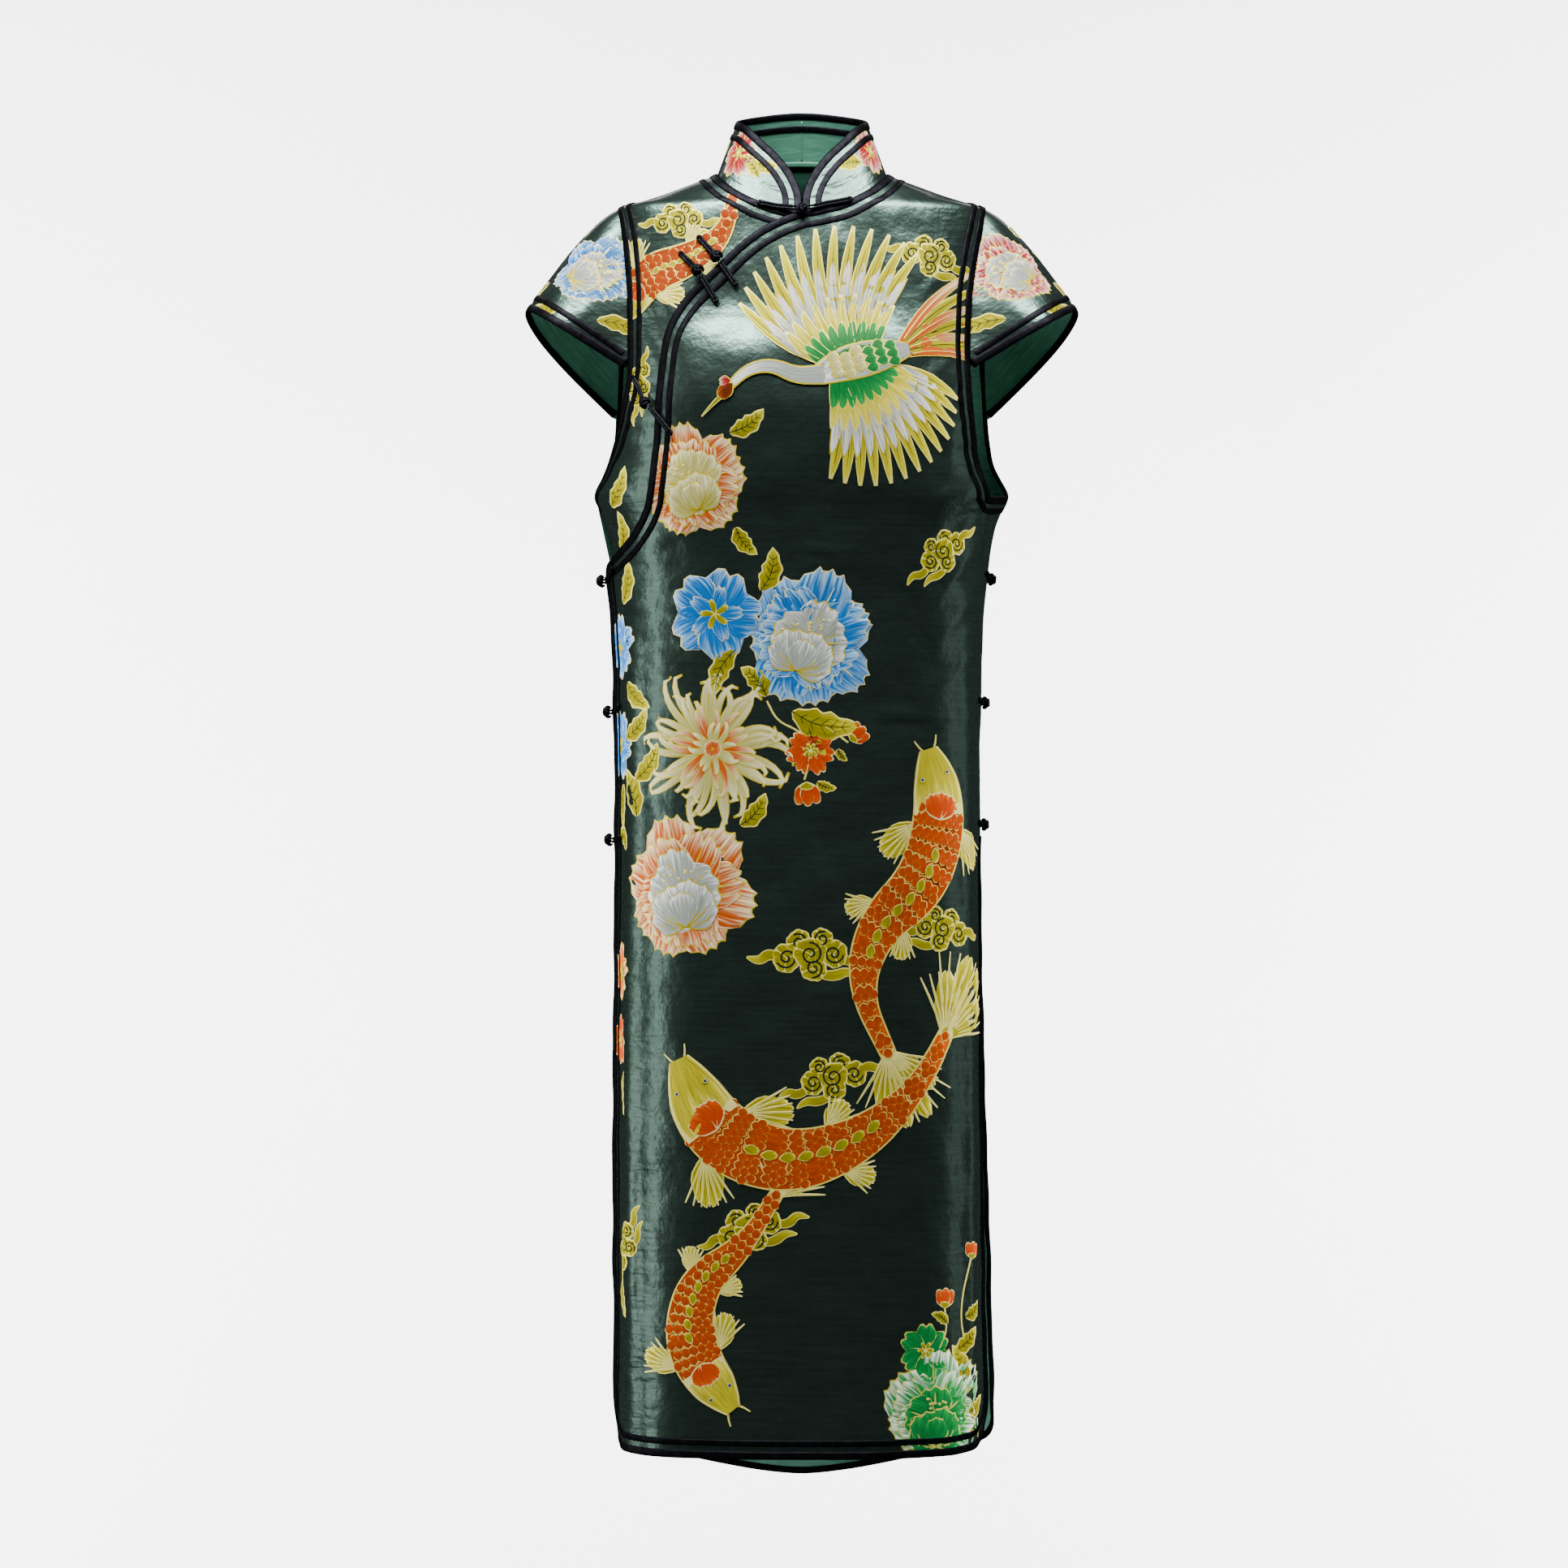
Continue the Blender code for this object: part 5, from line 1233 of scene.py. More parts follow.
def doubled_cord(track, outs):
    """The two cords of a bar, joined by a round turn at the tail."""
    track, outs = np.array(track), np.array(outs)
    ahead = directions(ahead_of(track))
    side = directions(np.cross(outs, ahead))
    turn = []
    for k in range(1, KNOB_STEPS):
        angle = math.radians(-60 + 300 * k / KNOB_STEPS)
        sweep = side[-1] * math.cos(angle) + ahead[-1] * math.sin(angle)
        turn.append(track[-1] + sweep * KNOB_RADIUS * KNOB_SHARE + outs[-1] * KNOB_RISE * math.sin(angle))
    return [*(track + side * CORD_APART), *turn, *(track - side * CORD_APART)[::-1]]


def button_ball(centre, out, way):
    """A woven ball: one cord led round a sphere in four bights, over and under itself."""
    side = np.cross(out, way)
    side /= np.linalg.norm(side)
    way = np.cross(side, out)
    track = []
    for k in range(BALL_STEPS):
        t = 2 * math.pi * k / BALL_STEPS
        longitude, latitude = 3 * t, BALL_TILT * math.sin(4 * t)
        size = BALL_RADIUS + BALL_WEAVE * math.cos(8 * t + 0.6)
        flat = size * math.cos(latitude)
        place = way * flat * math.cos(longitude) + side * flat * math.sin(longitude)
        track.append(centre + place + out * size * math.sin(latitude) * BALL_FLAT)
    return tube(track, BALL_CORD, True, 7)


def join(parts):
    points, faces, base = [], [], 0
    for some, loops in parts:
        points.append(np.array(some))
        faces += [tuple(i + base for i in f) for f in loops]
        base += len(some)
    return np.concatenate(points), faces


def laid_track(surface, ends, heights, steps=11):
    """Places and outward directions along a straight chart line, from beside the ball to the tail."""
    (t0, z0), (t1, z1) = ends
    shares = np.linspace(0, 1, steps)
    rises = np.interp(shares, np.linspace(0, 1, len(heights)), heights)
    turns, levels = t0 + (t1 - t0) * shares, z0 + (z1 - z0) * shares
    outs = normals(surface, turns, levels)
    return surface(turns, levels) + outs * rises[:, None], outs


def knot_button(name, ball, out, ball_half, loop_half):
    """Both halves of a knot button, each standing for its CAD node."""
    track, outs = ball_half
    back = (track[0] - ball) / np.linalg.norm(track[0] - ball)
    foot = np.concatenate(([ball + back * (BALL_RADIUS + STEM_GAP)], track))
    foot_outs = np.concatenate(([out], outs))
    parts = [tube(doubled_cord(foot, foot_outs), CORD_RADIUS), button_ball(ball, out, back)]
    parts.append(ball_core(ball))
    add_cord(f"{name}_ball_half", f"{name}_knot", parts)
    track, outs = loop_half
    ahead = (track[0] - ball) / np.linalg.norm(track[0] - ball)
    side = np.cross(out, ahead)
    side /= np.linalg.norm(side)
    ring_track = []
    for k in range(LOOP_STEPS + 1):
        angle = math.radians(40 + 280 * k / LOOP_STEPS)
        way = ahead * math.cos(angle) + side * math.sin(angle)
        ring_track.append(ball + way * (BALL_RADIUS + LOOP_GAP) - out * LOOP_DROP)
    nose = np.concatenate(([ball + ahead * (BALL_RADIUS + NOSE_GAP) - out * NOSE_DROP], track))
    nose_outs = np.concatenate(([out], outs))
    parts = [tube(doubled_cord(nose, nose_outs), CORD_RADIUS), tube(ring_track, CORD_RADIUS * 0.9)]
    add_cord(f"{name}_loop_half", f"{name}_loop", parts)


def ball_core(centre):
    """The filled middle of the ball, under its strands."""
    rows = []
    for k in range(7):
        lat = math.radians(-75 + 150 * k / 6)
        flat, high = CORE_RADIUS * math.cos(lat), CORE_RADIUS * math.sin(lat)
        angles = np.linspace(0, 1.75 * math.pi, 8)
        rows.append([centre + (flat * math.cos(a), flat * math.sin(a), high) for a in angles])
    return swept(rows, False)


def add_cord(name, node, parts):
    points, faces = join(parts)
    piece = turn_out(make_piece(name, points, faces, [CORD]))
    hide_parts(node)


ON_CLOTH = 1.7
OVER_TRIM = 2.9
# How high a ball sits over the trims or the cloth, how it stands off the right edge, and where cords start
BALL_OVER_TRIM = 3.4
BALL_ON_CLOTH = 5.2
BALL_OFF_EDGE = (-6.8, 3.0, 0.0)
CORD_START = 0.3
for name, tail, ball, head in FROGS_FRONT:
    t_tail, t_ball, t_head = (turn_at(x, z) for x, z in (tail, ball, head))
    at_tail = (t_ball + (t_tail - t_ball) * CORD_START, ball[1] + (tail[1] - ball[1]) * CORD_START)
    at_head = (t_ball + (t_head - t_ball) * CORD_START, ball[1] + (head[1] - ball[1]) * CORD_START)
    ends = ((t_ball, ball[1]), (t_ball, ball[1]))
    place, outs = laid_track(body, ends, (LAYER_LIFT + OVER_TRIM + BALL_OVER_TRIM,), 1)
    low = laid_track(body, (at_tail, (t_tail, tail[1])), (OVER_TRIM + LAYER_LIFT, OVER_TRIM, OVER_TRIM))
    high = laid_track(front_cloth, (at_head, (t_head, head[1])), (OVER_TRIM, OVER_TRIM))
    knot_button(name, place[0], outs[0], low, high)
reach, lead = FROG_HALF / QUARTER, FROG_LEAD / QUARTER
near_lead, far_lead = 0.4 * lead, 1.6 * lead
for name, level, rise in FROGS_RIGHT:
    place, outs = laid_track(front_cloth, ((-1.0, level), (-1.0, level)), (0.0,), 1)
    ball = place[0] + BALL_OFF_EDGE
    ends = ((-1.0 + near_lead, level), (-1.0 + reach, level + rise))
    ahead = laid_track(front_cloth, ends, (OVER_TRIM,) * 2)
    behind = ((-1.0 - far_lead, level), (-1.0 - reach - lead, level - rise / 2))
    knot_button(name, ball, outs[0], ahead, laid_track(body, behind, (ON_CLOTH,) * 2))
for name, level, rise in FROGS_LEFT:
    place, outs = laid_track(body, ((1.0, level), (1.0, level)), (BALL_ON_CLOTH,), 1)
    ahead = laid_track(body, ((1.0 - lead, level), (1.0 - reach, level + rise)), (ON_CLOTH,) * 2)
    behind = laid_track(body, ((1.0 + lead, level), (1.0 + reach, level - rise / 2)), (ON_CLOTH,) * 2)
    knot_button(name, place[0], outs[0], ahead, behind)

# The woven motifs: flowers, leaves, clouds, koi and cranes in silk floss with gilt outlines, brought up as
# extra wefts that float over the satin. Each float is a low raised shape whose threads fan out from its
# root, and its rim is let into the ground.
GILT_EDGE = 1.7
# Floats narrower than this have a finer gilt edge
FULL_EDGE = 20.0
FLOAT_RISE = 0.3
LAYER_RISE = 0.14
RIM_FALL = 0.17
UNDER_FALL = 0.5
# Beside a cut edge, under its trims, floats are pressed down to this share of their rise
PRESSED = 0.35
PRESSED_TO = 17.0
PRESSED_EASE = 6.0
# A float is left out if more than this share of its points lies further than this off the cloth
OFF_SHARE = 0.6
OFF_CLOTH = 1.0
FLOAT_FOLD = 60.0
# The root, tip and outline colours of each kind of floss
GOLD = ("948c06", "cfc61c", "e9df72")
PALE_GOLD = ("aca214", "dace4a", "ece28a")
CREAM = ("a8a35c", "e3dfae", "bba81a")
WHITE = ("8c938b", "dcdfd8", "b8a51e")
BLUE = ("0460a8", "8fbcda", "ddd394")
ORANGE = ("b04a06", "e2d2a4", "cdb92a")
CORAL = ("a63404", "c4570e", "e6d78e")
RUST = ("5a1e02", "96480a", "d3c040")
SCALE = ("953402", "b24c06", "dfd062")
RED = ("8e0a12", "e9c6bc", "c9b732")
GREEN = ("04642a", "1a8c40", "cfc65a")
JADE = ("067c34", "d8e6cf", "c6b93c")
GROUND = ("0f1914", "16231c", "16231c")
UP = math.pi / 2
draw = np.random.default_rng(11)


def silk_floss_and_gilt():
    """Untwisted silk floss and gilt strips: fine ribs along each thread, soft shine, metal in the gilt."""
    material, tree, shader = new_material("silk_floss_and_gilt_thread")
    names = ("Root", "Tip", "Line", "Thread", "Rim", "Gilt")
    root, tip, line, thread, rim, gilt = (add(tree, "Attribute", attribute_name=name) for name in names)
    thread = thread.outputs["Vector"]
    parts = add(tree, "SeparateXYZ", [(thread, 0)])
    # Threads fan out from the root: 12 to each side of a float, and long along it
    fan = add(tree, "VectorMath", [(thread, 0), ((12.0, 1.6, 37.0), 1)], operation="MULTIPLY")
    streak = add(tree, "TexNoise", [(fan.outputs[0], "Vector")], Scale=1.0, Detail=2.0)
    spread = add(tree, "Math", [(streak.outputs[0], 0), (1.5, 1), (-0.75, 2)], operation="MULTIPLY_ADD")
    reach = add(tree, "Math", [(parts.outputs["Y"], 0), (spread.outputs[0], 1)], operation="ADD")
    look = {"interpolation_type": "SMOOTHSTEP", "From_Min": 0.44, "From_Max": 1.0}
    turn = add(tree, "MapRange", [(reach.outputs[0], 0)], **look)
    inputs = [(turn.outputs[0], 0), (root.outputs["Color"], 6), (tip.outputs["Color"], 7)]
    floss = add(tree, "Mix", inputs, data_type="RGBA")
    # Fine single threads, light and dark by up to a third
    strand = add(tree, "VectorMath", [(thread, 0), ((34.0, 2.5, 51.0), 1)], operation="MULTIPLY")
    single = add(tree, "TexNoise", [(strand.outputs[0], "Vector")], Scale=1.0, Detail=1.0)
    look = {"From_Min": 0.3, "From_Max": 0.7, "To_Min": 0.62, "To_Max": 1.15}
    shade = add(tree, "MapRange", [(single.outputs[0], 0)], **look)
    inputs = [(floss.outputs[2], 0), (shade.outputs[0], "Scale")]
    threads = add(tree, "VectorMath", inputs, operation="SCALE")
    # Gilt thread along each float's rim
    look = {"From_Min": GILT_EDGE, "From_Max": 0.85 * GILT_EDGE}
    outline = add(tree, "MapRange", [(rim.outputs["Fac"], 0)], **look)
    inputs = [(outline.outputs[0], 0), (threads.outputs[0], 6), (line.outputs["Color"], 7)]
    finish = add(tree, "Mix", inputs, data_type="RGBA")
    tree.links.new(finish.outputs[2], shader.inputs["Base Color"])
    metal = add(tree, "Math", [(outline.outputs[0], 0), (gilt.outputs["Fac"], 1)], operation="MAXIMUM")
    share = add(tree, "Math", [(metal.outputs[0], 0), (0.4, 1)], operation="MULTIPLY")
    tree.links.new(share.outputs[0], shader.inputs["Metallic"])
    # Weft ribs at 0.7 mm, coarser than the real 0.2 mm so that they show
    chart = add(tree, "UVMap", uv_map="Chart")
    weft = add(tree, "Mapping", [(chart.outputs[0], 0)], Scale=(300.0, 1400.0, 1.0))
    rib = add(tree, "TexNoise", [(weft.outputs[0], 0)], noise_dimensions="2D", Scale=1.0, Detail=1.0)
    low = add(tree, "Bump", [(single.outputs[0], "Height")], Strength=0.55, Distance=0.00025)
    under = (low.outputs[0], "Normal")
    high = add(tree, "Bump", [(rib.outputs[0], "Height"), under], Strength=0.45, Distance=0.0002)
    tree.links.new(high.outputs[0], shader.inputs["Normal"])
    shader.inputs["Roughness"].default_value = 0.46
    shader.inputs["Specular IOR Level"].default_value = 0.22
    shader.inputs["Specular Tint"].default_value = colour("b0a890")
    return material


FLOSS = silk_floss_and_gilt()


def turned(grid, heading, place):
    """A shape drawn up the page from the origin, turned to its heading and put in its place."""
    ahead = np.array((math.cos(heading), math.sin(heading)))
    side = np.array((-ahead[1], ahead[0]))
    return np.asarray(place) + grid[..., 1:] * ahead - grid[..., :1] * side


def flowing(points, steps):
    """A soft line near these points, in even steps."""
    line = np.array(points, float)
    for _ in range(4):
        first, second = (3 * line[:-1] + line[1:]) / 4, (line[:-1] + 3 * line[1:]) / 4
        line = np.concatenate((line[:1], np.stack((first, second), axis=1).reshape(-1, 2), line[-1:]))
    run = lengths(line)
    at = np.linspace(0, run[-1], steps)
    return np.stack([np.interp(at, run, line[:, k]) for k in (0, 1)], axis=1)


def petal(length, width, lobes=0, notch=0.12, fullness=0.62, crown=0.28, bend=0.0, columns=5):
    """A petal from its root up: its columns fan out to a rounded edge, or to one with lobes."""
    side, end = min(GILT_EDGE / width, 0.3), min(GILT_EDGE / length, 0.2)
    s = np.concatenate(([-1.0], np.linspace(side - 1, 1 - side, columns), [1.0]))
    t = np.array((0.0, 0.22, 0.5, 0.78, 1 - end, 1.0))
    s, t = np.meshgrid(s, t)
    wide = np.sin(math.pi * fullness * np.maximum(t, 0.02)) ** 0.8
    along_it = length * t * (1 - 0.1 * s**2 - crown * s**4)
    if lobes:
        along_it *= 1 - notch * (1 - np.abs(np.cos(math.pi * (lobes * s + lobes - 1) / 2)) ** 0.8) * t**3
    swing = bend * t**1.5
    x, y = width * s * wide, along_it
    return np.stack((x * np.cos(swing) + y * np.sin(swing), y * np.cos(swing) - x * np.sin(swing)), axis=-1)


def ribbon(path, widths):
    """A band along a path, with its width to each side at every step."""
    path, widths = np.asarray(path, float), np.asarray(widths, float)
    ahead = directions(ahead_of(path))
    side = np.stack((ahead[:, 1], -ahead[:, 0]), axis=-1)
    inner = 1 - np.minimum(GILT_EDGE / widths, 0.5)
    s = np.stack((-np.ones_like(inner), -inner, 0 * inner, inner, np.ones_like(inner)), axis=-1)
    return path[:, None] + side[:, None] * (widths[:, None] * s)[..., None]


def lay(weave, grid, shades, layer=0, gilt=0.0, lean=0.05, slope=0.0):
    """One float, from rows and columns of places on the flat cloth, with an underside of its own."""
    rows, columns = grid.shape[:2]
    across, down = np.meshgrid(np.linspace(-1, 1, columns), np.linspace(0, 1, rows))
    sides = [np.linalg.norm(grid - grid[:, k : k + 1], axis=2) for k in (0, columns - 1)]
    rim = np.minimum(np.minimum(*sides), np.linalg.norm(grid - grid[-1:], axis=2))
    rim *= np.clip(FULL_EDGE / sides[0].max(), 1.0, 2.0)
    edge = np.zeros((rows, columns), bool)
    edge[:, [0, -1]] = edge[[0, -1]] = True
    rise = FLOAT_RISE + layer * LAYER_RISE - RIM_FALL * edge + lean * across + slope * down
    k = (np.arange(rows - 1)[:, None] * columns + np.arange(columns - 1)).ravel()
    faces = np.stack((k, k + 1, k + columns + 1, k + columns), axis=-1).tolist()
    stops = [0, *range(2, columns - 2, 2), columns - 1]
    below = np.arange(rows * columns).reshape(rows, columns)[:, stops]
    below[1:-1, 1:-1] = rows * columns + np.arange((rows - 2) * (len(stops) - 2)).reshape(rows - 2, -1)
    last = (rows - 1) * columns
    for j, (a, b) in enumerate(zip(stops, stops[1:])):
        faces.append([*range(a, b + 1)][::-1] + [below[1, j], below[1, j + 1]])
        for r in range(1, rows - 2):
            faces.append([below[r, j], below[r + 1, j], below[r + 1, j + 1], below[r, j + 1]])
        faces.append([below[-2, j], *range(last + a, last + b + 1), below[-2, j + 1]])
    thread = np.stack((across, down, np.full_like(across, draw.random())), axis=-1)
    made = {"faces": faces, "shades": shades, "gilt": gilt}
    for key, values in (("place", grid), ("rise", rise), ("rim", rim), ("thread", thread)):
        under = values[1:-1, stops[1:-1]].reshape(-1, values[0, 0].size)
        made[key] = np.concatenate((values.reshape(rows * columns, -1), under))
    made["rise"][rows * columns :] -= UNDER_FALL
    weave.append(made)


def weave_in(name, weave, ground):
    """The floats as one piece on the cloth's own outer face. Those past its cut edge are left out."""
    plan, triangles, points, outs = ground
    tree = BVHTree.FromPolygons([(x, y, 0.0) for x, y in plan], triangles.tolist())
    rim = sorted({p for p, _ in cut_edges(triangles)})
    cut = KDTree(len(rim))
    for k, p in enumerate(rim):
        cut.insert((*plan[p], 0.0), k)
    cut.balance()
    kept, faces, base = [], [], 0
    for one in weave:
        places, _, hits, off = zip(*(tree.find_nearest((x, y, 0.0)) for x, y in one["place"]))
        if np.mean(np.array(off) > OFF_CLOTH) > OFF_SHARE:
            continue
        from_cut = np.array([cut.find(place)[2] for place in places])
        press = PRESSED + (1 - PRESSED) * smooth((from_cut - PRESSED_TO) / PRESSED_EASE)
        placed = {"place": np.array(places)[:, :2], "hit": hits, "rise": one["rise"][:, 0] * press}
        kept.append({**one, **placed})
        faces += [[i + base for i in loop] for loop in one["faces"]]
        base += len(hits)
    place, hit, rise, thread, rim = (
        np.concatenate([one[key] for one in kept]) for key in ("place", "hit", "rise", "thread", "rim")
    )
    corners = triangles[hit]
    a, b, c = (plan[corners[:, k]] for k in range(3))
    whole = np.cross(b - a, c - a)
    shares = np.stack((np.cross(b - place, c - place), np.cross(c - place, a - place)), axis=-1)
    shares /= whole[:, None]
    shares = np.column_stack((shares, 1 - shares.sum(axis=1)))
    foot = (points[corners] * shares[..., None]).sum(axis=1)
    out = directions((outs[corners] * shares[..., None]).sum(axis=1))
    a, b, c = (points[corners[:, k]] for k in range(3))
    if (whole * np.einsum("ij,ij->i", np.cross(b - a, c - a), out)).sum() < 0:
        faces = [loop[::-1] for loop in faces]
    piece = make_piece(name, foot + out * rise[:, None], faces, [FLOSS])
    piece.data.set_sharp_from_angle(angle=math.radians(FLOAT_FOLD))
    chart_map(piece, place)
    counts = [len(one["hit"]) for one in kept]
    details = [
        (key, "FLOAT_COLOR", "color", np.repeat([colour(one["shades"][j]) for one in kept], counts, axis=0))
        for j, key in enumerate(("Root", "Tip", "Line"))
    ]
    details += [("Thread", "FLOAT_VECTOR", "vector", thread), ("Rim", "FLOAT", "value", rim)]
    details.append(("Gilt", "FLOAT", "value", np.repeat([float(one["gilt"]) for one in kept], counts)))
    for key, kind, held, values in details:
        piece.data.attributes.new(key, kind, "POINT").data.foreach_set(held, values.ravel())
    print(f"{name}: {len(kept)} of {len(weave)} floats, {sum(len(f) - 2 for f in faces)} triangles")
    return piece


def near(value, spread):
    """A value changed by up to this share of itself."""
    return value * draw.uniform(1 - spread, 1 + spread)


def stem(weave, points, width=0.9, shades=GOLD, layer=0, steps=16):
    lay(weave, ribbon(flowing(points, steps), np.full(steps, width)), shades, layer, 1.0, 0.0)


def leaf(weave, root, heading, length, width, shades=GOLD, curl=0.25, layer=0):
    """A pointed leaf with a dark midrib and side veins."""
    bow = curl * length
    middle = ((0, 0), (bow * 0.5, length * 0.35), (bow * 0.4, length * 0.7), (0, length))
    path = turned(flowing(middle, 17), heading, root)
    share = np.linspace(0, 1, 17)
    widths = width * np.sin(math.pi * share**0.8) ** 0.8 * (1 + 0.13 * np.cos(7 * math.pi * share)) + 0.25
    lay(weave, ribbon(path, widths), shades, layer, 1.0)
    rib = flowing(path[:15], 7)
    lay(weave, ribbon(rib, np.linspace(0.55, 0.3, 7)), GROUND, layer + 1, 0.0, 0.0)
    ahead = directions(ahead_of(rib))
    for k in range(1, 6):
        way = ahead[k]
        side = np.array((-way[1], way[0]))
        reach = 0.62 * width * math.sin(math.pi * (k / 7) ** 0.8)
        for hand in (-1, 1):
            tip = rib[k] + side * hand * reach + way * reach * 0.9
            vein = ribbon(flowing((rib[k], (rib[k] + tip) / 2, tip), 4), (0.4, 0.4, 0.35, 0.25))
            lay(weave, vein, GROUND, layer + 1)


def peony(weave, place, radius, facing, outer, inner, layer=0):
    """A full peony: broad cleft petals that open round a bowl of scalloped ones, with gilt stamens."""
    place = np.array(place, float)
    up = np.array((math.cos(facing), math.sin(facing)))
    rings = ((7, 1.04, 0.42, 5, outer), (6, 0.84, 0.38, 4, outer), (5, 0.58, 0.32, 3, inner))
    for number, (count, reach, width, lobes, shades) in enumerate(rings):
        for k in range(count):
            angle = facing + 2 * math.pi * (k + number / 2) / count + draw.uniform(-0.12, 0.12)
            length = near(radius * reach, 0.1) * (0.9 + 0.12 * math.cos(angle - facing + 0.6))
            bend = draw.uniform(-0.25, 0.25)
            shape = petal(length, near(radius * width, 0.12), lobes, 0.14, bend=bend, columns=15)
            lay(weave, turned(shape, angle, place), shades, layer + number)
            vein = ribbon(flowing(((0, 0.45 * length), (0, 0.8 * length)), 5), (0.3, 0.7, 0.8, 0.6, 0.3))
            lay(weave, turned(vein, angle + bend * 0.6, place), shades[2:] * 3, layer + number + 1)
    for k in range(9):
        spot = np.array((draw.uniform(-0.2, 0.2), draw.uniform(-0.06, 0.12))) * radius
        spot += place + up * radius * 0.2
        lay(weave, turned(petal(2.6, 1.6, columns=3), facing, spot), GOLD, layer + 4, 1.0)
    bowl = ((-1.0, 0.52), (1.0, 0.52), (-0.62, 0.6), (0.62, 0.6), (-0.26, 0.62), (0.28, 0.58), (0.0, 0.46))
    for number, (swing, reach) in enumerate(bowl):
        shape = petal(radius * reach, radius * (0.12 + 0.2 * reach), 3, 0.12, fullness=0.7, columns=9)
        lay(weave, turned(shape, facing + swing, place - up * radius * 0.4), inner, layer + 4 + number // 2)


def chrysanthemum(weave, place, radius, shades, heart, layer=0):
    """Long quills that curl at their tips, in four rings."""
    rings = ((27, 1.0, 0.054), (23, 0.8, 0.052), (17, 0.58, 0.05), (12, 0.34, 0.046))
    for number, (count, reach, thick) in enumerate(rings):
        for k in range(count):
            angle = 2 * math.pi * (k + number / 2) / count + draw.uniform(-0.1, 0.1)
            size, curl = near(radius * reach, 0.13), draw.uniform(0.05, 0.5) * (1 if k % 3 else -1)
            line = [(0, 0.05), (0.04 * curl, 0.45), (0.25 * curl, 0.82), (0.7 * curl, 1.0)]
            line.append((0.95 * curl, 0.94))
            path = turned(flowing(np.array(line) * size, 11), angle, place)
            widths = radius * thick * np.sin(math.pi * np.linspace(0.12, 0.95, 11)) ** 0.6
            lay(weave, ribbon(path, widths), heart if number == 2 else shades, layer + number)
    for k in range(7):
        lay(weave, turned(petal(radius * 0.13, radius * 0.06, columns=3), k * 0.9, place), heart, layer + 4)


def blossom(weave, place, radius, petals, shades, heading=UP, layer=0):
    """An open flower with a ring of cleft petals round gilt stamens."""
    for k in range(petals):
        angle = heading + 2 * math.pi * k / petals
        length, width = near(radius, 0.05), radius * 2.5 / petals
        shape = petal(length, width, 2, 0.14, fullness=0.66, crown=0.2, columns=7)
        lay(weave, turned(shape, angle, place), shades, layer)
        if radius > 30:
            fold = turned(petal(radius * 0.6, radius * 0.16, 2, columns=5), angle + 0.12, place)
            lay(weave, fold, shades, layer + 1)
    for k in range(petals):
        angle = heading + 2 * math.pi * (k + 0.5) / petals
        stamen = petal(radius * 0.32, radius * 0.07, columns=3)
        lay(weave, turned(stamen, angle, place), GOLD, layer + 2, 1.0)


def bud(weave, place, size, heading, shades, layer=0):
    for swing in (-0.45, 0.45, 0.0):
        shape = turned(petal(size, size * 0.3, 1, columns=5), heading + swing, place)
        lay(weave, shape, shades, layer + (swing == 0))
    lay(weave, turned(petal(size * 0.35, size * 0.3, columns=3), heading, place), GOLD, layer + 2, 1.0)


def cloud(weave, place, size, heading=0.0, hand=1, shades=GOLD, layer=0):
    """A curled cloud: round gilt lobes, each with a dark spiral on it, and streaming tails."""
    place = np.array(place, float)
    turn = np.array(((math.cos(heading), -math.sin(heading)), (math.sin(heading), math.cos(heading))))
    tails = (
        ((0.7, -0.1), (1.2, -0.3), (1.5, -0.1), (1.85, -0.35)),
        ((-0.7, 0.0), (-1.15, 0.2), (-1.4, 0.0), (-1.75, 0.15)),
        ((0.1, -0.5), (0.6, -0.62), (0.95, -0.5), (1.3, -0.68)),
    )
    for tail in tails:
        points = [place + turn @ np.array((x * hand, y)) * size for x, y in tail]
        widths = size * 0.15 * np.sin(math.pi * np.linspace(0.12, 0.97, 15)) ** 0.7
        lay(weave, ribbon(flowing(points, 15), widths), shades, layer, 1.0)
    lobes = (
        (-0.66, 0.02, 0.40, 3.4, 1),
        (0.64, 0.0, 0.38, -0.2, -1),
        (0.05, -0.34, 0.36, 4.4, 1),
        (-0.28, 0.42, 0.34, 2.2, -1),
        (0.36, 0.44, 0.30, 1.0, 1),
        (0.0, 0.06, 0.46, 1.6, -1),
    )
    for number, (x, y, radius, start, way) in enumerate(lobes):
        centre = place + turn @ np.array((x * hand, y)) * size
        angles = (start if hand > 0 else math.pi - start) + heading + way * hand * np.linspace(0, 10.2, 31)
        for k in range(3):
            lobe = petal(radius * size, radius * size * 0.86, 3, 0.1, 0.62, 0.2, columns=9)
            lay(weave, turned(lobe, angles[0] + 2.1 * k, centre), shades, layer + number % 3, 1.0)
        share = np.linspace(0, 1, 31)
        reach = radius * size * (0.72 - 0.62 * share)
        path = centre + np.stack((np.cos(angles), np.sin(angles)), axis=-1) * reach[:, None]
        line = ribbon(path, size * 0.03 * np.clip((1 - share) * 5 + 0.4, 0, 1))
        lay(weave, line, GROUND, layer + number % 3 + 1)


KOI_WIDTHS = (
    (0.0, 0.34),
    (0.05, 0.62),
    (0.13, 0.90),
    (0.26, 1.0),
    (0.45, 0.90),
    (0.65, 0.64),
    (0.85, 0.36),
    (1.0, 0.28),
)
KOI_STEPS = 60
KOI_HEAD = 13
KOI_EYE = 5
SCALE_STEP = 8.2


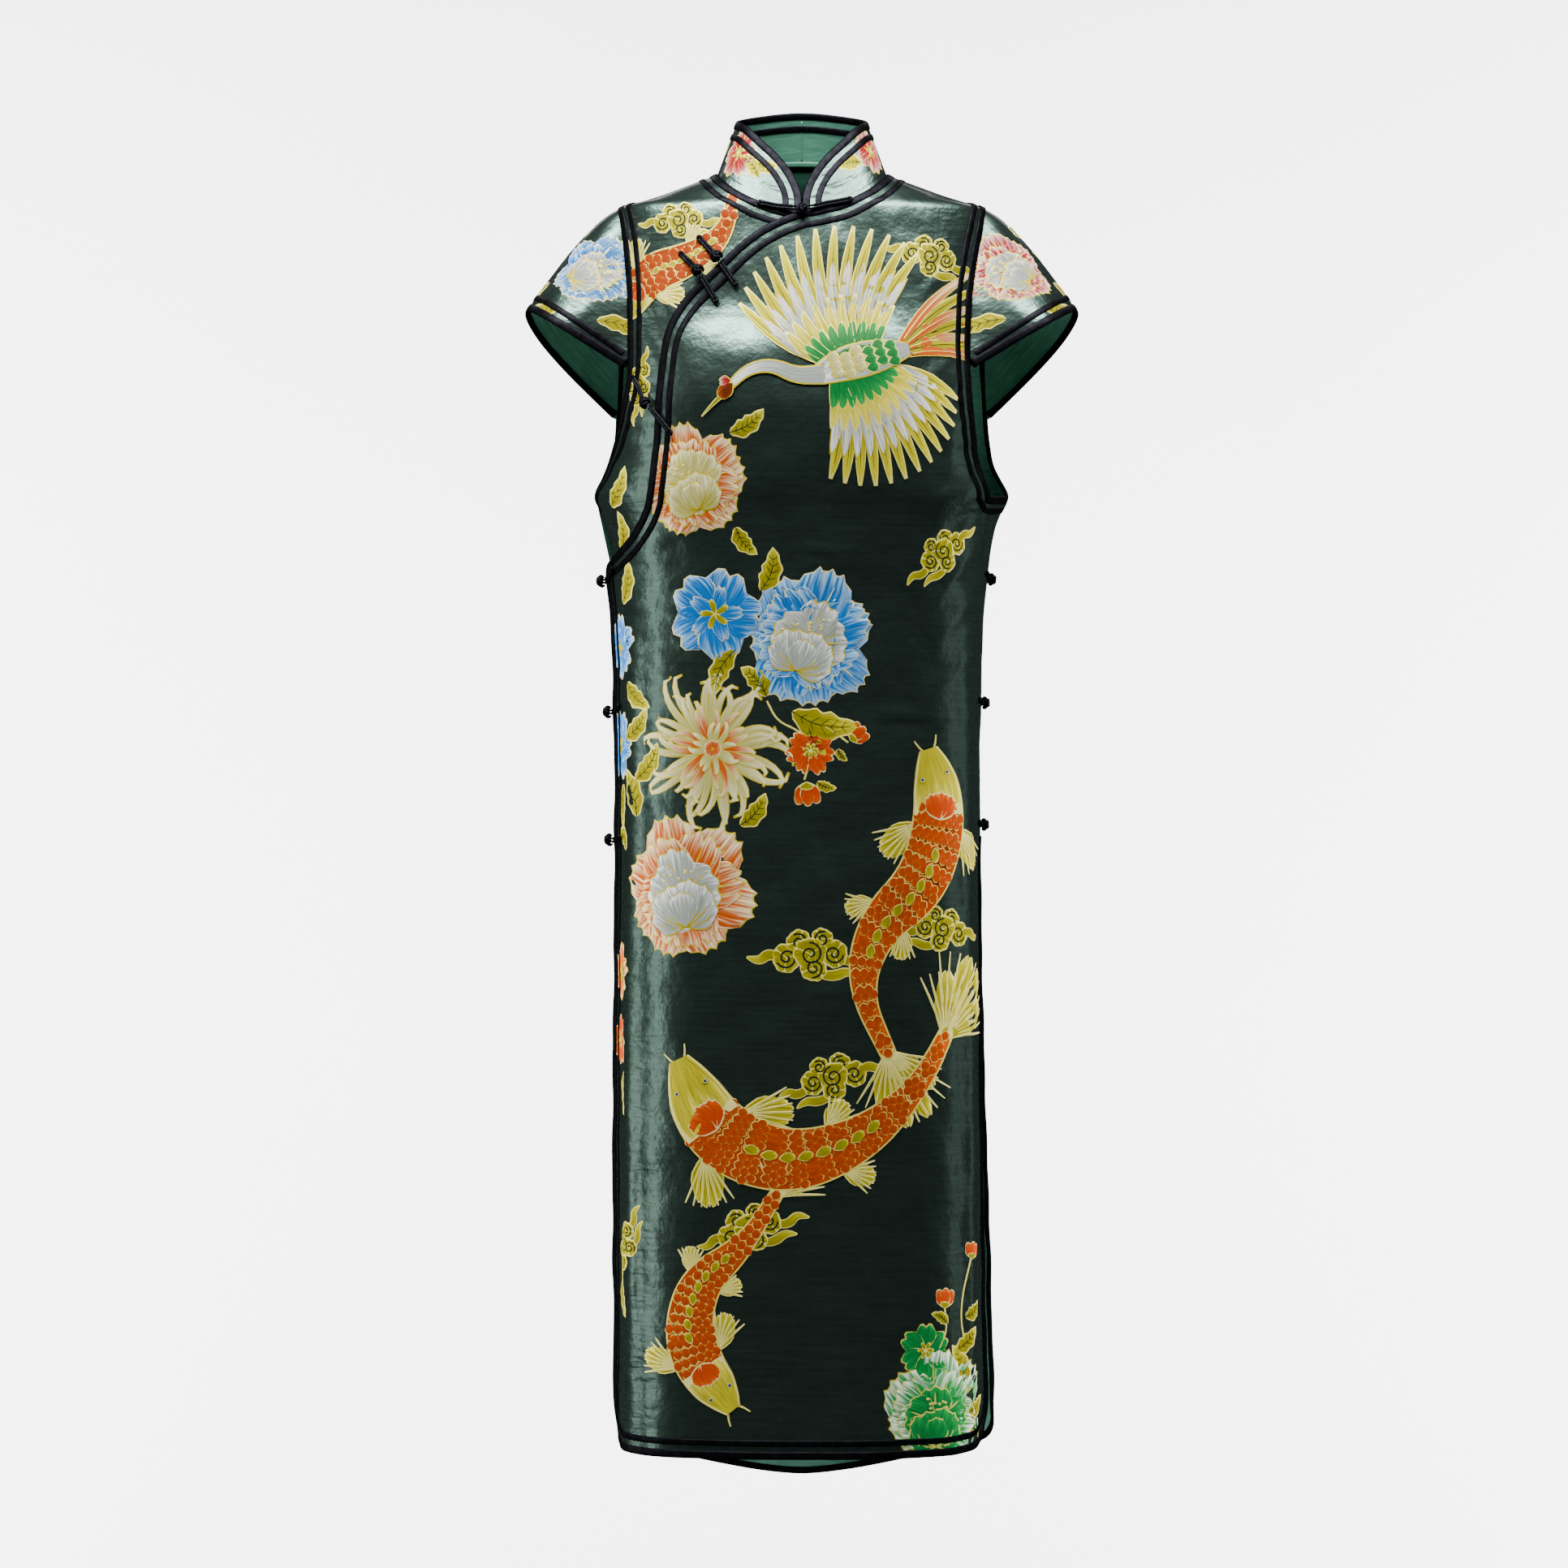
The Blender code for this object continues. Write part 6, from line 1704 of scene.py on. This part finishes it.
def fin(weave, place, heading, length, width, layer=0, rays=7, spread=0.9):
    """A fin or tail lobe: long gilt rays over a golden web."""
    lay(weave, turned(petal(length, width, 4, 0.12, columns=11), heading, place), GOLD, layer, 0.6)
    for k in range(rays):
        swing = spread * (k / (rays - 1) - 0.5)
        ray = flowing(((0, 0.1 * length), (0, 0.5 * length), (-swing * 4, 0.97 * length)), 6)
        band = ribbon(turned(ray, heading + swing, place), (0.7, 1.0, 1.2, 1.2, 1.0, 0.6))
        lay(weave, band, PALE_GOLD, layer + 1, 0.6)


def koi(weave, points, width, layer=0):
    """A koi seen from above, along a line from its nose to its tail."""
    spine = flowing(points, KOI_STEPS + 1)
    run = lengths(spine)
    knots = np.array(KOI_WIDTHS)
    widths = width * monotone(run / run[-1], knots[:, 0], knots[:, 1])
    ahead = directions(ahead_of(spine))
    side = np.stack((ahead[:, 1], -ahead[:, 0]), axis=-1)
    heading = np.arctan2(ahead[:, 1], ahead[:, 0])
    for hand in (-1, 1):
        for at, long, swing, wide in ((0.24, 1.6, 0.75, 0.5), (0.56, 1.05, 0.6, 0.36)):
            k = int(at * KOI_STEPS)
            root = spine[k] + side[k] * hand * widths[k] * 0.8
            fin(weave, root, heading[k] - hand * swing, width * long, width * wide, layer)
        for number, swing in enumerate((0.16, 0.5)):
            root, way = spine[-1] - ahead[-1] * 4, heading[-1] - hand * swing
            fin(weave, root, way, width * (2.6 - 0.6 * number), width * 0.4, layer + number)
    lay(weave, ribbon(spine, widths), SCALE, layer + 2)
    for row in range(int(run[-1] * 0.84 / SCALE_STEP)):
        k = min(int(np.searchsorted(run, run[-1] * 0.985 - row * SCALE_STEP)), KOI_STEPS)
        room = widths[k] - 1.2
        count = max(1, int(2 * room / SCALE_STEP)) + row % 2
        for j in range(count):
            offset = (j - (count - 1) / 2) * SCALE_STEP
            if abs(offset) <= room - 2.0:
                shape = petal(SCALE_STEP * 1.4, SCALE_STEP * 0.58, 0, 0.0, 0.66, 0.42, columns=3)
                start = spine[k] + side[k] * offset - ahead[k] * SCALE_STEP
                lay(weave, turned(shape, heading[k], start), SCALE, layer + 3, 0.0, 0.0, 0.1)
    face = slice(0, KOI_HEAD, 2)
    lay(weave, ribbon(spine[face], widths[face] * 0.96), PALE_GOLD, layer + 5, 0.5)
    for swing in (-0.5, 0.5, 0.0):
        crown = petal(width * 0.95, width * 0.34, 3, columns=7)
        lay(weave, turned(crown, heading[KOI_HEAD] + math.pi + swing, spine[KOI_HEAD]), CORAL, layer + 6)
    for hand in (-1, 1):
        eye = spine[KOI_EYE] + side[KOI_EYE] * hand * widths[KOI_EYE] * 0.62
        for size, wide, shades, depth in ((5.4, 2.9, WHITE, 7), (2.8, 1.4, GROUND, 8)):
            root = eye - ahead[KOI_EYE] * size / 2
            lay(weave, turned(petal(size, wide, columns=3), heading[KOI_EYE], root), shades, layer + depth)
        beard = (
            spine[1] + side[1] * hand * 3,
            spine[0] + side[0] * hand * 9 - ahead[0] * 3,
            spine[0] + side[0] * hand * 12 - ahead[0] * 11,
        )
        lay(weave, ribbon(flowing(beard, 8), np.linspace(1.3, 0.6, 8)), GOLD, layer + 1, 1.0)
    for k in range(18, 42, 3):
        spike = petal(width * 0.5, width * 0.15, columns=3)
        lay(weave, turned(spike, heading[k] + 0.25, spine[k]), GOLD, layer + 6 + (k // 3) % 2, 1.0)


def crane(weave, place, size, heading, hand=1, layer=0):
    """A flying crane: three ranks of feathers on each wing, a long neck ahead and plumes behind."""
    place = np.array(place, float)

    def at(x, y):
        """A place in the bird's own frame, x ahead along its body and y up to its nearer wing."""
        return place + size * np.array((
            x * math.cos(heading) - hand * y * math.sin(heading),
            x * math.sin(heading) + hand * y * math.cos(heading),
        ))

    def feather(root, angle, length, width, shades, depth, gilt=0.0):
        bow = 0.12 * length * hand
        path = flowing(((0, 0), (bow, length * 0.5), (bow * 0.3, length)), 9)
        widths = size * width * np.sin(math.pi * np.linspace(0.1, 0.96, 9)) ** 0.6
        path = turned(path * size, heading + hand * angle, at(*root))
        lay(weave, ribbon(path, widths), shades, layer + depth, gilt)
        if length > 0.4:
            shaft = ribbon(path[1:-1], np.linspace(0.5, 0.25, 7))
            lay(weave, shaft, GROUND if shades is GOLD else GOLD, layer + depth + 1, 0.0, 0.0)

    for k in range(7):
        shades = GOLD if k % 2 else ORANGE
        feather((-0.30, 0.0), math.pi + 0.42 - 0.14 * k, near(0.85, 0.16), 0.04, shades, 1)
    wings = ((0.02, 0.04, 2.35, 0.95, 1.0, 3), (0.05, -0.04, -2.5, -1.2, 0.86, 1))
    for root_x, root_y, first, last, long, depth in wings:
        ranks = (
            (13, 1.00, 0.047, GOLD),
            (12, 0.76, 0.047, WHITE),
            (10, 0.50, 0.046, PALE_GOLD),
            (9, 0.30, 0.044, GREEN),
        )
        for rank, (count, reach, width, shades) in enumerate(ranks):
            for k in range(count):
                share = k / (count - 1)
                angle = first + (last - first) * share
                far = long * reach * (0.62 + 0.38 * math.sin(math.pi * (0.2 + 0.62 * share)))
                step = 0.22 * share
                root = (root_x - 0.16 + step * 1.3, root_y * (1 + step))
                feather(root, angle, far, width, shades, depth + rank, 0.3 * (rank == 0))
    body = flowing((at(-0.42, 0.0), at(-0.2, 0.02), at(0.1, 0.03), at(0.34, 0.0)), 15)
    widths = size * 0.13 * np.sin(math.pi * np.linspace(0.08, 0.93, 15)) ** 0.7
    lay(weave, ribbon(body, widths), WHITE, layer + 7)
    for row in range(6):
        for j in range(-1, 2):
            start = at(-0.24 + row * 0.085, 0.01 + 0.06 * (j + 0.5 * (row % 2)))
            scale = turned(petal(size * 0.1, size * 0.04, columns=3), heading + math.pi, start)
            lay(weave, scale, GREEN if row < 3 else CREAM, layer + 8, slope=0.08)
    neck = flowing((at(0.22, 0.0), at(0.42, 0.05), at(0.56, 0.18), at(0.74, 0.2), at(0.9, 0.12)), 17)
    lay(weave, ribbon(neck, size * np.linspace(0.075, 0.032, 17)), WHITE, layer + 8)
    crest = petal(size * 0.15, size * 0.055, columns=5)
    lay(weave, turned(crest, heading - hand * 0.45, at(0.86, 0.14)), RUST, layer + 9)
    crown = petal(size * 0.09, size * 0.04, 2, columns=5)
    lay(weave, turned(crown, heading + hand * 0.2, at(0.87, 0.16)), RED, layer + 10)
    beak = flowing((at(0.97, 0.08), at(1.06, 0.04), at(1.15, -0.01)), 5)
    lay(weave, ribbon(beak, size * np.array((0.018, 0.016, 0.012, 0.009, 0.006))), GOLD, layer + 9, 1.0)
    eye = turned(petal(1.8, 0.9, columns=3), heading, at(0.93, 0.115))
    lay(weave, eye, GROUND, layer + 11)
    for y in (-0.04, 0.04):
        leg = flowing((at(-0.35, y), at(-0.7, y * 2), at(-1.0, y * 1.2), at(-1.12, y * 2.4)), 9)
        lay(weave, ribbon(leg, size * np.full(9, 0.012)), RUST, layer)


def strew(rows):
    """The floats of a table of motifs: what each is, its place on the cloth, and its own details."""
    weave = []
    for motif, *details in rows:
        motif(weave, *details)
    return weave


front_flowers = strew((
    (peony, (-108, -312), 60, 1.9, ORANGE, CREAM),
    (leaf, (-70, -262), 0.6, 40, 9),
    (leaf, (-150, -262), 2.0, 40, 9),
    (leaf, (-64, -352), -0.9, 34, 8),
    (peony, (4, -464), 71, 1.2, BLUE, WHITE),
    (blossom, (-84, -436), 48, 5, BLUE, 1.2),
    (leaf, (-40, -414), 1.3, 44, 10),
    (leaf, (-64, -470), -2.0, 50, 10),
    (stem, ((-34, -520), (-24, -540), (-4, -548), (8, -562))),
    (leaf, (-34, -516), 2.3, 38, 10),
    (leaf, (-10, -530), -0.2, 68, 14),
    (leaf, (6, -544), -1.0, 34, 9),
    (chrysanthemum, (-86, -566), 72, CREAM, ORANGE),
    (stem, ((14, -540), (28, -548), (44, -560))),
    (stem, ((6, -580), (4, -590), (2, -596))),
    (blossom, (8, -568), 25, 7, CORAL),
    (bud, (46, -558), 20, 0.7, CORAL),
    (bud, (4, -598), 24, -1.5, CORAL),
    (leaf, (34, -566), -0.9, 15, 4),
    (leaf, (14, -598), -0.3, 20, 5),
    (peony, (-118, -708), 76, 1.75, ORANGE, WHITE),
    (leaf, (-60, -640), 0.9, 40, 9),
    (leaf, (-170, -632), 2.0, 52, 11),
    (leaf, (-172, -596), 0.9, 46, 10),
    (leaf, (-186, -664), 2.6, 36, 9),
    (blossom, (-206, -466), 33, 6, BLUE, 0.4),
    (leaf, (-194, -424), 1.3, 44, 10),
    (leaf, (-184, -500), -0.7, 40, 9),
    (blossom, (-210, -560), 36, 6, BLUE, 0.9),
    (leaf, (-186, -556), 0.8, 42, 9),
    (leaf, (-200, -600), -1.6, 44, 10),
    (blossom, (-208, -784), 30, 6, ORANGE, 0.3),
    (blossom, (-210, -850), 26, 6, CORAL, 0.8),
    (leaf, (-196, -880), -1.3, 44, 9),
    (cloud, (-184, -1050), 24, 1.3, 1),
    (leaf, (-196, -1084), -1.2, 38, 9),
    (peony, (132, -1216), 64, 1.6, JADE, GREEN),
    (stem, ((128, -1160), (146, -1132), (142, -1108))),
    (stem, ((156, -1200), (170, -1150), (160, -1110), (176, -1060))),
    (blossom, (122, -1148), 28, 6, GREEN),
    (bud, (142, -1108), 20, 1.5, CORAL),
    (bud, (176, -1062), 17, 1.4, CORAL),
    (leaf, (156, -1150), 0.7, 34, 8),
    (leaf, (166, -1186), 1.9, 44, 9),
    (leaf, (146, -1124), 2.6, 22, 5),
    (leaf, (168, -1118), 0.6, 26, 7),
    (leaf, (170, -1210), 0.4, 34, 8),
    (cloud, (126, -88), 28, -0.15, 1),
    (cloud, (142, -376), 27, 0.5, -1),
    (cloud, (8, -766), 35, 0.1, 1),
    (cloud, (140, -742), 30, -0.2, -1),
    (cloud, (30, -884), 31, 0.2, -1),
    (cloud, (-50, -1030), 31, 0.4, 1),
))
weave_in("front_flowers_and_clouds", front_flowers, front_ground)
front_animals = strew((
    (koi, ((124, -566), (142, -628), (122, -694), (70, -738), (54, -798), (84, -862)), 30, 3),
    (koi, ((-120, -866), (-86, -938), (-18, -968), (54, -946), (108, -900), (144, -842)), 33, 3),
    (koi, ((-66, -1204), (-112, -1146), (-104, -1084), (-56, -1046), (-24, -994)), 25, 3),
    (crane, (50, -198), 134, 3.45, -1, 3),
))
weave_in("front_koi_and_crane", front_animals, front_ground)
small_front_motifs = strew((
    (cloud, (-122, -52), 25, 0.1, 1),
    (cloud, (-168, -212), 22, 1.2, -1),
    (leaf, (-206, -330), 1.1, 44, 10),
    (leaf, (-196, -380), 1.6, 46, 10),
    (koi, ((-186, -146), (-156, -104), (-112, -92), (-74, -66), (-66, -20)), 21, 3),
))
weave_in("small_front_koi", small_front_motifs, flap_ground)
# On each sleeve the front is below 0 across, and the level is the height over the hem
for side_name, outer in (("right", BLUE), ("left", RED)):
    sleeve_motifs = strew((
        (leaf, (-96, 28), 2.7, 44, 10),
        (leaf, (-16, 34), -0.5, 42, 9),
        (leaf, (-64, 14), -0.2, 40, 9),
        (leaf, (-4, 92), 1.0, 36, 9),
        (leaf, (-98, 58), 2.2, 34, 9),
        (peony, (-52, 66), 47, 1.9, outer, WHITE),
        (leaf, (88, 30), 0.3, 40, 9),
        (leaf, (22, 50), 2.4, 32, 8),
        (blossom, (56, 56), 33, 6, ORANGE),
        (bud, (14, 96), 19, 1.2, CORAL),
    ))
    weave_in(f"{side_name}_sleeve_flowers", sleeve_motifs, sleeves[side_name][2])
# On the collar, 0 across is the centre back and the wearer's right is above 0
collar_motifs = strew((
    (leaf, (196, 22), 2.9, 34, 8),
    (leaf, (186, 34), 0.3, 30, 7),
    (leaf, (122, 20), 2.6, 32, 8),
    (blossom, (156, 30), 25, 6, RED, 0.4),
    (leaf, (-120, 18), 0.4, 32, 8),
    (leaf, (-170, 26), 2.9, 30, 8),
    (blossom, (-146, 28), 24, 6, RED, 1.1),
    (leaf, (36, 24), 0.2, 34, 8),
    (leaf, (-40, 26), 3.0, 34, 8),
    (blossom, (0, 28), 21, 6, ORANGE, 0.8),
))
weave_in("collar_flowers", collar_motifs, collar_ground)
# The back isn't in the photograph: it is given like motifs, in an arrangement of its own
back_flowers = strew((
    (peony, (112, -318), 62, 1.4, ORANGE, CREAM),
    (leaf, (70, -266), 2.4, 42, 10),
    (leaf, (160, -268), 0.9, 42, 10),
    (leaf, (150, -370), -0.8, 40, 9),
    (peony, (-110, -432), 72, 1.8, BLUE, WHITE),
    (blossom, (-18, -420), 48, 5, BLUE, 1.9),
    (leaf, (-58, -376), 1.6, 46, 10),
    (leaf, (-44, -474), -1.2, 52, 11),
    (leaf, (-176, -492), -2.2, 44, 10),
    (chrysanthemum, (-30, -548), 72, CREAM, ORANGE),
    (stem, ((-96, -500), (-110, -530), (-104, -552), (-112, -580))),
    (blossom, (-118, -560), 25, 7, CORAL),
    (bud, (-160, -552), 20, 2.4, CORAL),
    (bud, (-114, -594), 22, -1.6, CORAL),
    (peony, (-94, -694), 74, 1.5, ORANGE, WHITE),
    (leaf, (-30, -640), 0.8, 46, 10),
    (leaf, (-160, -636), 2.2, 46, 10),
    (leaf, (-168, -716), 2.9, 46, 10),
    (leaf, (-36, -742), -0.7, 46, 10),
    (blossom, (220, -480), 36, 6, BLUE, 0.4),
    (blossom, (226, -580), 32, 6, ORANGE, 1.0),
    (leaf, (208, -524), 1.9, 44, 10),
    (leaf, (214, -620), -1.2, 46, 10),
    (blossom, (-226, -640), 36, 6, BLUE, 0.9),
    (blossom, (-224, -760), 30, 6, ORANGE, 0.2),
    (leaf, (-214, -684), -1.7, 46, 10),
    (leaf, (-212, -800), -1.4, 46, 10),
    (peony, (-134, -1206), 62, 1.5, JADE, GREEN),
    (blossom, (-128, -1124), 28, 6, GREEN),
    (bud, (-150, -1086), 19, 1.7, CORAL),
    (leaf, (-168, -1150), 1.9, 44, 10),
    (leaf, (-84, -1150), 0.9, 40, 9),
    (peony, (214, -1170), 50, 2.4, RED, WHITE),
    (leaf, (200, -1104), 1.2, 46, 10),
    (cloud, (-120, -96), 29, 0.2, 1),
    (cloud, (-138, -300), 28, -0.3, -1),
    (cloud, (84, -452), 30, 0.3, 1),
    (cloud, (20, -840), 33, 0.1, -1),
    (cloud, (172, -880), 30, -0.2, 1),
    (cloud, (-180, -960), 30, 0.3, -1),
    (cloud, (90, -1120), 31, 0.2, 1),
))
weave_in("back_flowers_and_clouds", back_flowers, back_ground)
back_animals = strew((
    (crane, (-34, -190), 142, 5.9, 1, 3),
    (koi, ((176, -520), (150, -590), (158, -660), (120, -722), (64, -764), (52, -820)), 30, 3),
    (koi, ((84, -1084), (116, -1010), (80, -944), (-4, -920), (-84, -952), (-120, -1016)), 33, 3),
))
weave_in("back_koi_and_crane", back_animals, back_ground)

# The studio, in metres: a pale floor and wall in one sweep, a soft light above for the motifs, two high
# ones that catch the bust, two upright ones for the sides, two behind and two on the wall, and a camera
# level with the hips, as in the photograph.
CAMERA_REACH = 5.0
CAMERA_HEIGHT = -0.600
CAMERA_SIDE = -0.0176
FRAME_WIDTH = 1.5456
SENSOR = 36.0
FLOOR = -1.95
WALL_BACK = 2.6
SWEEP_DEEP = 3.8
SWEEP_SPREAD = 0.85
SWEEP_HIGH = 5.0
SWEEP_BEND = 1.0
BY_EDGE = 0.1
WASH_ACROSS = 2.5
WASH_REACH = 3.66


def choose_edges(piece, wanted):
    """Select the edges whose two ends are both wanted; edit mode stays on."""
    bpy.ops.object.mode_set(mode="OBJECT")
    for edge in piece.data.edges:
        edge.select = all(wanted(piece.data.vertices[k].co) for k in edge.vertices)
    for vertex in piece.data.vertices:
        vertex.select = wanted(vertex.co)
    for face in piece.data.polygons:
        face.select = all(wanted(piece.data.vertices[k].co) for k in face.vertices)
    bpy.ops.object.mode_set(mode="EDIT")
    bpy.ops.mesh.select_mode(type="EDGE")


def studio_sweep():
    """Floor and wall as one sheet: a plane, its far edge pulled up, and the bend between them rounded."""
    bpy.ops.object.select_all(action="DESELECT")
    bpy.ops.mesh.primitive_plane_add(size=SWEEP_DEEP, location=(0.0, WALL_BACK - SWEEP_DEEP / 2, FLOOR))
    sweep = bpy.context.object
    sweep.name = "backdrop"
    bpy.ops.object.transform_apply(location=True, rotation=True, scale=True)
    bpy.ops.object.mode_set(mode="EDIT")
    bpy.ops.transform.resize(value=(SWEEP_SPREAD, 1.0, 1.0))
    choose_edges(sweep, lambda p: p.y > WALL_BACK - BY_EDGE)
    bpy.ops.mesh.extrude_region_move(TRANSFORM_OT_translate={"value": (0.0, 0.0, SWEEP_HIGH)})
    choose_edges(sweep, lambda p: p.y > WALL_BACK - BY_EDGE and p.z < FLOOR + BY_EDGE)
    bpy.ops.mesh.bevel(offset=SWEEP_BEND, segments=16)
    bpy.ops.object.mode_set(mode="OBJECT")
    sweep.data.shade_smooth()
    material, tree, shader = new_material("matt_pale_paper")
    place = add(tree, "TexCoord")
    grain = add(tree, "TexNoise", [(place.outputs["Object"], 0)], Scale=2.0, Detail=2.0)
    tint = add(tree, "ValToRGB", [(grain.outputs[0], 0)], ((0.0, "f3f3f3"), (1.0, "f6f6f6")))
    tree.links.new(tint.outputs[0], shader.inputs["Base Color"])
    shader.inputs["Roughness"].default_value = 0.95
    shader.inputs["Specular IOR Level"].default_value = 0.1
    # From behind the paper is clear, so that the dress can be looked at from all sides
    face = add(tree, "NewGeometry")
    clear = add(tree, "BsdfTransparent")
    inputs = [(face.outputs["Backfacing"], 0), (shader.outputs[0], 1), (clear.outputs[0], 2)]
    sides = add(tree, "MixShader", inputs)
    output = next(node for node in tree.nodes if node.type == "OUTPUT_MATERIAL")
    tree.links.new(sides.outputs[0], output.inputs["Surface"])
    sweep.data.materials.append(material)
    # The satin doesn't mirror the paper, as it hangs well in front of it
    sweep.visible_glossy = False


def soft_light(name, bearing, rise, reach, size, power, target=(0.0, 0.0, CAMERA_HEIGHT)):
    """A soft light aimed at its target; bearing in degrees from the front to the wearer's left."""
    data = bpy.data.lights.new(name, "AREA")
    data.shape = "RECTANGLE"
    data.size, data.size_y = size
    data.energy = power
    light = bpy.data.objects.new(name, data)
    bpy.context.scene.collection.objects.link(light)
    across, up = math.radians(bearing), math.radians(rise)
    aim = (math.sin(across) * math.cos(up), -math.cos(across) * math.cos(up), math.sin(up))
    light.location = [t + reach * a for t, a in zip(target, aim)]
    light.rotation_euler = (math.pi / 2 - up, 0.0, across)
    return light


studio_sweep()
CHEST = (0.0, 0.0, -0.17)
soft_light("overhead", 0, 68, 2.7, (2.2, 1.0), 150.0, (0.0, 0.0, -0.5))
soft_light("high_left", 48, 55, 2.7, (0.7, 0.5), 45.0, CHEST)
soft_light("high_right", -42, 56, 2.7, (1.3, 0.5), 90.0, CHEST)
soft_light("side_left", 82, 2, 2.5, (0.3, 2.4), 3.0)
soft_light("side_right", -70, 2, 2.5, (0.35, 2.4), 18.0)
soft_light("behind_left", 152, 36, 2.2, (0.6, 0.5), 26.0, CHEST)
soft_light("behind_right", -156, 33, 2.2, (0.8, 0.5), 32.0, CHEST)
# The lights on the wall shine from beside the dress, and the satin doesn't mirror them
for name, across in (("wall_left", WASH_ACROSS), ("wall_right", -WASH_ACROSS)):
    bearing = math.degrees(math.atan2(1.25 * across, WALL_BACK - 0.7))
    aim = (-0.25 * across, WALL_BACK, CAMERA_HEIGHT)
    wash = soft_light(name, bearing, 0, WASH_REACH, (0.8, 2.6), 380.0, aim)
    wash.visible_glossy = False

camera_data = bpy.data.cameras.new("camera")
camera_data.sensor_width = SENSOR
camera_data.lens = SENSOR * CAMERA_REACH / FRAME_WIDTH
camera = bpy.data.objects.new("camera", camera_data)
bpy.context.scene.collection.objects.link(camera)
camera.location = (CAMERA_SIDE, -CAMERA_REACH, CAMERA_HEIGHT)
camera.rotation_euler = (math.pi / 2, 0.0, 0.0)
bpy.context.scene.camera = camera

world = bpy.data.worlds.new("studio")
bpy.context.scene.world = world
world.use_nodes = True
background = world.node_tree.nodes["Background"]
background.inputs["Color"].default_value = colour("ffffff")
# Pale where the camera sees it, and nearly dark as a light
ray = add(world.node_tree, "LightPath")
strength = add(world.node_tree, "MapRange", [(ray.outputs["Is Camera Ray"], 0)], To_Min=0.04, To_Max=0.8)
world.node_tree.links.new(strength.outputs[0], background.inputs["Strength"])
